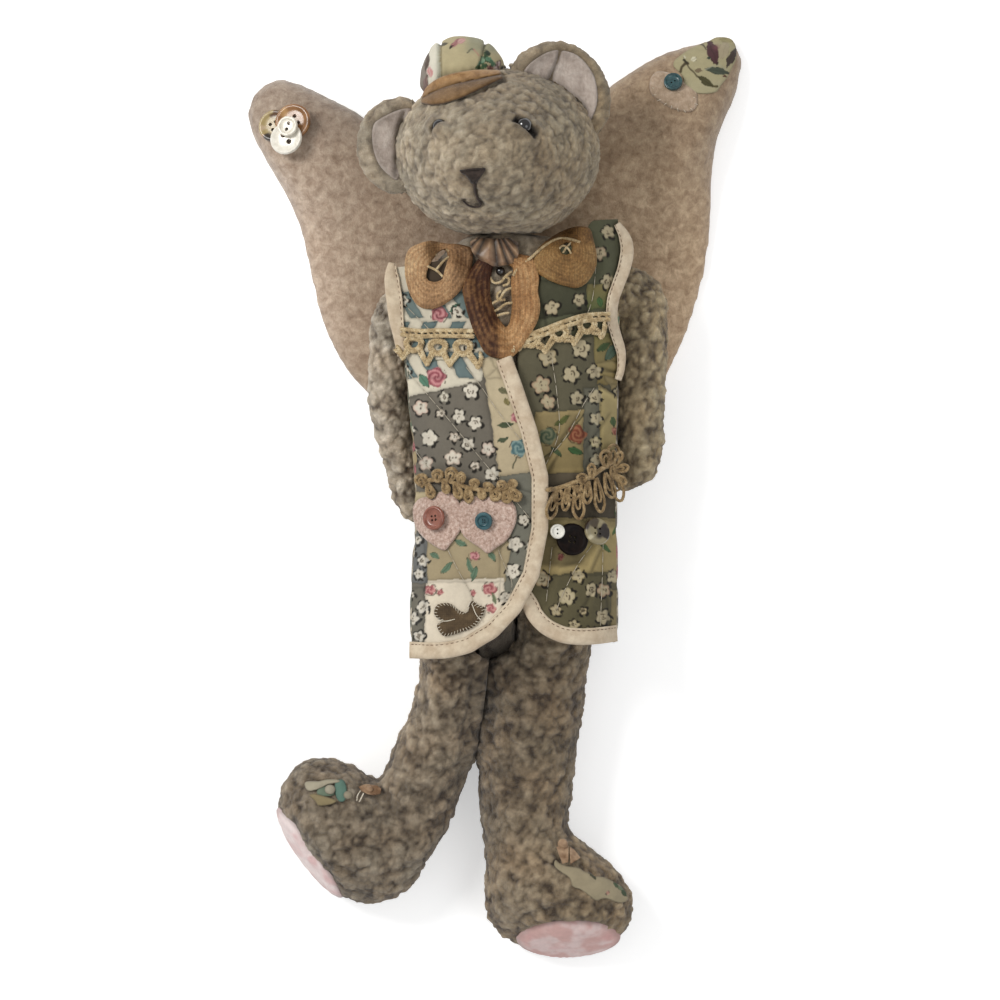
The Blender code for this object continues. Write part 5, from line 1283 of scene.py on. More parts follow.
def print_right(points):
    """Patches of the right front, from the shoulder down; each print lies over the ones before it."""
    p = Print(points, "75726b")
    p.area([(395, 250), (500, 250), (500, 366), (481, 381), (450, 388), (406, 399), (398, 399)], "d9d3c3")
    for x in (402, 430, 458, 486):
        p.area([(x - 8, 292), (x + 6, 292), (x + 22, 318), (x + 8, 318)], "76898c")
        p.area([(x - 6, 322), (x + 8, 322), (x - 6, 348), (x - 20, 348)], "6d8287")
        p.area([(x - 14, 352), (x + 1, 352), (x + 16, 378), (x + 1, 378)], "70848a")
    p.rose(439, 315, 9, "bd7f86")
    p.rose(436, 377, 11, "b9747f")
    p.leaf(424, 381, 8, 4.5, 0.9, "5d8a78")
    p.leaf(455, 308, 7, 3.5, -0.6, "56806f")
    # Painted shade seen through the hole of the collar's right lobe.
    p.area([(424, 268), (435, 249), (450, 248), (450, 266), (445, 285), (426, 285)], "4d4237")
    for x, y in ((457, 311), (405, 372), (403, 300), (492, 305), (415, 292), (470, 345)):
        p.daisy(x, y, 5.5, "dedacd")
    p.stem([(416, 352), (428, 362), (444, 360)], 0.9)
    p.area([(478, 360), (540, 345), (556, 500), (499, 482), (483, 372)], "c8bb9f", "c0b296")
    p.area([(398, 399), (450, 388), (481, 381), (484, 372), (500, 482), (500, 500), (398, 500)], "77736c")
    p.area([(500, 476), (560, 470), (560, 600), (500, 600)], "7b7c74")
    p.area([(405, 492), (504, 492), (512, 545), (505, 582), (428, 582), (424, 545)], "b9ad90", "b0a387")
    p.area([(426, 580), (504, 578), (505, 600), (500, 645), (424, 650), (425, 600)], "e6dccb")
    p.area([(400, 520), (427, 540), (427, 584), (424, 584), (400, 582)], "74777a")
    p.area([(400, 588), (424, 588), (424, 660), (400, 660)], "76746c")
    for x, y, r, petal in ((421, 408, 8.5, "cfae9f"), (471, 391, 8.5, "ddd8cb"), (444, 397, 6, "bcb9ab"),
                           (440, 413, 5, "c8bdb0"), (459, 416, 7.5, "dcd7ca"), (475, 423, 7.5, "ded9cc"),
                           (429, 438, 8.5, "e0dccf"), (454, 437, 6, "b9a99b"), (468, 444, 7, "d9d4c8"),
                           (488, 449, 8, "d3bdb0"), (453, 458, 9, "ccb9ab"), (426, 463, 8, "c3a89b"),
                           (475, 466, 5, "d5c8bb"), (492, 474, 8, "ddd8cc"), (411, 430, 5, "d5d0c3"),
                           (412, 452, 6, "d8d3c6"), (515, 544, 8, "dcd7c9"), (513, 571, 8, "dcd6c8"),
                           (524, 520, 6, "d6d0c1"), (531, 547, 6, "d6cfc0"), (505, 598, 7, "d8cfc0")):
        p.daisy(x, y, r, petal, spin=x * 0.7)
    for x, y, r in ((423, 561, 6), (419, 574, 5.5), (423, 607, 7), (413, 618, 7), (417, 540, 5),
                    (411, 595, 4.5), (419, 636, 6), (411, 552, 5)):
        p.daisy(x, y, r, "d9d6cf", spin=y * 0.5)
    p.leaf(504, 391, 6, 3, 0.3, "75735a")
    p.leaf(507, 402, 4, 3, 1.3, "8b8258")
    p.rose(516, 417, 6, "b98088")
    p.leaf(505, 425, 8, 2.6, -0.15, "4f5b45")
    p.rose(519, 448, 10, "6f9097", "4a6d76", "9ab3b3")
    p.leaf(503, 440, 6, 2.5, -0.4, "55604c")
    p.stem([(516, 458), (513, 468)], 1.2)
    for x, y, long, angle in ((461, 543, 7, 0.5), (470, 566, 9, 1.2), (447, 568, 8, -0.8), (492, 556, 7, 1.0),
                              (474, 574, 8, 1.9), (435, 556, 5, 0.4)):
        p.leaf(x, y, long, 2.6, angle, "6d8a76")
    p.rose(475, 556, 6, "c98f94")
    for x, y, r in ((430, 590, 6), (440, 592, 4), (490, 589, 8), (491, 608, 6), (473, 593, 4)):
        p.rose(x, y, r, "c07c80", "96515a", "dca9a6")
    p.leaf(494, 598, 6, 2.2, 1.2, "7f8b70")
    return p


def print_left(points):
    """Patches of the left front."""
    p = Print(points, "74746c", 9)
    p.area([(500, 200), (640, 200), (640, 336), (500, 336)], "6b7267")
    p.area([(538, 280), (587, 284), (587, 312), (536, 320)], "5c6158", "50554c")
    p.area([(587, 284), (610, 284), (608, 309), (587, 309)], "a09c78", "7c8a68")
    p.area([(593, 334), (632, 330), (626, 372), (596, 372)], "98966f", "a79d7c")
    p.area([(596, 364), (612, 360), (640, 372), (640, 386), (597, 384)], "b9af8c", "9f946f")
    p.area([(535, 412), (584, 410), (583, 472), (530, 474)], "c3b694", "b6a986")
    p.area([(584, 388), (600, 388), (600, 470), (583, 472)], "7f8384")
    p.area([(598, 385), (612, 392), (621, 404), (622, 430), (614, 452), (601, 474)], "c9bf9c", "b9ae8a")
    p.area([(604, 376), (640, 386), (640, 470), (620, 470), (620, 404)], "aea488")
    p.area([(530, 474), (640, 470), (640, 520), (530, 520)], "6e6863")
    p.area([(530, 518), (640, 518), (640, 562), (620, 574), (530, 576)], "c6bb98", "bcb08d")
    p.area([(530, 576), (640, 570), (640, 650), (530, 650)], "716f5f")
    p.area([(611, 590), (640, 588), (640, 650), (611, 650)], "a49c84")
    for x, y, r, petal in ((608, 232, 7.5, "d6d1c6"), (600, 253, 7, "cdb9b2"), (608, 282, 8, "d9d4c6"),
                           (552, 308, 8, "d0c6b8"), (579, 300, 7, "cfc8bb"), (548, 357, 10, "cbbfa9"),
                           (581, 349, 10, "ddd8cc"), (571, 374, 9.5, "d9d2c4"), (541, 385, 10, "c9ab9f"),
                           (548, 402, 8, "cfb6aa"), (577, 398, 7.5, "d2d0c8"), (594, 372, 8, "dcd7ca"),
                           (595, 397, 7.5, "d6d2c7"), (596, 419, 7, "d8d6d0"), (595, 442, 6.5, "c7c4a9"),
                           (597, 459, 7, "d6d4cc"), (619, 392, 6, "d2cdbf"), (542, 579, 9, "c0a78d"),
                           (578, 576, 7.5, "cfc4a6"), (567, 596, 9.5, "cdc9b5"), (592, 590, 7.5, "d5cfc0"),
                           (604, 590, 7.5, "cba9a2"), (603, 617, 8, "d3cdc0"), (613, 577, 7, "d0cbbd"),
                           (583, 611, 4.5, "c7bba5"), (574, 625, 6, "c9c0aa"), (556, 610, 6, "c5bba6"),
                           (590, 632, 6, "cfc8b8"), (549, 497, 8, "8e6a62"), (566, 330, 7, "cfc6b6"),
                           (538, 340, 6, "c9bfae")):
        p.daisy(x, y, r, petal, spin=x * 0.9)
    p.rose(548, 436, 10, "87978a", "4f6b60", "aab5a4")
    p.rose(577, 434, 10.5, "b4715f", "8c4a3f", "cf9a83")
    p.leaf(562, 421, 9, 3, -0.6, "7d8a5b")
    p.leaf(575, 451, 8, 3, 0.3, "4f8058")
    p.leaf(556, 452, 7, 2.8, 0.8, "607a62")
    p.stem([(540, 462), (556, 448), (568, 436), (584, 414)], 1.1)
    p.leaf(613, 421, 5, 3, 1.2, "5f7d5c")
    p.rose(616, 431, 5, "c08a80")
    p.leaf(612, 352, 10, 4.5, -0.9, "62807d")
    p.leaf(604, 347, 8, 3, -0.5, "4f6b4b")
    p.leaf(600, 302, 5, 3, 1.4, "5f8a63")
    p.rose(561, 557, 4, "b3686c")
    for x, y, angle in ((617, 515, 1.4), (615, 530, -1.2), (606, 548, 0.6)):
        p.leaf(x, y, 6, 2.4, angle, "5f8560")
    return p


def shoulder(x, y, side):
    """The left front climbs over the shoulder."""
    if side == "right":
        return y
    return y + 10.5 * smooth((y - 92.0) / 18.0) * smooth((x - 34.0) / 9.0)


# Folds of the left front: two ends and depth.
FOLDS = [((538, 470), (582, 412), 0.42), ((584, 452), (612, 410), 0.30), ((596, 384), (622, 398), 0.45),
         ((597, 366), (620, 374), 0.4), ((603, 545), (590, 575), 0.35), ((556, 568), (586, 560), 0.25),
         ((577, 620), (596, 584), 0.30), ((610, 640), (606, 592), 0.35), ((540, 300), (548, 330), 0.3),
         ((560, 452), (545, 476), 0.4), ((612, 540), (600, 520), 0.3)]
# Painted warm shade over each front, much deeper on the left one, and how much of it pale prints escape.
FRONT_SHADE = {"right": (0.81, 0.77, 0.69), "left": (0.60, 0.53, 0.37)}
PALE_SHARE = {"right": 0.42, "left": 0.12}
QUILT_DEPTH, SEAM_DEPTH, WADDING = 1.25, 0.35, 2.3


def front_plan(side, rows, edge, relief):
    """Plan grid of a front, from the side seam and the armhole to the bound edge, and the edge's x."""
    way = -1 if side == "right" else 1
    ys = np.arange(rows[0], rows[1], 0.42)
    shares = np.linspace(0, 1, 176)
    start = read(TORSO_SIDES, ys, 1) + way * (read(TORSO_SIDES, ys, 2) + VEST_COVER) * 0.975
    line = open_path(ARM_PX[side], 80)
    hole_x, hole_y = (values - place for values, place in zip(relief.from_px(line[:, 0], line[:, 1]), PLACE))
    hole = np.argsort(hole_y)
    for _ in range(3):
        level = shoulder(start, lean(start, ys), side)
        into = smooth((level - hole_y.min()) / 6.0)
        start = start * (1 - into) + (np.interp(level, hole_y[hole], hole_x[hole]) + way * 0.5) * into
    end = read(edge, ys, 1)
    x = start[:, None] + (end - start)[:, None] * shares[None, :]
    y = shoulder(x, lean(x, np.repeat(ys[:, None], len(shares), axis=1)), side)
    return x + PLACE[0], y + PLACE[1], end[:, None] + PLACE[0]


def left_front_shade(u, v, shade, height):
    """Folds of the left front, and the shadows behind the dark button, at the pocket and under the roses."""
    for start, end, deep in FOLDS:
        along, across, half = beside(u, v, start, end)
        reach = smooth((half - np.abs(along)) / 6.0)
        lit = 0.5 * deep * reach * np.exp(-((across - 4.0) / 2.6) ** 2)
        shade *= 1 - deep * reach * np.exp(-(across / 1.6) ** 2) + lit
        height -= 0.7 * deep * 2 * reach * np.exp(-(across / 2.2) ** 2)
    behind = smooth((590 - u) / 14.0) * smooth((v - 528) / 8.0) * smooth((569 - v) / 6.0)
    pocket = smooth((v - 478) / 10.0) * smooth((531 - v) / 6.0)
    blooms = smooth((592 - u) / 5.0) * smooth((v - 410) / 6.0) * smooth((472 - v) / 6.0)
    shade *= (1 - 0.58 * behind) * (1 - 0.32 * pocket) * (1 - 0.26 * blooms)


def make_front(side, rows, edge, stitches, printer, relief):
    """One quilted front: puffed between its quilting lines and seams, rounded at its free edges."""
    x, y, end = front_plan(side, rows, edge, relief)
    points = np.stack([x, y, relief.at(x, y)], axis=-1).reshape(-1, 3)
    prints = printer(points)
    at = np.column_stack(mm_to_px(points))
    far = np.minimum.reduce([line_distance(at, np.array(line, float)) for line in stitches]) * PX
    border = np.minimum(np.minimum(points[:, 1] - points[:, 1].min(), 99),
                        np.abs(np.broadcast_to(end, x.shape) - x).reshape(-1))
    seam = prints.seam * PX
    puff = QUILT_DEPTH * (1 - np.exp(-(far / 4.0) ** 2))
    puff += SEAM_DEPTH * (1 - np.exp(-(seam / 0.9) ** 2)) - 0.95
    puff += (layered(points, 8.0, 401, 2) - 0.5) * 0.9 + (value_noise(points, 2.2, 402) - 0.5) * 0.16
    top, under = points.copy(), points.copy()
    top[:, 2] += puff
    under[:, 2] -= WADDING
    top[:, 2] = under[:, 2] + (top[:, 2] - under[:, 2]) * (0.4 + 0.6 * rounded(border / 1.3))
    shade = 1 - 0.30 * np.exp(-(seam / 0.55) ** 2) - 0.18 * np.exp(-(far / 0.8) ** 2)
    shade *= 0.93 + 0.14 * layered(points, 11.0, 405, 2)
    shade *= 0.86 + 0.26 * layered(points, 17.0, 407, 2)
    if side == "left":
        left_front_shade(at[:, 0], at[:, 1], shade, top[:, 2])
    shape = x.shape + (3,)
    made, faces = slab(top.reshape(shape), under.reshape(shape))
    piece = new_object("vest_front_" + side + "_quilt", made, faces, CLOTH, "torso", "patchwork")
    face_outward(piece)
    # The fronts' painted warm shade darkens the print, less on its pale parts; the underside is painted
    # darker, as shade.
    pale = smooth((prints.c.mean(axis=1) - 0.3) / 0.2)[:, None]
    colours = prints.c * shade[:, None] * np.array(FRONT_SHADE[side]) ** (1 - PALE_SHARE[side] * pale)
    paint(piece, np.vstack([colours, colours * 0.8]))
    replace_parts(piece, "vest_front_" + side)
    return piece


def node_relief(side):
    nodes = frame["nodes"]
    return Relief([nodes["vest_front_" + side], nodes["vest_back"]], BOX_FRONT, 1.2, 2.6, 40.0)


BOX_FRONT = (-46.0, -72.0, 62.0, 120.0)
FRONT_RIGHT = make_front("right", (-67.4, 107.0), RIGHT_EDGE, QUILT_RIGHT, print_right, node_relief("right"))
FRONT_LEFT = make_front("left", (-60.9, 107.0), LEFT_EDGE, QUILT_LEFT, print_left, node_relief("left"))


BACK_PATCHES = ("77736c", "bdb08f", "6b7267", "b3a587", "6f8a90")
PATCH_HIGH, PATCH_WIDE, PATCH_SHIFT = 24.0, 27.0, 11.0
BLOOM_STEP = 9.0
BACK_AXIS_X, BACK_AXIS_Z, BACK_RADIUS = 8.0, 42.0, 46.0
BACK_TONE = (0.78, 0.72, 0.62)


def print_back(points):
    """Colours of the back and the distance to its seams: patches in rows, each with daisies or buds.

    Widths are measured round the torso's axis."""
    across = np.arctan2(points[:, 2] - BACK_AXIS_Z, points[:, 0] - BACK_AXIS_X) * BACK_RADIUS
    up = points[:, 1] + 62
    rows = np.floor(up / PATCH_HIGH)
    shifted = across + rows * PATCH_SHIFT
    columns = np.floor(shifted / PATCH_WIDE)
    kind = lattice(np.column_stack([rows, columns, np.zeros(len(points))]), 501)
    colours = np.array([rgb(c) for c in BACK_PATCHES])[np.minimum((kind * 5).astype(int), 4)]
    seam = np.minimum.reduce([shifted % PATCH_WIDE, PATCH_WIDE - shifted % PATCH_WIDE,
                              up % PATCH_HIGH, PATCH_HIGH - up % PATCH_HIGH])
    cell = np.floor(np.column_stack([across, points[:, 1], across * 0]) / BLOOM_STEP)
    jitter = [lattice(cell, salt) - 0.5 for salt in (511, 512, 513)]
    du = across - (cell[:, 0] + 0.5 + 0.3 * jitter[0]) * BLOOM_STEP
    dv = points[:, 1] - (cell[:, 1] + 0.5 + 0.3 * jitter[1]) * BLOOM_STEP
    far, around = np.hypot(du, dv), np.arctan2(dv, du)
    size = 2.6 + 1.4 * jitter[2]
    rim = size * (0.68 + 0.30 * np.abs(np.cos(2.5 * around + jitter[0] * 9)))
    dashes = np.sin(5 * around + 1.2 + jitter[1] * 9) > -0.25
    petal = np.where(jitter[0][:, None] > 0.3, rgb("c9b0a6"), rgb("d9d3c7"))
    bud = mix(np.array(rgb("b9747f")), rgb("6d8a76"), (jitter[1] > 0).astype(float))
    bloom = np.where((kind < 0.6)[:, None], petal, bud)
    for where, colour in (((far < rim + 0.9) & dashes, rgb(OUTLINE)), (far < rim, bloom),
                          (far < 0.6, rgb(DAISY_HEART))):
        colours = np.where(where[:, None], colour, colours)
    return colours * BACK_TONE, seam


def make_back():
    """Quilted back, puffed between its seams and slanting rows of quilting."""
    piece = soft_copy("vest_back_quilt", "vest_back", CLOTH, 1.7, (), 1, 4)
    points, normals = corners(piece), normals_of(piece)
    colours, seam = print_back(points)
    outward = ((points - (BACK_AXIS_X, 0.0, BACK_AXIS_Z)) * normals)[:, ::2].sum(axis=1) > 0
    diagonal = np.abs(((points[:, 0] * 0.7 + points[:, 1]) % 22.0) - 11.0)
    puff = 0.8 * (1 - np.exp(-((11 - diagonal) / 3.0) ** 2)) + 0.3 * (1 - np.exp(-(seam / 0.9) ** 2)) - 0.9
    puff += (layered(points, 8.0, 521, 2) - 0.5) * 0.5
    set_corners(piece, points + normals * (puff * outward * 0.7)[:, None])
    shade = (1 - 0.30 * np.exp(-(seam / 0.6) ** 2)) * (0.93 + 0.14 * layered(points, 11.0, 523, 2))
    paint(piece, colours * shade[:, None])
    return piece


BACK = make_back()


# Threads, tapes and lace on the vest

def on_ground(ground, path, lift):
    """Lays a pixel path on the meshes that the camera sees."""
    made = []
    for u, v in path:
        hit, normal = ground.seen(u, v)
        if hit:
            made.append(np.array(hit) + np.array(normal) * lift)
    return np.array(made)


def running_stitches(line, radius, dash, gap):
    """Short arched stitches along a line of points."""
    total = length_of(line)
    count = max(int(total / (dash + gap)), 1)
    fine = resample(line, count * 12 + 1)
    parts = []
    for i in range(count):
        piece = fine[i * 12:i * 12 + int(12 * dash / (dash + gap)) + 1].copy()
        bow = np.sin(np.linspace(0, math.pi, len(piece)))
        piece[:, 2] += (bow - 1) * radius
        parts.append(tube(piece, radius * (0.7 + 0.3 * bow), sides=6))
    return parts


fronts = Ground(FRONT_RIGHT, FRONT_LEFT)
quilting = [stitch for line in QUILT_RIGHT + QUILT_LEFT
            for stitch in running_stitches(on_ground(fronts, open_path(line, 60), 0.12), 0.15, 4.6, 0.7)]
new_object("quilting_thread", *merged(quilting), QUILTING, "torso", "binding")


# Section of a tape: where across its width each row of points lies, and how high over the ground.
TAPE_SHARES = (-0.5, -0.495, -0.47, -0.42, -0.34, -0.2, 0.0, 0.15, 0.27, 0.33, 0.37, 0.42, 0.47, 0.5)
TAPE_RISE = (0.0, 0.7, 1.2, 1.6, 1.85, 1.95, 1.8, 1.5, 1.15, 0.8, 0.75, 0.95, 0.8, 0.0)
TAPE_ROLL = (1.6, 1.2, 0.6)     # how far the first rows reach down over the free edge
SEAM_SHARE = 0.345              # the stitched seam, across the width


def make_tape(node, line, width, relief, inner_side):
    """Folded bias tape along a plan path: rolled over the free edge, stitched near the inner one.

    width holds widths at even steps; inner_side is 1 where the inner edge is left of the path, else -1."""
    count = max(int(length_of(line) / 0.8), 8)
    fine = resample(line, count)
    width = np.interp(np.linspace(0, 1, count), np.linspace(0, 1, len(width)), width)
    inward = left_of(fine) * inner_side
    top = np.zeros((len(TAPE_SHARES), count, 3))
    bottom = np.zeros_like(top)
    at = np.linspace(0, length_of(fine), count)
    wobble = (value_noise(np.column_stack([at, at * 0, at * 0]), 7.0, 601) - 0.5) * 0.5
    pucker = (value_noise(np.column_stack([at, at * 0 + 9, at * 0]), 2.4, 603) - 0.5) * 0.35
    for k, (share, up) in enumerate(zip(TAPE_SHARES, TAPE_RISE)):
        plan = fine + inward * (share * width + wobble * (0.5 - abs(share)))[:, None]
        z = relief.at(plan[:, 0], plan[:, 1])
        top[k] = np.column_stack([plan, z + 0.15 + up + pucker * (abs(share) < 0.45)])
        bottom[k] = np.column_stack([plan, z + 0.05])
    for k, depth in enumerate(TAPE_ROLL):
        bottom[k, :, 2] -= depth
    piece = new_object(node + "_tape", *slab(top, bottom), BINDING, "torso", "binding")
    face_outward(piece)
    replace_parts(piece, node)
    row = fine + inward * (SEAM_SHARE * width)[:, None]
    z = relief.at(row[:, 0], row[:, 1]) + 1.0
    parts = running_stitches(np.column_stack([row, z]), 0.17, 1.5, 0.8)
    seam = new_object(node + "_tape_stitches", *merged(parts), STITCH, "torso", "binding")
    return piece


def front_tape(node, path, count, relief, inner_side):
    """Tape that covers a front's edge and hem; path is the edge itself, in the plan tables' frame."""
    line = open_path(np.array(path) + PLACE, count)
    line = line + left_of(line) * (inner_side * EDGE_TO_TAPE)
    return make_tape(node, line, [EDGE_TAPE_WIDTH], relief, inner_side)


def armhole_tape(side, count, width, relief, inner_side):
    """Binding along the armhole's pixel line."""
    line = open_path(ARM_PX[side], count)
    line = np.column_stack(relief.from_px(line[:, 0], line[:, 1]))
    return make_tape("armhole_binding_" + side, line, width, relief, inner_side)


EDGE_TO_TAPE = 2.6
EDGE_TAPE_WIDTH = 7.2
tape_relief_right = Relief([FRONT_RIGHT, BACK], BOX_FRONT, 1.2, 1.4, 40.0, 1)
tape_relief_left = Relief([FRONT_LEFT, BACK], BOX_FRONT, 1.2, 1.4, 40.0, 1)
edge_right = [(read(RIGHT_EDGE, y, 1), lean(read(RIGHT_EDGE, y, 1), y)) for y in np.linspace(62.0, -64.5, 60)]
edge_right += [(-19.0, -66.6), (-26.0, -67.3), (-33.0, -67.3), (-37.0, -67.3)]
edge_left = [(10.6, -42.5), (13.2, -46.5), (14.5, -49.5), (17.2, -53.2), (20.5, -56.2), (24.1, -58.3),
             (29.0, -60.2), (35.0, -61.0), (42.0, -61.0), (53.2, -60.2)]
TAPE_RIGHT = front_tape("binding_front_right", edge_right, 120, tape_relief_right, -1)
front_tape("binding_front_left", edge_left, 60, tape_relief_left, 1)
TAPE_ARM_RIGHT = armhole_tape("right", 40, [3.4, 6.6, 7.2, 7.0, 6.0, 5.0, 4.0], tape_relief_right, 1)
TAPE_ARM_LEFT = armhole_tape("left", 60, [3.0, 5.6, 6.0, 5.6, 5.4, 5.2, 5.0, 4.6, 3.6, 3.0],
                             tape_relief_left, -1)


# Straw braid collar, rosette and bead

def px_path(relief, points, count, lift):
    """Smooth line through pixels, laid on a relief."""
    line = open_path(points, count)
    x, y = relief.from_px(line[:, 0], line[:, 1])
    return np.column_stack([x, y, relief.at(x, y) + lift])


def make_band(name, node, outer, inner, relief, ridges, dark, lift=0.5, swell=1.3,
              shades=("5d4026", "a37e58", "d6b88c")):
    """Ring of braid tape between two pixel outlines: sewn ridges along it, straw-coloured weave.

    dark(u, v) gives the painted shade at a pixel: how much darker it is painted there."""
    count, rows, thickness, seed = 230, 26, 1.5, 701
    a, b = closed_path(outer, count), closed_path(inner, count)
    share = np.linspace(0, 1, rows)[:, None, None]
    px = a[None] * (1 - share) + b[None] * share
    u, v = px[..., 0], px[..., 1]
    x, y = relief.from_px(u, v)
    z = relief.at(x, y)
    across = np.broadcast_to(np.linspace(0, 1, rows)[:, None], u.shape)
    wave = 0.5 + 0.5 * np.cos(across * ridges * math.tau)
    along = np.broadcast_to(np.linspace(0, 1, count), u.shape)
    flat = np.stack([x, y, z * 0], axis=-1).reshape(-1, 3)
    sway = layered(flat, 7.0, seed, 2).reshape(u.shape) - 0.5
    straws = np.stack([across * 9, along * length_of(a) * PX / 0.7, across * 0], -1).reshape(-1, 3)
    straw = value_noise(straws, 1.0, seed + 3).reshape(u.shape)
    edge = rounded(np.minimum(across, 1 - across) / 0.10)
    height = thickness * (0.35 + 0.65 * edge) + swell * np.sin(across * math.pi) ** 0.8
    height = height + wave * 0.22 + sway * 0.9 + straw * 0.16
    top = np.stack([x, y, z + lift + height], axis=-1)
    under = np.stack([x, y, z + lift], axis=-1)
    piece = new_object(name, *slab(top, under, True), BRAID, "torso", "braid")
    face_outward(piece)
    low, middle, high = (rgb(c) for c in shades)
    knit = value_noise(flat, 1.1, seed + 7).reshape(u.shape) - 0.5
    # Ridge tops are painted lighter than the grooves between the ridges, as painted shade; dark() adds more
    # painted shade.
    tone = 0.38 + 0.16 * wave + 0.14 * straw + 0.45 * sway + 0.16 * knit
    tone = np.clip(tone - dark(u, v), 0, 1)
    colours = np.where((tone < 0.5)[..., None], mix(low, middle, np.clip(tone * 2, 0, 1)),
                       mix(middle, high, np.clip(tone * 2 - 1, 0, 1))).reshape(-1, 3)
    # The underside is painted darker, as shade.
    paint(piece, np.vstack([colours, colours * 0.6]))
    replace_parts(piece, node)
    return piece


def braid_shade_right(u, v):
    """Painted shade towards the middle of the neck and at the lower end."""
    return 0.40 * smooth((u - 446) / 12) + 0.10 * smooth((v - 296) / 10)


def braid_shade_centre(u, v):
    """Painted shade along its right side and under the chin; a little lighter along its left side."""
    return 0.50 * smooth((503 - u) / 8) + 0.24 * smooth((262 - v) / 6) - 0.05 * smooth((u - 508) / 6)


def braid_shade_left(u, v):
    """Painted shade under the head."""
    return 0.24 * smooth((248 - v) / 12)


collar_relief = Relief([FRONT_RIGHT, FRONT_LEFT, BACK, TORSO], (-48.0, 48.0, 60.0, 122.0), 1.2, 2.2, 40.0, 1)
BRAID_RIGHT = make_band("collar_right_braid", "collar_lace_right",
                        [(405.3, 277), (405, 262), (408, 251), (416, 245), (430, 241), (446, 243.5),
                         (460, 244.5), (471.8, 249), (472.5, 262), (469, 277), (462, 289), (452.6, 299),
                         (441.6, 306), (430.7, 309.4), (418.3, 306), (410, 294)],
                        [(426.6, 277), (427, 272.5), (428.5, 268), (431.5, 262), (435.5, 256), (439, 252),
                         (443, 250), (446.5, 251.5), (447.5, 257), (446.6, 264), (444.6, 270), (443.6, 275),
                         (442, 279.5), (436, 281.8), (431, 281.4), (428, 279.8)], collar_relief, ridges=6,
                        dark=braid_shade_right)
BRAID_CENTRE = make_band("collar_centre_braid", "collar_lace_centre",
                         [(471.8, 268), (463, 285), (464.5, 301.8), (471.8, 326.5), (478.7, 342), (486, 354),
                          (497.9, 358.5), (512, 357), (523, 346), (531, 333), (537.7, 321), (540.2, 306),
                          (538, 290.8), (539, 277.1), (533.5, 259), (523, 255), (508, 252), (488, 251)],
                         [(492.5, 268.5), (491.2, 278), (490.2, 288), (491, 299), (496, 314), (500.5, 321),
                          (503.5, 325), (505.8, 327), (507.6, 326), (509.6, 322), (511.4, 312),
                          (511.8, 301.8), (511, 290), (511, 279.9), (513, 270), (509, 265.6), (502, 264.2),
                          (496, 264.6)], collar_relief, ridges=5, lift=0.9, swell=1.6,
                         shades=("3b1c09", "9a7046", "cfa878"), dark=braid_shade_centre)
BRAID_LEFT = make_band("collar_left_braid", "collar_lace_left",
                       [(536, 272), (531.5, 262), (536, 251), (546, 241), (559.6, 232.4), (572, 227.5),
                        (582, 226.6), (590, 229.5), (593.4, 240), (596.5, 255), (595.3, 268.9), (587, 282.6),
                        (576, 288.1), (562.4, 285.4), (552, 281.8), (545, 278.2)],
                       [(560.5, 252), (560.2, 249.4), (561.4, 246.6), (563.4, 244.6), (565.4, 243.6),
                        (567.4, 243.2), (569, 243.6), (570.4, 244.8), (571.4, 246.6), (571.8, 248.8),
                        (571.4, 251), (570.2, 253), (568.2, 254.4), (565.6, 254.8), (563.4, 254.2),
                        (561.6, 253.2)], collar_relief, ridges=8, shades=("482d14", "846238", "b0905e"),
                       dark=braid_shade_left)

# Threads across the holes of the braid: lift, radius, number of points, lines.
THREAD_BARS = ((1.9, 0.55, 14, ([(432, 246.5), (438, 244), (445, 247), (449, 252)],
                                [(424, 265), (431, 268), (437, 271), (443, 277)],
                                [(437, 269), (443, 262), (449, 257)], [(429, 243), (433, 249), (436, 256)])),
               (1.8, 0.6, 16, ([(489, 276), (494, 283), (501, 282), (506, 276), (512, 272)],
                               [(492, 304), (500, 299), (505, 291), (512, 288)],
                               [(493, 312), (499, 309), (506, 304), (513, 303)],
                               [(501, 291), (497, 295), (499, 300), (505, 300)],
                               [(503, 286), (508, 284), (509, 279), (505, 277)],
                               [(497, 316), (503, 314), (509, 313)])),
               (2.0, 0.45, 12, ([(559, 249), (563, 246), (568, 249), (571, 254)],
                                [(563, 253), (567, 247), (571, 243)])))
bars = [strand for lift, radius, count, lines in THREAD_BARS for line in lines
        for strand in yarn(px_path(collar_relief, line, count, lift), radius, 1.6)]
new_object("collar_thread_bars", *merged(bars), CROCHET, "torso", "braid")
cord = yarn(px_path(collar_relief, [(513, 276), (518, 269), (531, 258), (545, 246), (558, 239.5), (570, 240),
                                    (580, 243)], 50, 3.3), 0.65, 2.2)
new_object("collar_edge_cord", *merged(cord), CROCHET, "torso", "braid")


def ball(centre, radius, squash=1.0, rings=20, around=32):
    """Sphere, squashed in height."""
    turn = np.linspace(0, math.tau, around, endpoint=False)
    tilt = np.linspace(-math.pi / 2, math.pi / 2, rings + 1)[1:-1]
    points = [centre + np.array([0, 0, -radius * squash])]
    for t in tilt:
        ring = np.column_stack([np.cos(turn) * math.cos(t), np.sin(turn) * math.cos(t),
                                np.full(around, math.sin(t) * squash)])
        points += list(centre + ring * radius)
    points.append(centre + np.array([0, 0, radius * squash]))
    faces = []
    for r in range(len(tilt) - 1):
        for c in range(around):
            a, b = 1 + r * around + c, 1 + r * around + (c + 1) % around
            faces.append((a, b, b + around, a + around))
    last = 1 + (len(tilt) - 1) * around
    for c in range(around):
        faces.append((0, 1 + (c + 1) % around, 1 + c))
        faces.append((len(points) - 1, last + c, last + (c + 1) % around))
    return np.array(points), faces


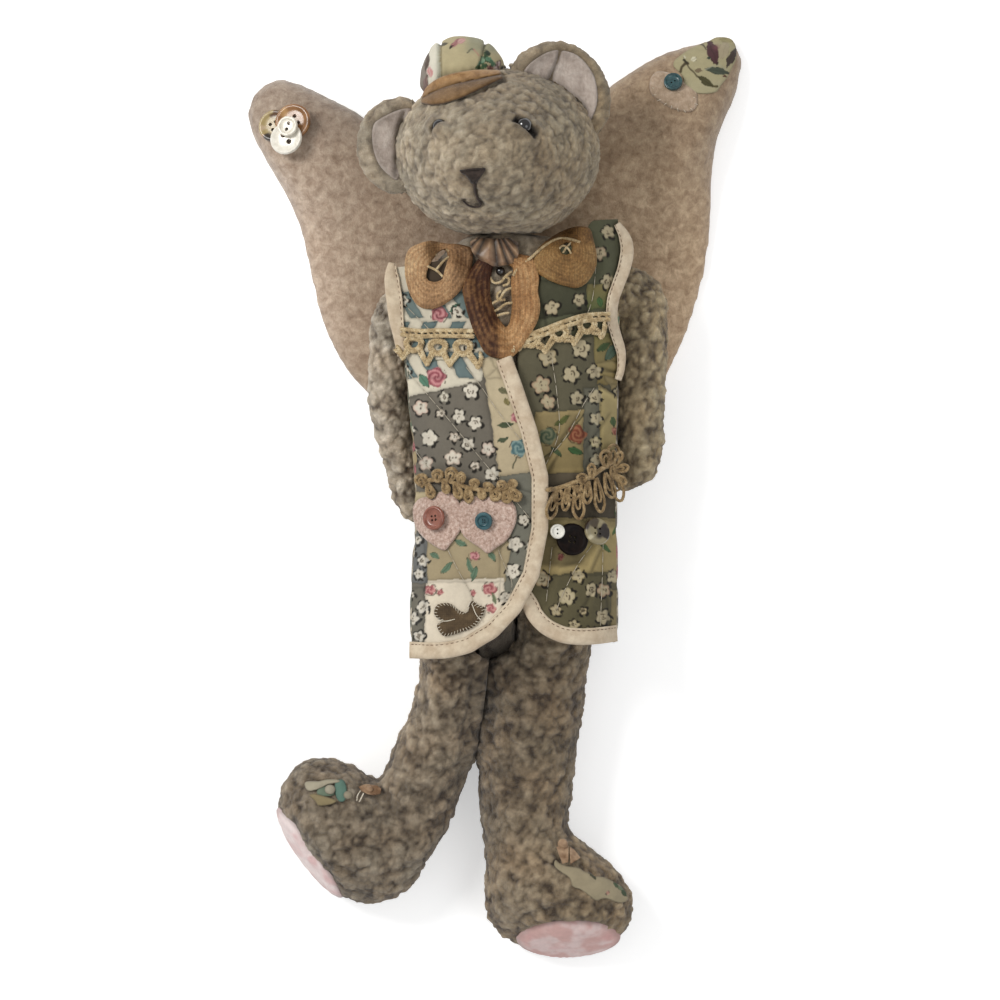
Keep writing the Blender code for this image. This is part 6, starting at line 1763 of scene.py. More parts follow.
spot = px_path(collar_relief, [(500.5, 271.5), (501, 272)], 2, 1.0)[0]
new_object("collar_bead", *ball(spot, 2.0), GLASS, "torso", "braid")


def make_rosette():
    """Half fan of satin, pleated into the middle of the neck."""
    rim = open_path([(470, 243), (472.5, 253), (480, 260.5), (487, 263.5), (494, 267), (504.5, 266),
                     (514, 262.5), (518.5, 255), (519, 244)], 160)
    hub = open_path([(478, 238), (484, 238.5), (491, 239), (497, 239.5), (503, 239), (510, 238.5)], 160)
    share = np.linspace(0, 1, 26)[:, None, None]
    px = hub[None] * (1 - share) + rim[None] * share
    x, y = collar_relief.from_px(px[..., 0], px[..., 1])
    z = collar_relief.at(x, y)
    out = np.broadcast_to(share[..., 0], x.shape)
    turn = np.broadcast_to(np.linspace(0, 1, 160), x.shape)
    pleat = np.abs(((turn * 5.5 + 0.35 * np.sin(turn * 9)) % 1.0) - 0.5) * 2
    pleat = pleat ** 0.8
    top = z + 4.4 + pleat * 1.9 * (0.35 + 0.65 * out) - 0.9 * (1 - out)
    top = top + 0.5 * np.sin(out * 5 + turn * 17) * out - 1.1 * smooth((out - 0.86) / 0.14)
    made = slab(np.stack([x, y, top], -1), np.stack([x, y, top - 0.9], -1))
    piece = new_object("neck_rosette_satin", *made, SATIN, "torso", "satin")
    face_outward(piece)
    # Painted shade: dark in the valleys of the pleats and towards the hub, light on the ridges; the underside
    # is painted darker still.
    tone = (0.10 + 0.95 * pleat ** 1.3) * (0.55 + 0.45 * smooth(out * 2.2))
    colours = tone.reshape(-1, 1) * np.array([1.0, 0.96, 0.9])
    paint(piece, np.vstack([colours, colours * 0.5]))
    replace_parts(piece, "neck_rosette")


make_rosette()


# Crocheted lace

def lace_loop(relief, top, bottom, width, lift, bulge, count=26):
    """Teardrop of yarn that hangs from a header."""
    top, bottom = np.array(top, float), np.array(bottom, float)
    way = bottom - top
    side = np.array([-way[1], way[0]]) / max(np.linalg.norm(way), 1e-6) * width
    points = [top + side * 0.15, top + way * 0.35 + side * 0.7, top + way * 0.75 + side, bottom,
              top + way * 0.75 - side, top + way * 0.35 - side * 0.7, top - side * 0.15]
    line = px_path(relief, points, count, lift)
    line[:, 2] += bulge * np.sin(np.linspace(0, math.pi, count))
    return line


EDGE_TAPES = [TAPE_ARM_RIGHT, TAPE_ARM_LEFT, TAPE_RIGHT]
lace_relief = Relief([FRONT_RIGHT, FRONT_LEFT, *EDGE_TAPES], (-46.0, -72.0, 62.0, 112.0), 1.2, 0.9, 40.0, 1)


def chest_lace(node, header, holes, tips, seed):
    """Lace edging: a header cord of two rows, a ring round each hole and a pointed loop at each tip."""
    parts = []
    for row, drop in enumerate((0.0, 5.5)):
        line = px_path(lace_relief, [(u, v + drop) for u, v in header], 60, 0.9 + 0.25 * row)
        line[:, 2] += (value_noise(line, 2.5, seed + row) - 0.5) * 0.6
        parts += yarn(line, 0.95, 2.6, strands=3)
    path = open_path(header, 49)
    for u, v in path[2::4]:
        parts += yarn(px_path(lace_relief, [(u - 1.5, v), (u + 1.5, v + 5)], 4, 1.1), 0.6, 1.5)
    for k, (u, v) in enumerate(holes):
        for reach in (6.0, 8.6):
            turn = np.linspace(0, math.tau, 15)
            ring = [(u + reach * math.cos(t) * (1 - 0.22 * math.sin(t)),
                     v - 1.5 + reach * math.sin(t) * 0.86) for t in turn]
            parts += yarn(px_path(lace_relief, ring, 54, 0.8), 0.85, 2.1, phase=k)
    (u0, v0), (_, v1) = holes[:2]
    (_, v2), (u3, v3) = holes[-2:]
    holes = [(u0 - 24, v0 + (v0 - v1) * 0.8), *holes, (u3 + 24, v3 + (v3 - v2))]
    for k, (u, v) in enumerate(tips):
        left, right = holes[k], holes[k + 1]
        for shrink, lift in ((0.0, 0.7), (4.0, 0.95)):
            point = [(left[0] + 5 + shrink * 0.4, left[1] + 6 - shrink), (u - 2.6, v - 4 - shrink),
                     (u, v - shrink), (u + 2.6, v - 4 - shrink),
                     (right[0] - 5 - shrink * 0.4, right[1] + 6 - shrink)]
            parts += yarn(px_path(lace_relief, point, 34, lift), 0.85, 2.1, phase=k + shrink)
        picot = [(u - 1.4, v - 3), (u, v + 1), (u + 1.4, v - 3)]
        parts += yarn(px_path(lace_relief, picot, 8, 0.9), 0.62, 1.5)
    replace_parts(new_object(node + "_yarn", *merged(parts), CROCHET, "torso", "crochet"), node)


chest_lace("chest_lace_right", [(401, 329), (420, 331), (440, 330.5), (474, 331)],
           [(414, 346), (438, 349), (463, 349.5)], [(403, 359), (427, 365), (450, 366), (478, 368)], 801)
chest_lace("chest_lace_left", [(525, 336), (545, 329), (560, 323), (578, 317), (593, 314.5), (610, 314)],
           [(531, 341), (559, 335), (587, 327)], [(519, 350), (545, 353), (574, 345), (601, 338)], 821)


def pocket_lace(node, header, loops, radius, seed):
    """Crumpled lace: a header cord and loops (top, bottom, width, bulge), each with a smaller one inside."""
    parts = []
    line = px_path(lace_relief, header, 50, 1.2)
    line[:, 2] += (value_noise(line, 2.5, seed) - 0.5) * 0.8
    parts += yarn(line, 1.0, 2.6, strands=3)
    for k, (top, bottom, width, bulge) in enumerate(loops):
        jog = (lattice(np.array([[k, seed, 1], [k, seed, 2], [k, seed, 3]]), seed) - 0.5) * (5.0, 5.0, 2.4)
        bottom, width = (bottom[0] + jog[0], bottom[1] + jog[1]), width + jog[2]
        line = lace_loop(lace_relief, top, bottom, width, 1.0 + 0.3 * (k % 2), bulge)
        parts += yarn(line, radius, 2.2, strands=3, phase=k)
        short = np.array(bottom) * 0.72 + np.array(top) * 0.28
        inner = lace_loop(lace_relief, top, short, width * 0.45, 1.3, bulge * 0.8, 20)
        parts += yarn(inner, radius * 0.8, 2.0, strands=2, phase=k * 2.0)
    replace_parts(new_object(node + "_yarn", *merged(parts), CROCHET_SHADED, "torso", "crochet"), node)


pocket_lace("pocket_lace_right", [(418, 484), (432, 480), (448, 481), (466, 487), (484, 490), (512, 489)],
            [((424, 486), (419, 476), 4.5, 1.6), ((428, 484), (434, 497), 4, 1.2),
             ((438, 482), (437, 469), 4.4, 2.6), ((444, 482), (449, 494), 4, 1.6),
             ((449, 482), (451, 468), 4.4, 3.0), ((455, 484), (459, 497), 4, 1.6),
             ((461, 485), (462, 473), 4.4, 2.8), ((468, 487), (469, 504), 4.2, 1.4),
             ((474, 488), (473, 480), 3.4, 1.6), ((480, 489), (484, 500), 4, 1.2),
             ((487, 490), (491, 482), 3.6, 1.8), ((492, 490), (497, 501), 4, 1.4),
             ((499, 490), (503, 482), 3.6, 1.6), ((505, 490), (508, 500), 3.6, 1.2),
             ((511, 489), (515, 482), 3.4, 1.2), ((512, 489), (517, 498), 3.2, 1.0)], 0.84, 841)
pocket_lace("pocket_lace_left", [(547, 490), (560, 487.5), (575, 482), (590, 477), (600, 470), (612, 462)],
            [((556, 490), (551, 517), 4.5, 1.0), ((567, 488), (565, 509), 4.5, 1.4),
             ((576, 485), (578, 519), 4.8, 1.4), ((588, 481), (588, 504), 4.4, 1.6),
             ((596, 478), (600, 512), 4.8, 1.4), ((605, 473), (610, 500), 4.8, 1.6),
             ((606, 468), (603, 452), 4.4, 1.6), ((611, 466), (622, 500), 4.6, 1.4),
             ((611, 464), (612, 443), 4.2, 1.6), ((614, 466), (623, 450), 4.0, 1.4),
             ((613, 470), (629, 466), 3.6, 1.0), ((612, 474), (628, 484), 3.8, 0.8),
             ((592, 479), (593, 466), 3.6, 1.4), ((582, 484), (583, 473), 3.4, 1.2),
             ((559, 489), (558, 505), 5.5, 0.8), ((571, 486), (571, 500), 5.5, 0.8),
             ((583, 482), (584, 498), 5.5, 0.9)], 0.66, 861)


# Buttons

def button_frame(node):
    """Centre of the underside, radius, thickness and directions of a round CAD button."""
    points = np.array([v.co for v in frame["nodes"][node].data.vertices]) / MM
    middle = (points.min(0) + points.max(0)) / 2
    values, ways = np.linalg.eigh(np.cov((points - middle).T))
    up = ways[:, 0] * (1 if ways[2, 0] > 0 else -1)
    right = np.array([1.0, 0, 0]) - up * up[0]
    right /= np.linalg.norm(right)
    ahead = np.cross(up, right)
    local = (points - middle) @ np.column_stack([right, ahead, up])
    low, high = local.min(0), local.max(0)
    centre = middle + right * (low[0] + high[0]) / 2 + ahead * (low[1] + high[1]) / 2 + up * low[2]
    return centre, np.ptp(local[:, 0]) / 2, np.ptp(local[:, 2]), right, ahead, up


def make_button(node, holes, turn, spread, size, dish, rim, colours=None):
    """Turned button: its holes' number, first angle, distance from the middle and radius, the height of its
    dish and the inner radius of its rim, all but the angle as shares of its own size."""
    centre, radius, thick, right, ahead, up = button_frame(node)
    profile = [(0.90, 0.0), (0.97, 0.16), (1.0, 0.45), (0.985, 0.72), (0.94, 0.92), (rim, 1.0),
               (rim - 0.08, 0.97), (rim - 0.18, dish + 0.10), (rim - 0.26, dish), (0.45, dish - 0.02),
               (0.3, dish - 0.03), (0.15, dish - 0.03)]
    around = 64
    angle = np.linspace(0, math.tau, around, endpoint=False)
    ring = np.cos(angle)[:, None] * right + np.sin(angle)[:, None] * ahead
    points, faces = [centre], []
    for share, level in profile:
        points += list(centre + ring * radius * share + up * thick * level)
    points.append(centre + up * thick * (dish - 0.03))
    for c in range(around):
        d = (c + 1) % around
        faces.append((0, 1 + d, 1 + c))
        for r in range(1, len(points) - 1 - around, around):
            faces.append((r + c, r + d, r + around + d, r + around + c))
        last = len(points) - 1 - around
        faces.append((len(points) - 1, last + c, last + d))
    piece = new_object(node + "_turned", points, faces, BUTTONS[node], "torso")
    face_outward(piece)
    spots = []
    for k in range(holes):
        a = turn + math.tau * k / holes
        spots.append(centre + (right * math.cos(a) + ahead * math.sin(a)) * radius * spread)
    cutters = [rod_mesh(spot - up * 1.0, spot + up * (thick + 1.0), radius * size, 18) for spot in spots]
    cutter = new_object(node + "_cutter", *merged(cutters), BUTTONS[node], None)
    cut = piece.modifiers.new("holes", "BOOLEAN")
    cut.operation = "DIFFERENCE"
    cut.solver = "EXACT"
    cut.object = cutter
    apply_modifiers(piece)
    bpy.data.objects.remove(cutter)
    level = up * (thick * (dish - 0.03) * 0.45)
    threads = [tube(np.linspace(spots[a] + level, spots[b] + level, 8), radius * size * 0.55, up, 8)
               for a, b in ([(0, 1)] if holes == 2 else [(0, 2), (1, 3)])]
    piece.data.shade_smooth()
    piece.data.set_sharp_from_angle(angle=math.radians(40))
    if colours:
        paint(piece, colours(*mm_to_px(corners(piece))))
    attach(piece, "torso")
    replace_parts(piece, node)
    new_object(node + "_thread", *merged(threads), DARK_THREAD, "torso")


def blotched(ground, spots):
    """Colours of a marbled button from round spots (pixel x, y, radius, softness, colour)."""
    def colours(u, v):
        flat = np.column_stack([u, v, u * 0])
        wander = (value_noise(flat, 4.0, 871) - 0.5) * 5.0
        made = np.tile(rgb(ground), (len(u), 1))
        for x, y, radius, soft, colour in spots:
            made = mix(made, rgb(colour), smooth((radius - np.hypot(u - x, v - y) + wander) / soft))
        return made
    return colours


CREAM = blotched("877c5e", [(584, 525, 7.5, 2.0, "2b1f15"), (604, 532, 8.5, 2.0, "1f150e"),
                            (594, 523, 6.0, 2.0, "40331f"), (586, 544, 3.5, 1.5, "6d5f48"),
                            (590, 538, 4.0, 2.0, "bdb394")])
TORTOISE = blotched("a08c5c", [(262, 128, 4.0, 3.0, "b8a184"), (264, 138, 5.0, 3.0, "b89478"),
                               (276, 113, 6.5, 2.5, "5a3c1e"), (270, 138, 7.5, 2.0, "33281c"),
                               (281, 120, 4.0, 2.0, "5f4524")])
AMBER = blotched("8d6238", [(284, 112, 7.0, 4.0, "b38a58"), (301, 108, 8.0, 4.0, "7c5226"),
                            (281, 124, 6.0, 3.0, "b98d62"), (309, 120, 6.0, 4.0, "6b4722"),
                            (312, 133, 7.0, 4.0, "7d6238"), (296, 119, 5.0, 3.0, "8c6c4c")])
for button in (("button_brown", 4, 0.9, 0.23, 0.10, 0.55, 0.88),
               ("button_teal_vest", 4, 0.8, 0.17, 0.075, 0.5, 0.74),
               ("button_white_vest", 2, math.pi / 2, 0.27, 0.13, 0.6, 0.88),
               ("button_dark", 4, 0.6, 0.2, 0.09, 0.72, 0.9),
               ("button_cream", 4, 0.8, 0.27, 0.085, 0.8, 0.92, CREAM),
               ("wing_button_tortoise", 4, 2.8, 0.27, 0.11, 0.7, 0.9, TORTOISE),
               ("wing_button_amber", 4, 1.3, 0.31, 0.11, 0.62, 0.88, AMBER),
               ("wing_button_white_large", 2, -0.87, 0.29, 0.16, 0.7, 0.93),
               ("wing_button_white_small", 2, 1.22, 0.31, 0.18, 0.6, 0.86),
               ("wing_button_teal", 2, 0.5, 0.2, 0.1, 0.6, 0.84)):
    make_button(*button)


# Felt hearts and the stitched brown patch

def overhand(relief, outline, step, reach, radius, lift):
    """Small whip stitches over the edge of a patch."""
    line = closed_path(outline, max(int(length_of(closed_path(outline, 80)) / step), 8))
    middle = line.mean(0)
    parts = []
    for u, v in line:
        way = middle - (u, v)
        way = way / np.linalg.norm(way)
        laid = px_path(relief, [(u, v) + way * far for far in (-0.8, reach * 0.5, reach)], 5, lift)
        laid[:, 2] += np.array([-0.5, 0.1, 0.3, 0.15, -0.3])
        parts.append(tube(laid, radius, sides=5))
    return parts


HEART_OUTER = [(433, 499), (427, 497), (419, 499), (413.5, 506), (413, 515), (416, 528), (424, 538),
               (433, 545), (444, 550.5), (450, 545), (456, 537), (461, 528), (461, 512), (459.5, 503),
               (455, 495.5), (447.5, 491), (439.5, 492)]
HEART_INNER = [(483, 499), (475, 496), (466, 497), (460, 503), (457, 513), (459, 525), (463, 535),
               (471, 542), (480, 548), (488, 553.5), (496, 548), (506, 541), (513, 530), (516.5, 519),
               (515.5, 507), (509, 498.5), (500, 495.5), (490, 496)]
for heart, outline, lift, width, length in (("felt_heart_outer", HEART_OUTER, 0.25, 0.021, 0.025),
                                            ("felt_heart_inner", HEART_INNER, 0.45, 0.025, 0.025)):
    piece, _ = patch(heart + "_cut", outline, 120, lace_relief, lift, 1.25, 0.7, FELT_PINK, "torso",
                     "pink_felt", 0.7, 0.9)
    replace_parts(piece, heart)

APPLIQUE = [(434, 612), (437, 605), (444, 603), (451, 604), (457, 609), (463, 612), (468, 611), (470, 603),
            (473, 601), (478, 605), (484, 607), (484, 613), (481, 618), (477, 624), (470, 629), (461, 632),
            (452, 635), (444, 636), (439, 631), (437, 625), (441, 621), (436, 617)]
brown_patch, _ = patch("brown_patch", APPLIQUE, 150, lace_relief, 0.15, 0.9, 0.5, BROWN_CLOTH, "torso",
                       "patchwork", 0.5, 0.6)
whips = overhand(lace_relief, APPLIQUE, 3.4, 4.0, 0.13, 1.0)
for line in ([(437, 620), (446, 621), (455, 619)], [(472, 604), (476, 614), (481, 620)]):
    whips.append(tube(px_path(lace_relief, line, 12, 1.5), 0.2))
whip_piece = new_object("brown_patch_stitches", *merged(whips), THREAD, "torso", "patchwork")

# Eyes, nose and mouth

def glass_eye(side):
    """The part's eye as a smooth glass ball."""
    node = "eye_" + side
    low, high = (np.array(c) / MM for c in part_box(node))
    middle, radius = (low + high) / 2, (high - low).mean() / 2
    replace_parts(new_object(node + "_bead", *ball(middle, radius), GLASS, "head", "eye_glass"), node)


for side in ("right", "left"):
    glass_eye(side)

head_relief = Relief([HEAD], (-48.0, 108.0, 50.0, 190.0), 0.7, 0.5, 48.0, 1)


def embroider_nose():
    """Satin stitches side by side over a triangle, then the thread of the muzzle and mouth."""
    outline = np.array(closed_path(NOSE, 120))
    parts = []
    for u in np.arange(outline[:, 0].min() + 0.6, outline[:, 0].max() - 0.4, 1.05):
        near = outline[np.abs(outline[:, 0] - u) < 1.2]
        top, bottom = near[:, 1].min(), near[:, 1].max()
        slant = (u - 473.5) * 0.18
        ends = (u + slant * 0.4, top - 0.4), (u - slant, bottom + 0.5)
        line = px_path(head_relief, [ends[0], (u, (top + bottom) / 2), ends[1]], 10, 0.35)
        line[:, 2] += np.array([-0.7, -0.1, 0.3, 0.5, 0.6, 0.6, 0.5, 0.3, -0.1, -0.7])
        parts.append(tube(line, 0.34, sides=6))
    rim = px_path(head_relief, [(461.5, 171.6), (468, 170.0), (476, 169.2), (484.5, 169.0)], 24, 0.75)
    parts += yarn(rim, 0.42, 1.4)
    parts += yarn(px_path(head_relief, PHILTRUM, 40, 0.25), 0.5, 1.8, strands=3)
    parts += yarn(px_path(head_relief, MOUTH, 40, 0.2), 0.42, 1.8, strands=3)
    new_object("nose_and_mouth_thread", *merged(parts), DARK_THREAD, "head", "plush")


embroider_nose()


# Ear linings

def ear_lining(side):
    """Velour laid in the hollow of the ear, with painted shade in its folds and along its edge; each of its
    folds is (line, depth, width, painted shade).
    """
    ear_relief = Relief([EARS[side]], EAR_BOXES[side], 0.7, 1.1, 45.0)
    piece, far = patch("ear_" + side + "_lining", LININGS[side], 150, ear_relief, 0.15, 1.0, 0.55, LINING,
                       "head", "plush", 0.5, 1.0)
    points = corners(piece)
    at = np.column_stack(mm_to_px(points))
    shade = np.ones(len(points))
    for fold, depth, width, dark in EAR_FOLDS[side]:
        off = line_distance(at, np.array(fold, float))
        points[:, 2] -= depth * np.exp(-(off / width) ** 2)
        shade *= 1 - dark * np.exp(-(off / (width * 1.15)) ** 2)
    flat = np.column_stack([at, np.zeros(len(at))])
    streak = value_noise(flat * (1.0, 0.22, 1.0), 1.6, 903) - 0.5
    shade *= (1 + 0.16 * streak) * (1 - 0.18 * smooth(1 - far / 2.0))
    points[:, 2] += 0.10 * streak
    set_corners(piece, points)
    if side == "left":
        shade *= 1 - 0.10 * smooth((556 - at[:, 0]) / 6)
    else:
        from_fold = np.hypot(at[:, 0] - 401, (at[:, 1] - 130) * 0.6)
        shade *= 1 - 0.38 * np.exp(-(from_fold / 6.0) ** 2)
    paint(piece, shade[:, None] * np.array([1.0, 0.995, 0.99]))
    return piece


EAR_BOXES = {"left": (2.0, 150.0, 54.0, 200.0), "right": (-62.0, 126.0, -30.0, 176.0)}
EAR_FOLDS = {"left": [([(560.5, 50), (558, 60), (553, 72), (549.5, 84)], 1.6, 2.4, 0.42),
                      ([(551, 86), (562, 95), (572, 105), (580, 113), (588, 124)], 0.8, 3.0, 0.3),
                      ([(566, 57), (563, 70), (561, 84)], 0.3, 3.0, 0.08)],
             "right": [([(404, 112), (400, 126), (398, 142), (397, 160), (396, 176)], 1.2, 2.6, 0.3)]}
lining_left, lining_right = ear_lining("left"), ear_lining("right")


# Cap: printed crown and felt brim

CAP_SEAM_LEFT, CAP_SEAM_RIGHT = 441, 481


def print_cap(points):
    """Print of the cap: a pale and a grey panel at the left, where the pale strip by the seam is painted
    highlight on a raised fold, twigs, roses and leaves.
    """
    p = Print(points, "aea27f", 21)
    u, v = p.u, p.v
    p.lay(smooth((v - 62) / 14) * 0.45 * smooth((u - 440) / 3), "867a5c")
    p.lay(smooth((u - 462) / 10) * smooth((56 - v) / 8) * 0.8, "8f8e74")
    # The pale strip by the left seam is painted highlight on the fold that make_crown raises there.
    panel = smooth((CAP_SEAM_LEFT - u) / 1.2)
    p.lay(panel, "d3cebd")
    p.lay(panel * smooth((u - 436) / 2) * 0.5, "bfc2ad")
    p.lay(smooth((430 - u + (v - 60) * -0.02) / 2.2) * 0.85, "6c6159")
    p.leaf(427, 62, 9, 2.2, 1.75, "57483f", "3d342c")
    p.leaf(425.5, 84, 9, 2.6, 1.7, "7d6660", "43362f")
    p.leaf(430, 72.5, 6, 3.0, 1.45, "c08a86", "d9d2c4")
    p.stem([(430, 80), (431.5, 84), (434, 88)], 0.8, "cfc4b4")
    p.leaf(444, 44, 4, 1.6, -0.35, "5a5548", "4b463b")
    p.leaf(455, 43, 6.5, 2.0, -0.75, "a06d6b", "57433c")
    p.leaf(461, 41, 5, 2.4, -0.5, "c39a92", "a06d6b")
    p.leaf(451, 46.5, 2.6, 1.2, -0.75, "33291f", "33291f")
    p.stem([(467.5, 53), (469, 50), (471.5, 48.7), (474, 50)], 1.0, "43453a")
    p.stem([(474, 49.5), (476, 52), (478.5, 55)], 0.9, "b0736b")
    for x, y, long, angle, colour in ((481, 62, 5.5, 2.2, "6f8e73"), (486, 57, 5.5, 1.3, "34482f"),
                                      (490, 60, 6, 0.5, "5c8064"), (484, 65, 5, 0.2, "3a5238"),
                                      (494, 64, 5.5, 0.9, "48664c"), (479, 68, 5, 0.1, "4d5f3e"),
                                      (488, 53, 4, 1.1, "2a3527"), (483, 59, 4, 1.0, "87a184")):
        p.leaf(x, y, long, 2.2, angle, colour, "27331f")
    p.rose(490, 68, 4.5, "6b443f", "3a2522", "8d6159")
    for x, y, r in ((497, 69, 4.2), (501, 74, 4.0), (499, 64, 3.0)):
        p.rose(x, y, r, "a8928d", "5c4540", "c5b4ae")
    p.leaf(503, 68, 4, 1.4, 0.9, "3b3a33", "2b2b26")
    return p


def make_crown():
    """Puffed cap of printed cotton: two seams run up from the brim, with small gathers between."""
    piece = soft_copy("hat_crown_cotton", "hat_crown", CLOTH, 1.3, (), 1, 4)
    points, normals = corners(piece), normals_of(piece)
    u, v = mm_to_px(points)
    seams = np.minimum(np.abs(u - CAP_SEAM_LEFT - (v - 60) * 0.02),
                       np.abs(u - CAP_SEAM_RIGHT + (v - 60) * 0.25))
    low = smooth((v - 58) / 26)
    gathers = np.sin(u * 0.75 + 1.5 * np.sin(v * 0.11)) * 0.35 * low
    puff = 0.9 - 1.5 * np.exp(-(seams / 1.8) ** 2) + (layered(points, 9.0, 915, 2) - 0.5) * 1.2
    puff += 0.8 * smooth((CAP_SEAM_LEFT - u) / 2) * smooth((u - 430) / 4)
    points = points + normals * (puff + gathers)[:, None]
    sew_to_head(points, 3.0, 1.6)
    set_corners(piece, points)
    prints = print_cap(points)
    shade = 1 - 0.3 * np.exp(-(seams / 1.3) ** 2)
    shade *= 0.94 + 0.12 * layered(points, 8.0, 917, 2)
    shade *= 1 - 0.25 * smooth((v - 68) / 10) * (u > CAP_SEAM_LEFT)
    paint(piece, prints.c * shade[:, None])
    return piece


CROWN = make_crown()
brim_relief = Relief([HEAD, CROWN], (-42.0, 160.0, 12.0, 206.0), 0.8, 1.6, 45.0, 1)


def make_brim():
    """Felt brim in two layers: a rolled band against the crown and a wider one in front, stitched between."""
    rows, columns = 30, 130
    back = open_path([(422.2, 95.5), (426.0, 88.5), (433.5, 81.8), (444.5, 76.3), (458.5, 72.8),
                      (472.6, 70.8), (486, 70.2), (500.5, 71.0)], columns)
    front = open_path([(421.2, 103.4), (430, 105.2), (440.5, 104.4), (450, 102.0), (461.9, 98.0),
                       (471.9, 93.6), (484, 88.0), (503.0, 79.0)], columns)
    share = np.linspace(0, 1, rows)[:, None]
    px = front[None] * (1 - share[..., None]) + back[None] * share[..., None]
    x, y = brim_relief.from_px(px[..., 0], px[..., 1])
    z = brim_relief.at(x, y)
    along = np.linspace(0, 1, columns)[None, :]
    split = 0.56 + 0.05 * np.sin(along * 5)         # where the band meets the layer in front of it
    ends = rounded(np.minimum(along, 1 - along) / 0.05)
    lower = rounded(2 * np.minimum(share / split, 1 - share / split))
    upper = rounded(2 * np.minimum((share - split) / (1 - split), 1 - (share - split) / (1 - split)))
    height = np.where(share < split, 1.2 + 2.6 * lower, 2.2 + 1.9 * upper)
    height = height * (0.35 + 0.65 * ends)
    flat = np.stack([x, y, z * 0], -1).reshape(-1, 3)
    height = height + ((layered(flat, 5.0, 925, 2) - 0.5) * 0.5).reshape(x.shape)
    top = np.stack([x, y, z + 0.2 + np.maximum(height, 0.3)], -1)
    under = np.stack([x, y, z + 0.1 + z * 0], -1)
    piece = new_object("hat_brim_suede", *slab(top, under), BRIM, "head", "brim_felt")
    face_outward(piece)
    # Painted shade in the crease between the layers; the layer in front is darker, more so towards its end by
    # the bear's left, and darker at its front edge; the underside is painted darker, as shade.
    crease = np.exp(-((share - split) * 9.0) ** 2)
    tone = 1.0 - 0.4 * crease - 0.28 * smooth((along - 0.3) / 0.6) * (share < split)
    tone = tone - 0.3 * smooth((0.12 - share) / 0.12)
    tone = tone * np.where(share < split, 0.80, 1.0) + 0.3 * (share > split)
    colours = tone.reshape(-1, 1) * np.array([0.93, 0.88, 0.76])
    paint(piece, np.vstack([colours, colours * 0.6]))
    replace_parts(piece, "hat_brim")
    row = int(rows * 0.5)
    stitches = running_stitches(top[row, 6:-8], 0.16, 1.3, 0.9)
    seam = new_object("hat_brim_stitches", *merged(stitches), STITCH, "head", "brim_felt")


make_brim()


# Patches on the left wing

wing_relief = Relief([WINGS["left"]], (58.0, 160.0, 112.0, 210.0), 0.8, 0.9, 2.0)
FELT_OUTLINE = [(651.5, 76.5), (649.6, 83), (649.8, 90), (653.2, 96.5), (660.5, 102.2), (669.5, 107.3),
                (680, 110.9), (690, 111.8), (696.3, 107), (697.3, 99), (696, 92), (686, 84), (672, 74),
                (658, 71.5)]
wing_felt, _ = patch("wing_felt_patch_cut", FELT_OUTLINE, 120, wing_relief, 0.15, 1.2, 0.7, FELT_TAN,
                     "torso", "pink_felt", 0.5, 1.0)
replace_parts(wing_felt, "wing_felt_patch")
whips = overhand(wing_relief, [(652, 88), (655, 97), (663, 104), (673, 109), (684, 112), (694, 109),
                               (697, 101), (690, 94), (674, 86), (660, 80)], 7.0, 3.4, 0.14, 1.15)
felt_seam = new_object("wing_felt_patch_stitches", *merged(whips), THREAD, "torso", "pink_felt")


def print_tip(points):
    """Print of the wing's tip: dark leaves on twigs."""
    p = Print(points, "a39a78", 31)
    u, v = p.u, p.v
    p.lay(smooth((v - 74) / 10) * 0.5, "aaa284")
    p.stem([(680.8, 71), (681.6, 67), (685, 63.6), (687.5, 63)], 2.0, "4a3f2b")
    p.stem([(683.5, 60), (686.4, 63)], 1.7, "2f2a1c")
    p.stem([(687, 65), (692, 70), (696.5, 76), (702, 79)], 1.2, "4d4330")
    p.leaf(706.5, 81.5, 9.0, 3.4, 0.55, "4a462c", "322d1d")
    p.leaf(715, 86, 3.4, 1.3, 0.2, "5c5436", "40392a")
    p.leaf(698.5, 70.6, 4.6, 2.2, 0.1, "75664f", "5e5240")
    p.leaf(717, 70.4, 12.0, 3.4, 0.22, "474d40", "2f332a")
    p.stem([(705.5, 69.2), (711, 66.0), (719, 65.4), (727, 70)], 0.8, "9b9a86")
    p.leaf(713.0, 52.5, 12.5, 6.0, 1.25, "4b2f31", "2a1d19")
    p.lay(smooth((5.5 - np.hypot(u - 716.5, v - 47)) / 5.0) * 0.6, "76494d")
    p.leaf(724.5, 49.5, 10.5, 5.0, 1.9, "a1957a", "8b7f66")
    p.leaf(731.8, 57.5, 11.0, 3.6, 2.05, "433831", "2e2621")
    p.leaf(726, 40, 7, 2.4, 0.1, "968d69", "867d5c")
    p.stem([(699.5, 43.2), (702.5, 44.6), (705.8, 49)], 1.1, "3d3626")
    p.leaf(709, 58.6, 2.4, 1.4, 0.0, "2f3a2e", "2a3128")
    p.leaf(693.4, 58.8, 3.2, 2.2, -0.5, "cfc8ac", "3a3223")
    p.leaf(684.5, 57.2, 2.6, 1.0, 0.9, "d0c9ae", "443c2a")
    p.leaf(724.6, 76.2, 1.8, 1.4, 0.0, "5a3f30", "4a3327")
    return p


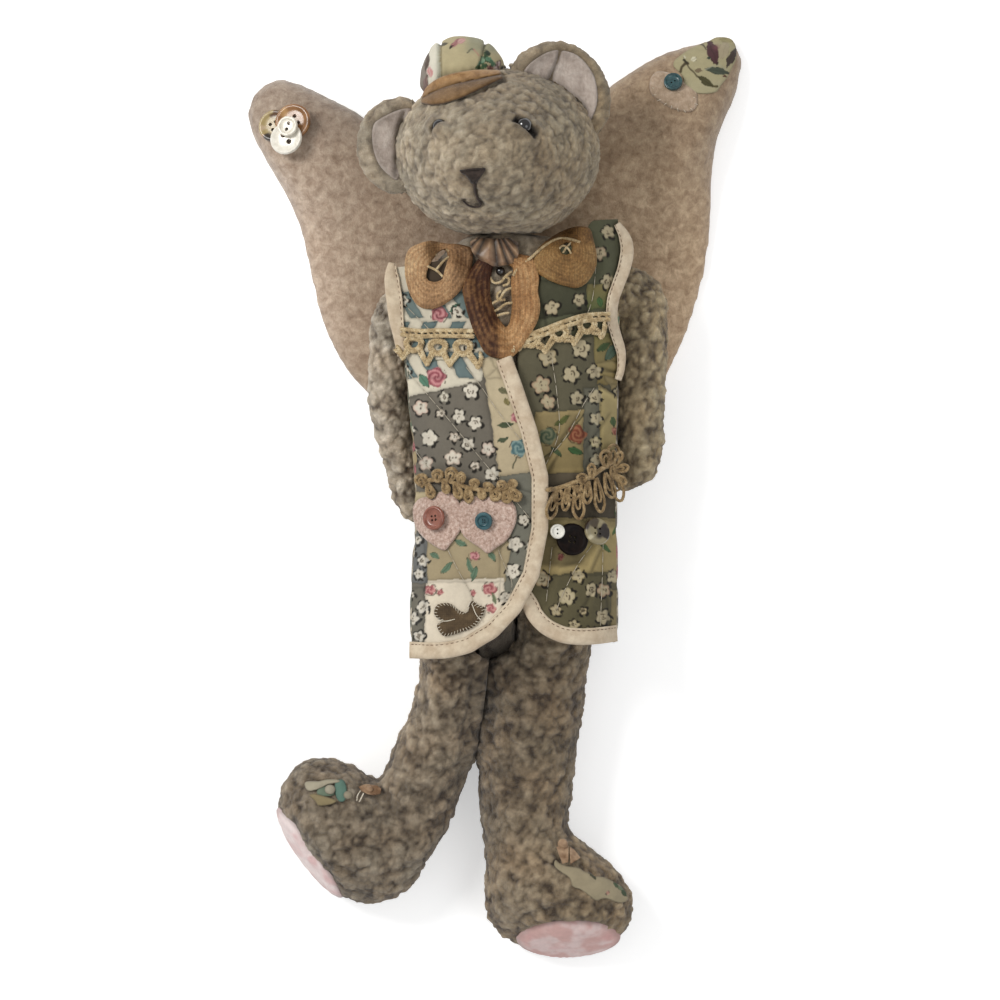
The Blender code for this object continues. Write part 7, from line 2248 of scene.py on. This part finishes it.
TIP_OUTLINE = [(680.3, 88.9), (688, 91.6), (698.7, 93.6), (708.7, 93.6), (716, 92), (719.4, 88), (722, 84),
               (727.2, 77.6), (731, 70), (735.4, 61), (736.4, 54), (735.6, 46), (731.6, 39.6), (725, 37.4),
               (716, 37.6), (709, 41), (700, 44.6), (690.5, 48.6), (681.5, 54.6), (674.5, 60.6), (673.5, 66),
               (677, 70.5), (682.3, 76), (683.4, 83)]
tip, far = patch("wing_tip_patch_cut", TIP_OUTLINE, 200, wing_relief, 0.25, 0.6, 0.4, CLOTH, "torso",
                 "cap_cotton", 0.3, 0.5)
points = corners(tip)
# Painted shade along the patch's edge.
paint(tip, print_tip(points).c * (1 - 0.15 * smooth(1 - far / 0.8))[:, None])
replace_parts(tip, "wing_tip_patch")


# Soles, leaves and bows on the feet

SOLE_PUFF = 4.0
SOLE_COLOURS = {"left": ("d3aca6", "e2cac6"), "right": ("e6cdca", "f2e2df")}


def make_sole(side):
    """Cotton sole stretched over the end of the foot, puffed between its seams."""
    node = "sole_" + side
    middle, long, wide, out, local, turn, rim, _ = SOLES[side]
    around, rings = len(turn), 26
    inner = np.percentile(local[:, 2], 5) - 0.6
    share = np.linspace(0.02, 1, rings)[:, None]
    a, b = rim * np.cos(turn) * share, rim * np.sin(turn) * share
    flat = np.stack([a, b, a * 0], -1)
    creases = layered(flat.reshape(-1, 3) * (1.0, 2.2, 1.0), 9.0, 951, 2).reshape(a.shape) - 0.5
    gathers = np.sin(turn * 26 + 3 * np.sin(turn * 4))[None, :] * 0.14
    gathers = gathers * smooth((share - 0.7) / 0.2) * smooth((0.97 - share) / 0.05)
    puff = (local[:, 2].max() - inner) + SOLE_PUFF * np.sqrt(np.clip(1 - share ** 2.4, 0, 1)) - 2.2
    puff = puff + 1.3 * creases * (1 - share ** 4) + gathers
    plane = middle + a[..., None] * long + b[..., None] * wide
    upper = plane + (inner + np.maximum(puff, 0.5))[..., None] * out
    lower = plane + inner * out
    piece = new_object(node + "_cotton", *slab(upper, lower, True), SOLE, "leg_" + side, "sole_cloth")
    bm = bmesh.new()
    bm.from_mesh(piece.data)
    bm.verts.ensure_lookup_table()
    hub = [bm.verts[i] for i in range(around)]
    back = [bm.verts[rings * around + i] for i in range(around)]
    inner_ends = set(hub + back)
    for f in [f for f in bm.faces if all(v in inner_ends for v in f.verts)]:
        bm.faces.remove(f)
    bm.faces.new(hub)
    bm.faces.new(back[::-1])
    bmesh.ops.recalc_face_normals(bm, faces=bm.faces)
    bm.to_mesh(piece.data)
    bm.free()
    made = corners(piece)
    made[:, 2] = np.maximum(made[:, 2], 0.1)
    set_corners(piece, made)
    wear = layered(made, 6.0, 953, 3)
    faded, clean = SOLE_COLOURS[side]
    colours = mix(rgb(faded), rgb(clean), smooth((wear - 0.35) / 0.3))
    spots = smooth((value_noise(made, 5.0, 957) - 0.62) / 0.2) * 0.35
    colours = mix(colours, rgb("d8a09f"), spots)
    # The cotton is painted darker towards its rim.
    darker_rim = np.tile(np.repeat(smooth((share[:, 0] - 0.86) / 0.12), around), 2)
    paint(piece, colours * (1 - 0.25 * darker_rim)[:, None])
    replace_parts(piece, node)


for side in ("right", "left"):
    make_sole(side)

foot_left = Relief([LIMBS["leg_left"]], (12.0, -192.0, 62.0, -140.0), 0.8, 0.9, 8.0, 1)
foot_right = Relief([LIMBS["leg_right"]], (-92.0, -150.0, -46.0, -108.0), 0.8, 0.9, 8.0, 1)


def leaf_patch(name, outline, relief, body, base, lift, thickness, prints=None, crown=0.4):
    """Cut-out leaf of printed cotton laid on the pile."""
    piece, far = patch(name, outline, 130, relief, lift, thickness, 0.4, CLOTH, body, body and "patchwork",
                       crown, 0.5)
    points = corners(piece)
    p = Print(points, base, 41)
    if prints:
        prints(p)
    shade = (1 - 0.2 * smooth(1 - far / 0.7)) * (0.92 + 0.16 * layered(points, 4.0, 44, 2))
    paint(piece, p.c * shade[:, None])
    return piece


def left_leaf_print(p):
    """Small leaves printed on the left foot's patch."""
    p.lay(smooth((p.u - 578) / 20) * 0.35, "a0957a")
    for x, y, long, angle, colour in ((593, 875, 5, 0.9, "4b4a35"), (590, 871, 4, 0.4, "5b5743"),
                                      (616.5, 884.5, 4.5, 0.8, "4c5a42"), (624, 892, 5, 1.0, "43513b"),
                                      (621, 888, 3.5, 0.5, "6f7a5e")):
        p.leaf(x, y, long, 2.2, angle, colour, "3a3d2c")
    p.rose(608, 893.5, 2.6, "ab8272", "8a6454", "b99a8a")


leaf_left = leaf_patch("foot_leaf_left",
                       [(555.3, 859.8), (557.0, 860.6), (561.4, 863.9), (570, 866.2), (578.8, 867.8),
                        (583.9, 871.0), (590.5, 873.5), (595.0, 876.5), (598.5, 876.2), (605.3, 877.6),
                        (613.5, 881.5), (620.5, 885.8), (626.5, 893.0), (627.5, 899.5), (622.7, 902.4),
                        (616.5, 902.0), (607.3, 898.6), (601.5, 898.8), (596.1, 900.4), (588, 894.7),
                        (580.8, 889.6), (572.7, 886.3), (569.6, 878.2), (561.4, 872.2), (555.3, 867.2),
                        (554.0, 862.9)], foot_left, "leg_left", "9a8e74", 0.3, 0.7, left_leaf_print)

def round_bud(u, v, wide, tall):
    return [(u + wide * math.cos(t), v + tall * math.sin(t)) for t in np.arange(0, 6, 0.785)]


# Parts of the right leaf: outline, colour, lift, thickness and how far its middle swells.
RIGHT_LEAF = {"pale": ([(305, 782.6), (309, 781.0), (319, 781), (328, 779.2), (338, 779.6), (340, 781.8),
                        (333, 783.4), (328.3, 784.4), (322.3, 787.2), (314.4, 790.2), (308.5, 790.6),
                        (305.4, 787.0)], "a59d88", 0.9, 0.8, 0.4),
              "teal": ([(336.5, 780.4), (343, 779.8), (346.4, 786), (346.6, 796), (343.6, 801.4),
                        (338.5, 800.6), (335.4, 794), (334.6, 786)], "5d7a6d", 0.5, 0.7, 0.4),
              "olive": ([(309.6, 795.5), (313.5, 793.4), (319, 794.6), (330, 797.6), (336.5, 800.6),
                         (333, 803.6), (325.7, 805.2), (318.6, 805.4), (315.4, 801.2)],
                        "8a7c5c", 0.7, 0.8, 0.4),
              "green": ([(318, 787.6), (325, 785.4), (333, 788), (334, 794.5), (326, 796.4),
                         (317.6, 794.4)], "6d7c69", 0.3, 0.5, 0.4),
              "bud": (round_bud(330.2, 789.2, 5.4, 4.9), "a19a87", 1.3, 1.0, 1.0),
              "bud_small": (round_bud(348.3, 794.8, 4.6, 4.2), "968c78", 1.2, 1.0, 0.9)}
leaf_parts = [leaf_patch("foot_leaf_part_" + part, outline, foot_right, None, colour,
                         lift, thickness, crown=crown)
              for part, (outline, colour, lift, thickness, crown) in RIGHT_LEAF.items()]


def joined(name, pieces, body, slot):
    """One object from several painted ones."""
    tints = []
    for piece in pieces:
        data = np.zeros(len(piece.data.vertices) * 4, np.float32)
        piece.data.attributes["Tint"].data.foreach_get("color", data)
        tints.append(data.reshape(-1, 4)[:, :3])
    parts = [(corners(piece), [tuple(f.vertices) for f in piece.data.polygons]) for piece in pieces]
    made = new_object(name, *merged(parts), pieces[0].data.materials[0], body, slot)
    paint(made, np.vstack(tints))
    for piece in pieces:
        bpy.data.objects.remove(piece)
    return made


leaf_right = joined("foot_leaf_right", leaf_parts, "leg_right", "patchwork")


def ribbon_loop(relief, left, right, lifts):
    """Short length of ribbon between two pixel lines; lifts are its heights over the pile along the way."""
    count, wide = 26, 9
    a, b = open_path(left, count), open_path(right, count)
    share = np.linspace(0, 1, wide)[None, :, None]
    px = a[:, None] * (1 - share) + b[:, None] * share
    x, y = relief.from_px(px[..., 0], px[..., 1])
    rise = np.interp(np.linspace(0, 1, count), np.linspace(0, 1, len(lifts)), lifts)[:, None]
    edge = 0.35 * np.abs(np.linspace(-1, 1, wide))[None, :] ** 3
    z = relief.at(x, y) + rise + edge
    return slab(np.stack([x, y, z + 0.45], -1), np.stack([x, y, z], -1))


def bow(side, body, relief, loops, knot, radius):
    """Two folded loops and a knot, cut from one short ribbon."""
    spot = px_path(relief, [knot, (knot[0] + 0.5, knot[1])], 2, 1.9)[0]
    parts = [ball(spot, radius, 0.75, 10, 16)] + [ribbon_loop(relief, *loop) for loop in loops]
    made = new_object("foot_bow_" + side, *merged(parts), RIBBON, body, "satin")
    face_outward(made)


bow("left", "leg_left", foot_left, [([(556.2, 846.2), (558.6, 853.5), (562.4, 863.0)],
                                     [(568.8, 845.6), (568.6, 853), (568.0, 861.4)], (1.0, 2.0, 3.0)),
                                    ([(569.4, 845.8), (569.6, 854), (570.2, 863.4)],
                                     [(574.5, 849.5), (577.6, 853.4), (580.4, 857.0)], (1.0, 1.8, 2.6))],
    (562.6, 843.4), 2.3)
bow("right", "leg_right", foot_right, [([(358.6, 786.4), (366.0, 783.6), (372.4, 784.2)],
                                        [(361.5, 790.6), (368.0, 793.6), (374.8, 795.0)], (1.0, 2.0, 1.8)),
                                       ([(370.6, 784.6), (376.0, 784.4), (381.4, 788.2)],
                                        [(371.2, 793.0), (376.0, 794.2), (380.4, 793.4)], (1.6, 2.4, 1.6))],
    (369.4, 789.6), 1.7)
ends = yarn(px_path(foot_right, [(363.7, 793), (361.4, 797.6), (359.4, 801.6)], 10, 1.2), 0.3, 1.2)
ends += yarn(px_path(foot_right, [(360.6, 790.4), (357.6, 795.4), (357.0, 800.4)], 10, 1.2), 0.25, 1.2)
new_object("foot_bow_right_threads", *merged(ends), THREAD, "leg_right", "satin")


# Discs and pins inside, which show only in a section

def hidden_material(name, base, light, roughness, metal):
    """Board or metal of the joints inside the bear."""
    n = Nodes(name, roughness, Metallic=metal)
    colour = n.ramp(n.noise(1.6, 4, 0.7), [(0.35, base), (0.65, light)])
    n.colour(n.shade(colour, 0.92, 1.05, n.noise(0.4, 2)))
    n.bump((n.noise(0.6, 3), 0.03))
    return n.material


HARDBOARD = hidden_material("pressed_board", "6b4f33", "86684a", 0.8, 0.0)
STEEL = hidden_material("split_pin_steel", "8f9092", "a9aaac", 0.35, 1.0)
for node, thing in frame["nodes"].items():
    if node.endswith("_disc") or node.endswith("_pin"):
        thing.data.materials.clear()
        thing.data.materials.append(STEEL if node.endswith("_pin") else HARDBOARD)


# Camera, floor and light

FLOOR_GLOW = 0.42
WORLD_LEVEL = 0.58
AIM = (0, 0, 0.03)
KEY = ("key", (-0.95, 0.65, 1.15), 0.6, 14.5, (1.0, 0.99, 0.97))
FILL = ("fill", (0.9, -0.35, 1.3), 1.0, 4.5, (0.97, 0.985, 1.0))
SENSOR = 36.0


def lamp(name, place, size, power, colour):
    """Round area lamp that looks at the bear; place and size are in metres."""
    light = bpy.data.lights.new(name, "AREA")
    light.shape = "DISK"
    light.size = size
    light.energy = power
    light.color = colour
    thing = bpy.data.objects.new(name, light)
    thing.location = place
    thing.rotation_euler = (Vector(AIM) - Vector(place)).to_track_quat("-Z", "Y").to_euler()
    bpy.context.scene.collection.objects.link(thing)


def make_stage():
    """Pale floor that glows a little for the camera, a white world, two lamps and the camera."""
    bpy.ops.mesh.primitive_plane_add(size=6.0, location=(0, 0, -0.0004))
    floor = bpy.context.object
    floor.name = "floor"
    shade = bpy.data.materials.new("pale_floor")
    shade.use_nodes = True
    tree = shade.node_tree
    surface = tree.nodes["Principled BSDF"]
    surface.inputs["Base Color"].default_value = (0.86, 0.86, 0.86, 1)
    surface.inputs["Roughness"].default_value = 0.9
    rays = tree.nodes.new("ShaderNodeLightPath").outputs
    glow = rays["Is Camera Ray"]
    for other in (rays["Is Glossy Ray"], rays["Is Transmission Ray"], FLOOR_GLOW):
        node = tree.nodes.new("ShaderNodeMath")
        tree.links.new(glow, node.inputs[0])
        if other is FLOOR_GLOW:
            node.operation = "MULTIPLY"
            node.inputs[1].default_value = FLOOR_GLOW
        else:
            node.operation = "MAXIMUM"
            tree.links.new(other, node.inputs[1])
        glow = node.outputs[0]
    surface.inputs["Emission Color"].default_value = (1, 1, 1, 1)
    tree.links.new(glow, surface.inputs["Emission Strength"])
    floor.data.materials.append(shade)

    world = bpy.data.worlds.new("studio")
    world.use_nodes = True
    bpy.context.scene.world = world
    tree = world.node_tree
    back = tree.nodes["Background"]
    back.inputs["Color"].default_value = (1.0, 1.0, 1.0, 1)
    back.inputs["Strength"].default_value = WORLD_LEVEL
    lamp(*KEY)
    lamp(*FILL)

    data = bpy.data.cameras.new("camera")
    data.sensor_width = SENSOR
    data.lens = SENSOR * (CAMERA[2] - VIEW_PLANE) / (2 * PICTURE_MIDDLE * PX)
    data.clip_start, data.clip_end = 0.05, 20.0
    camera = bpy.data.objects.new("camera", data)
    camera.location = CAMERA * MM
    bpy.context.scene.collection.objects.link(camera)
    bpy.context.scene.camera = camera
    bpy.context.scene.view_settings.view_transform = "Standard"


make_stage()
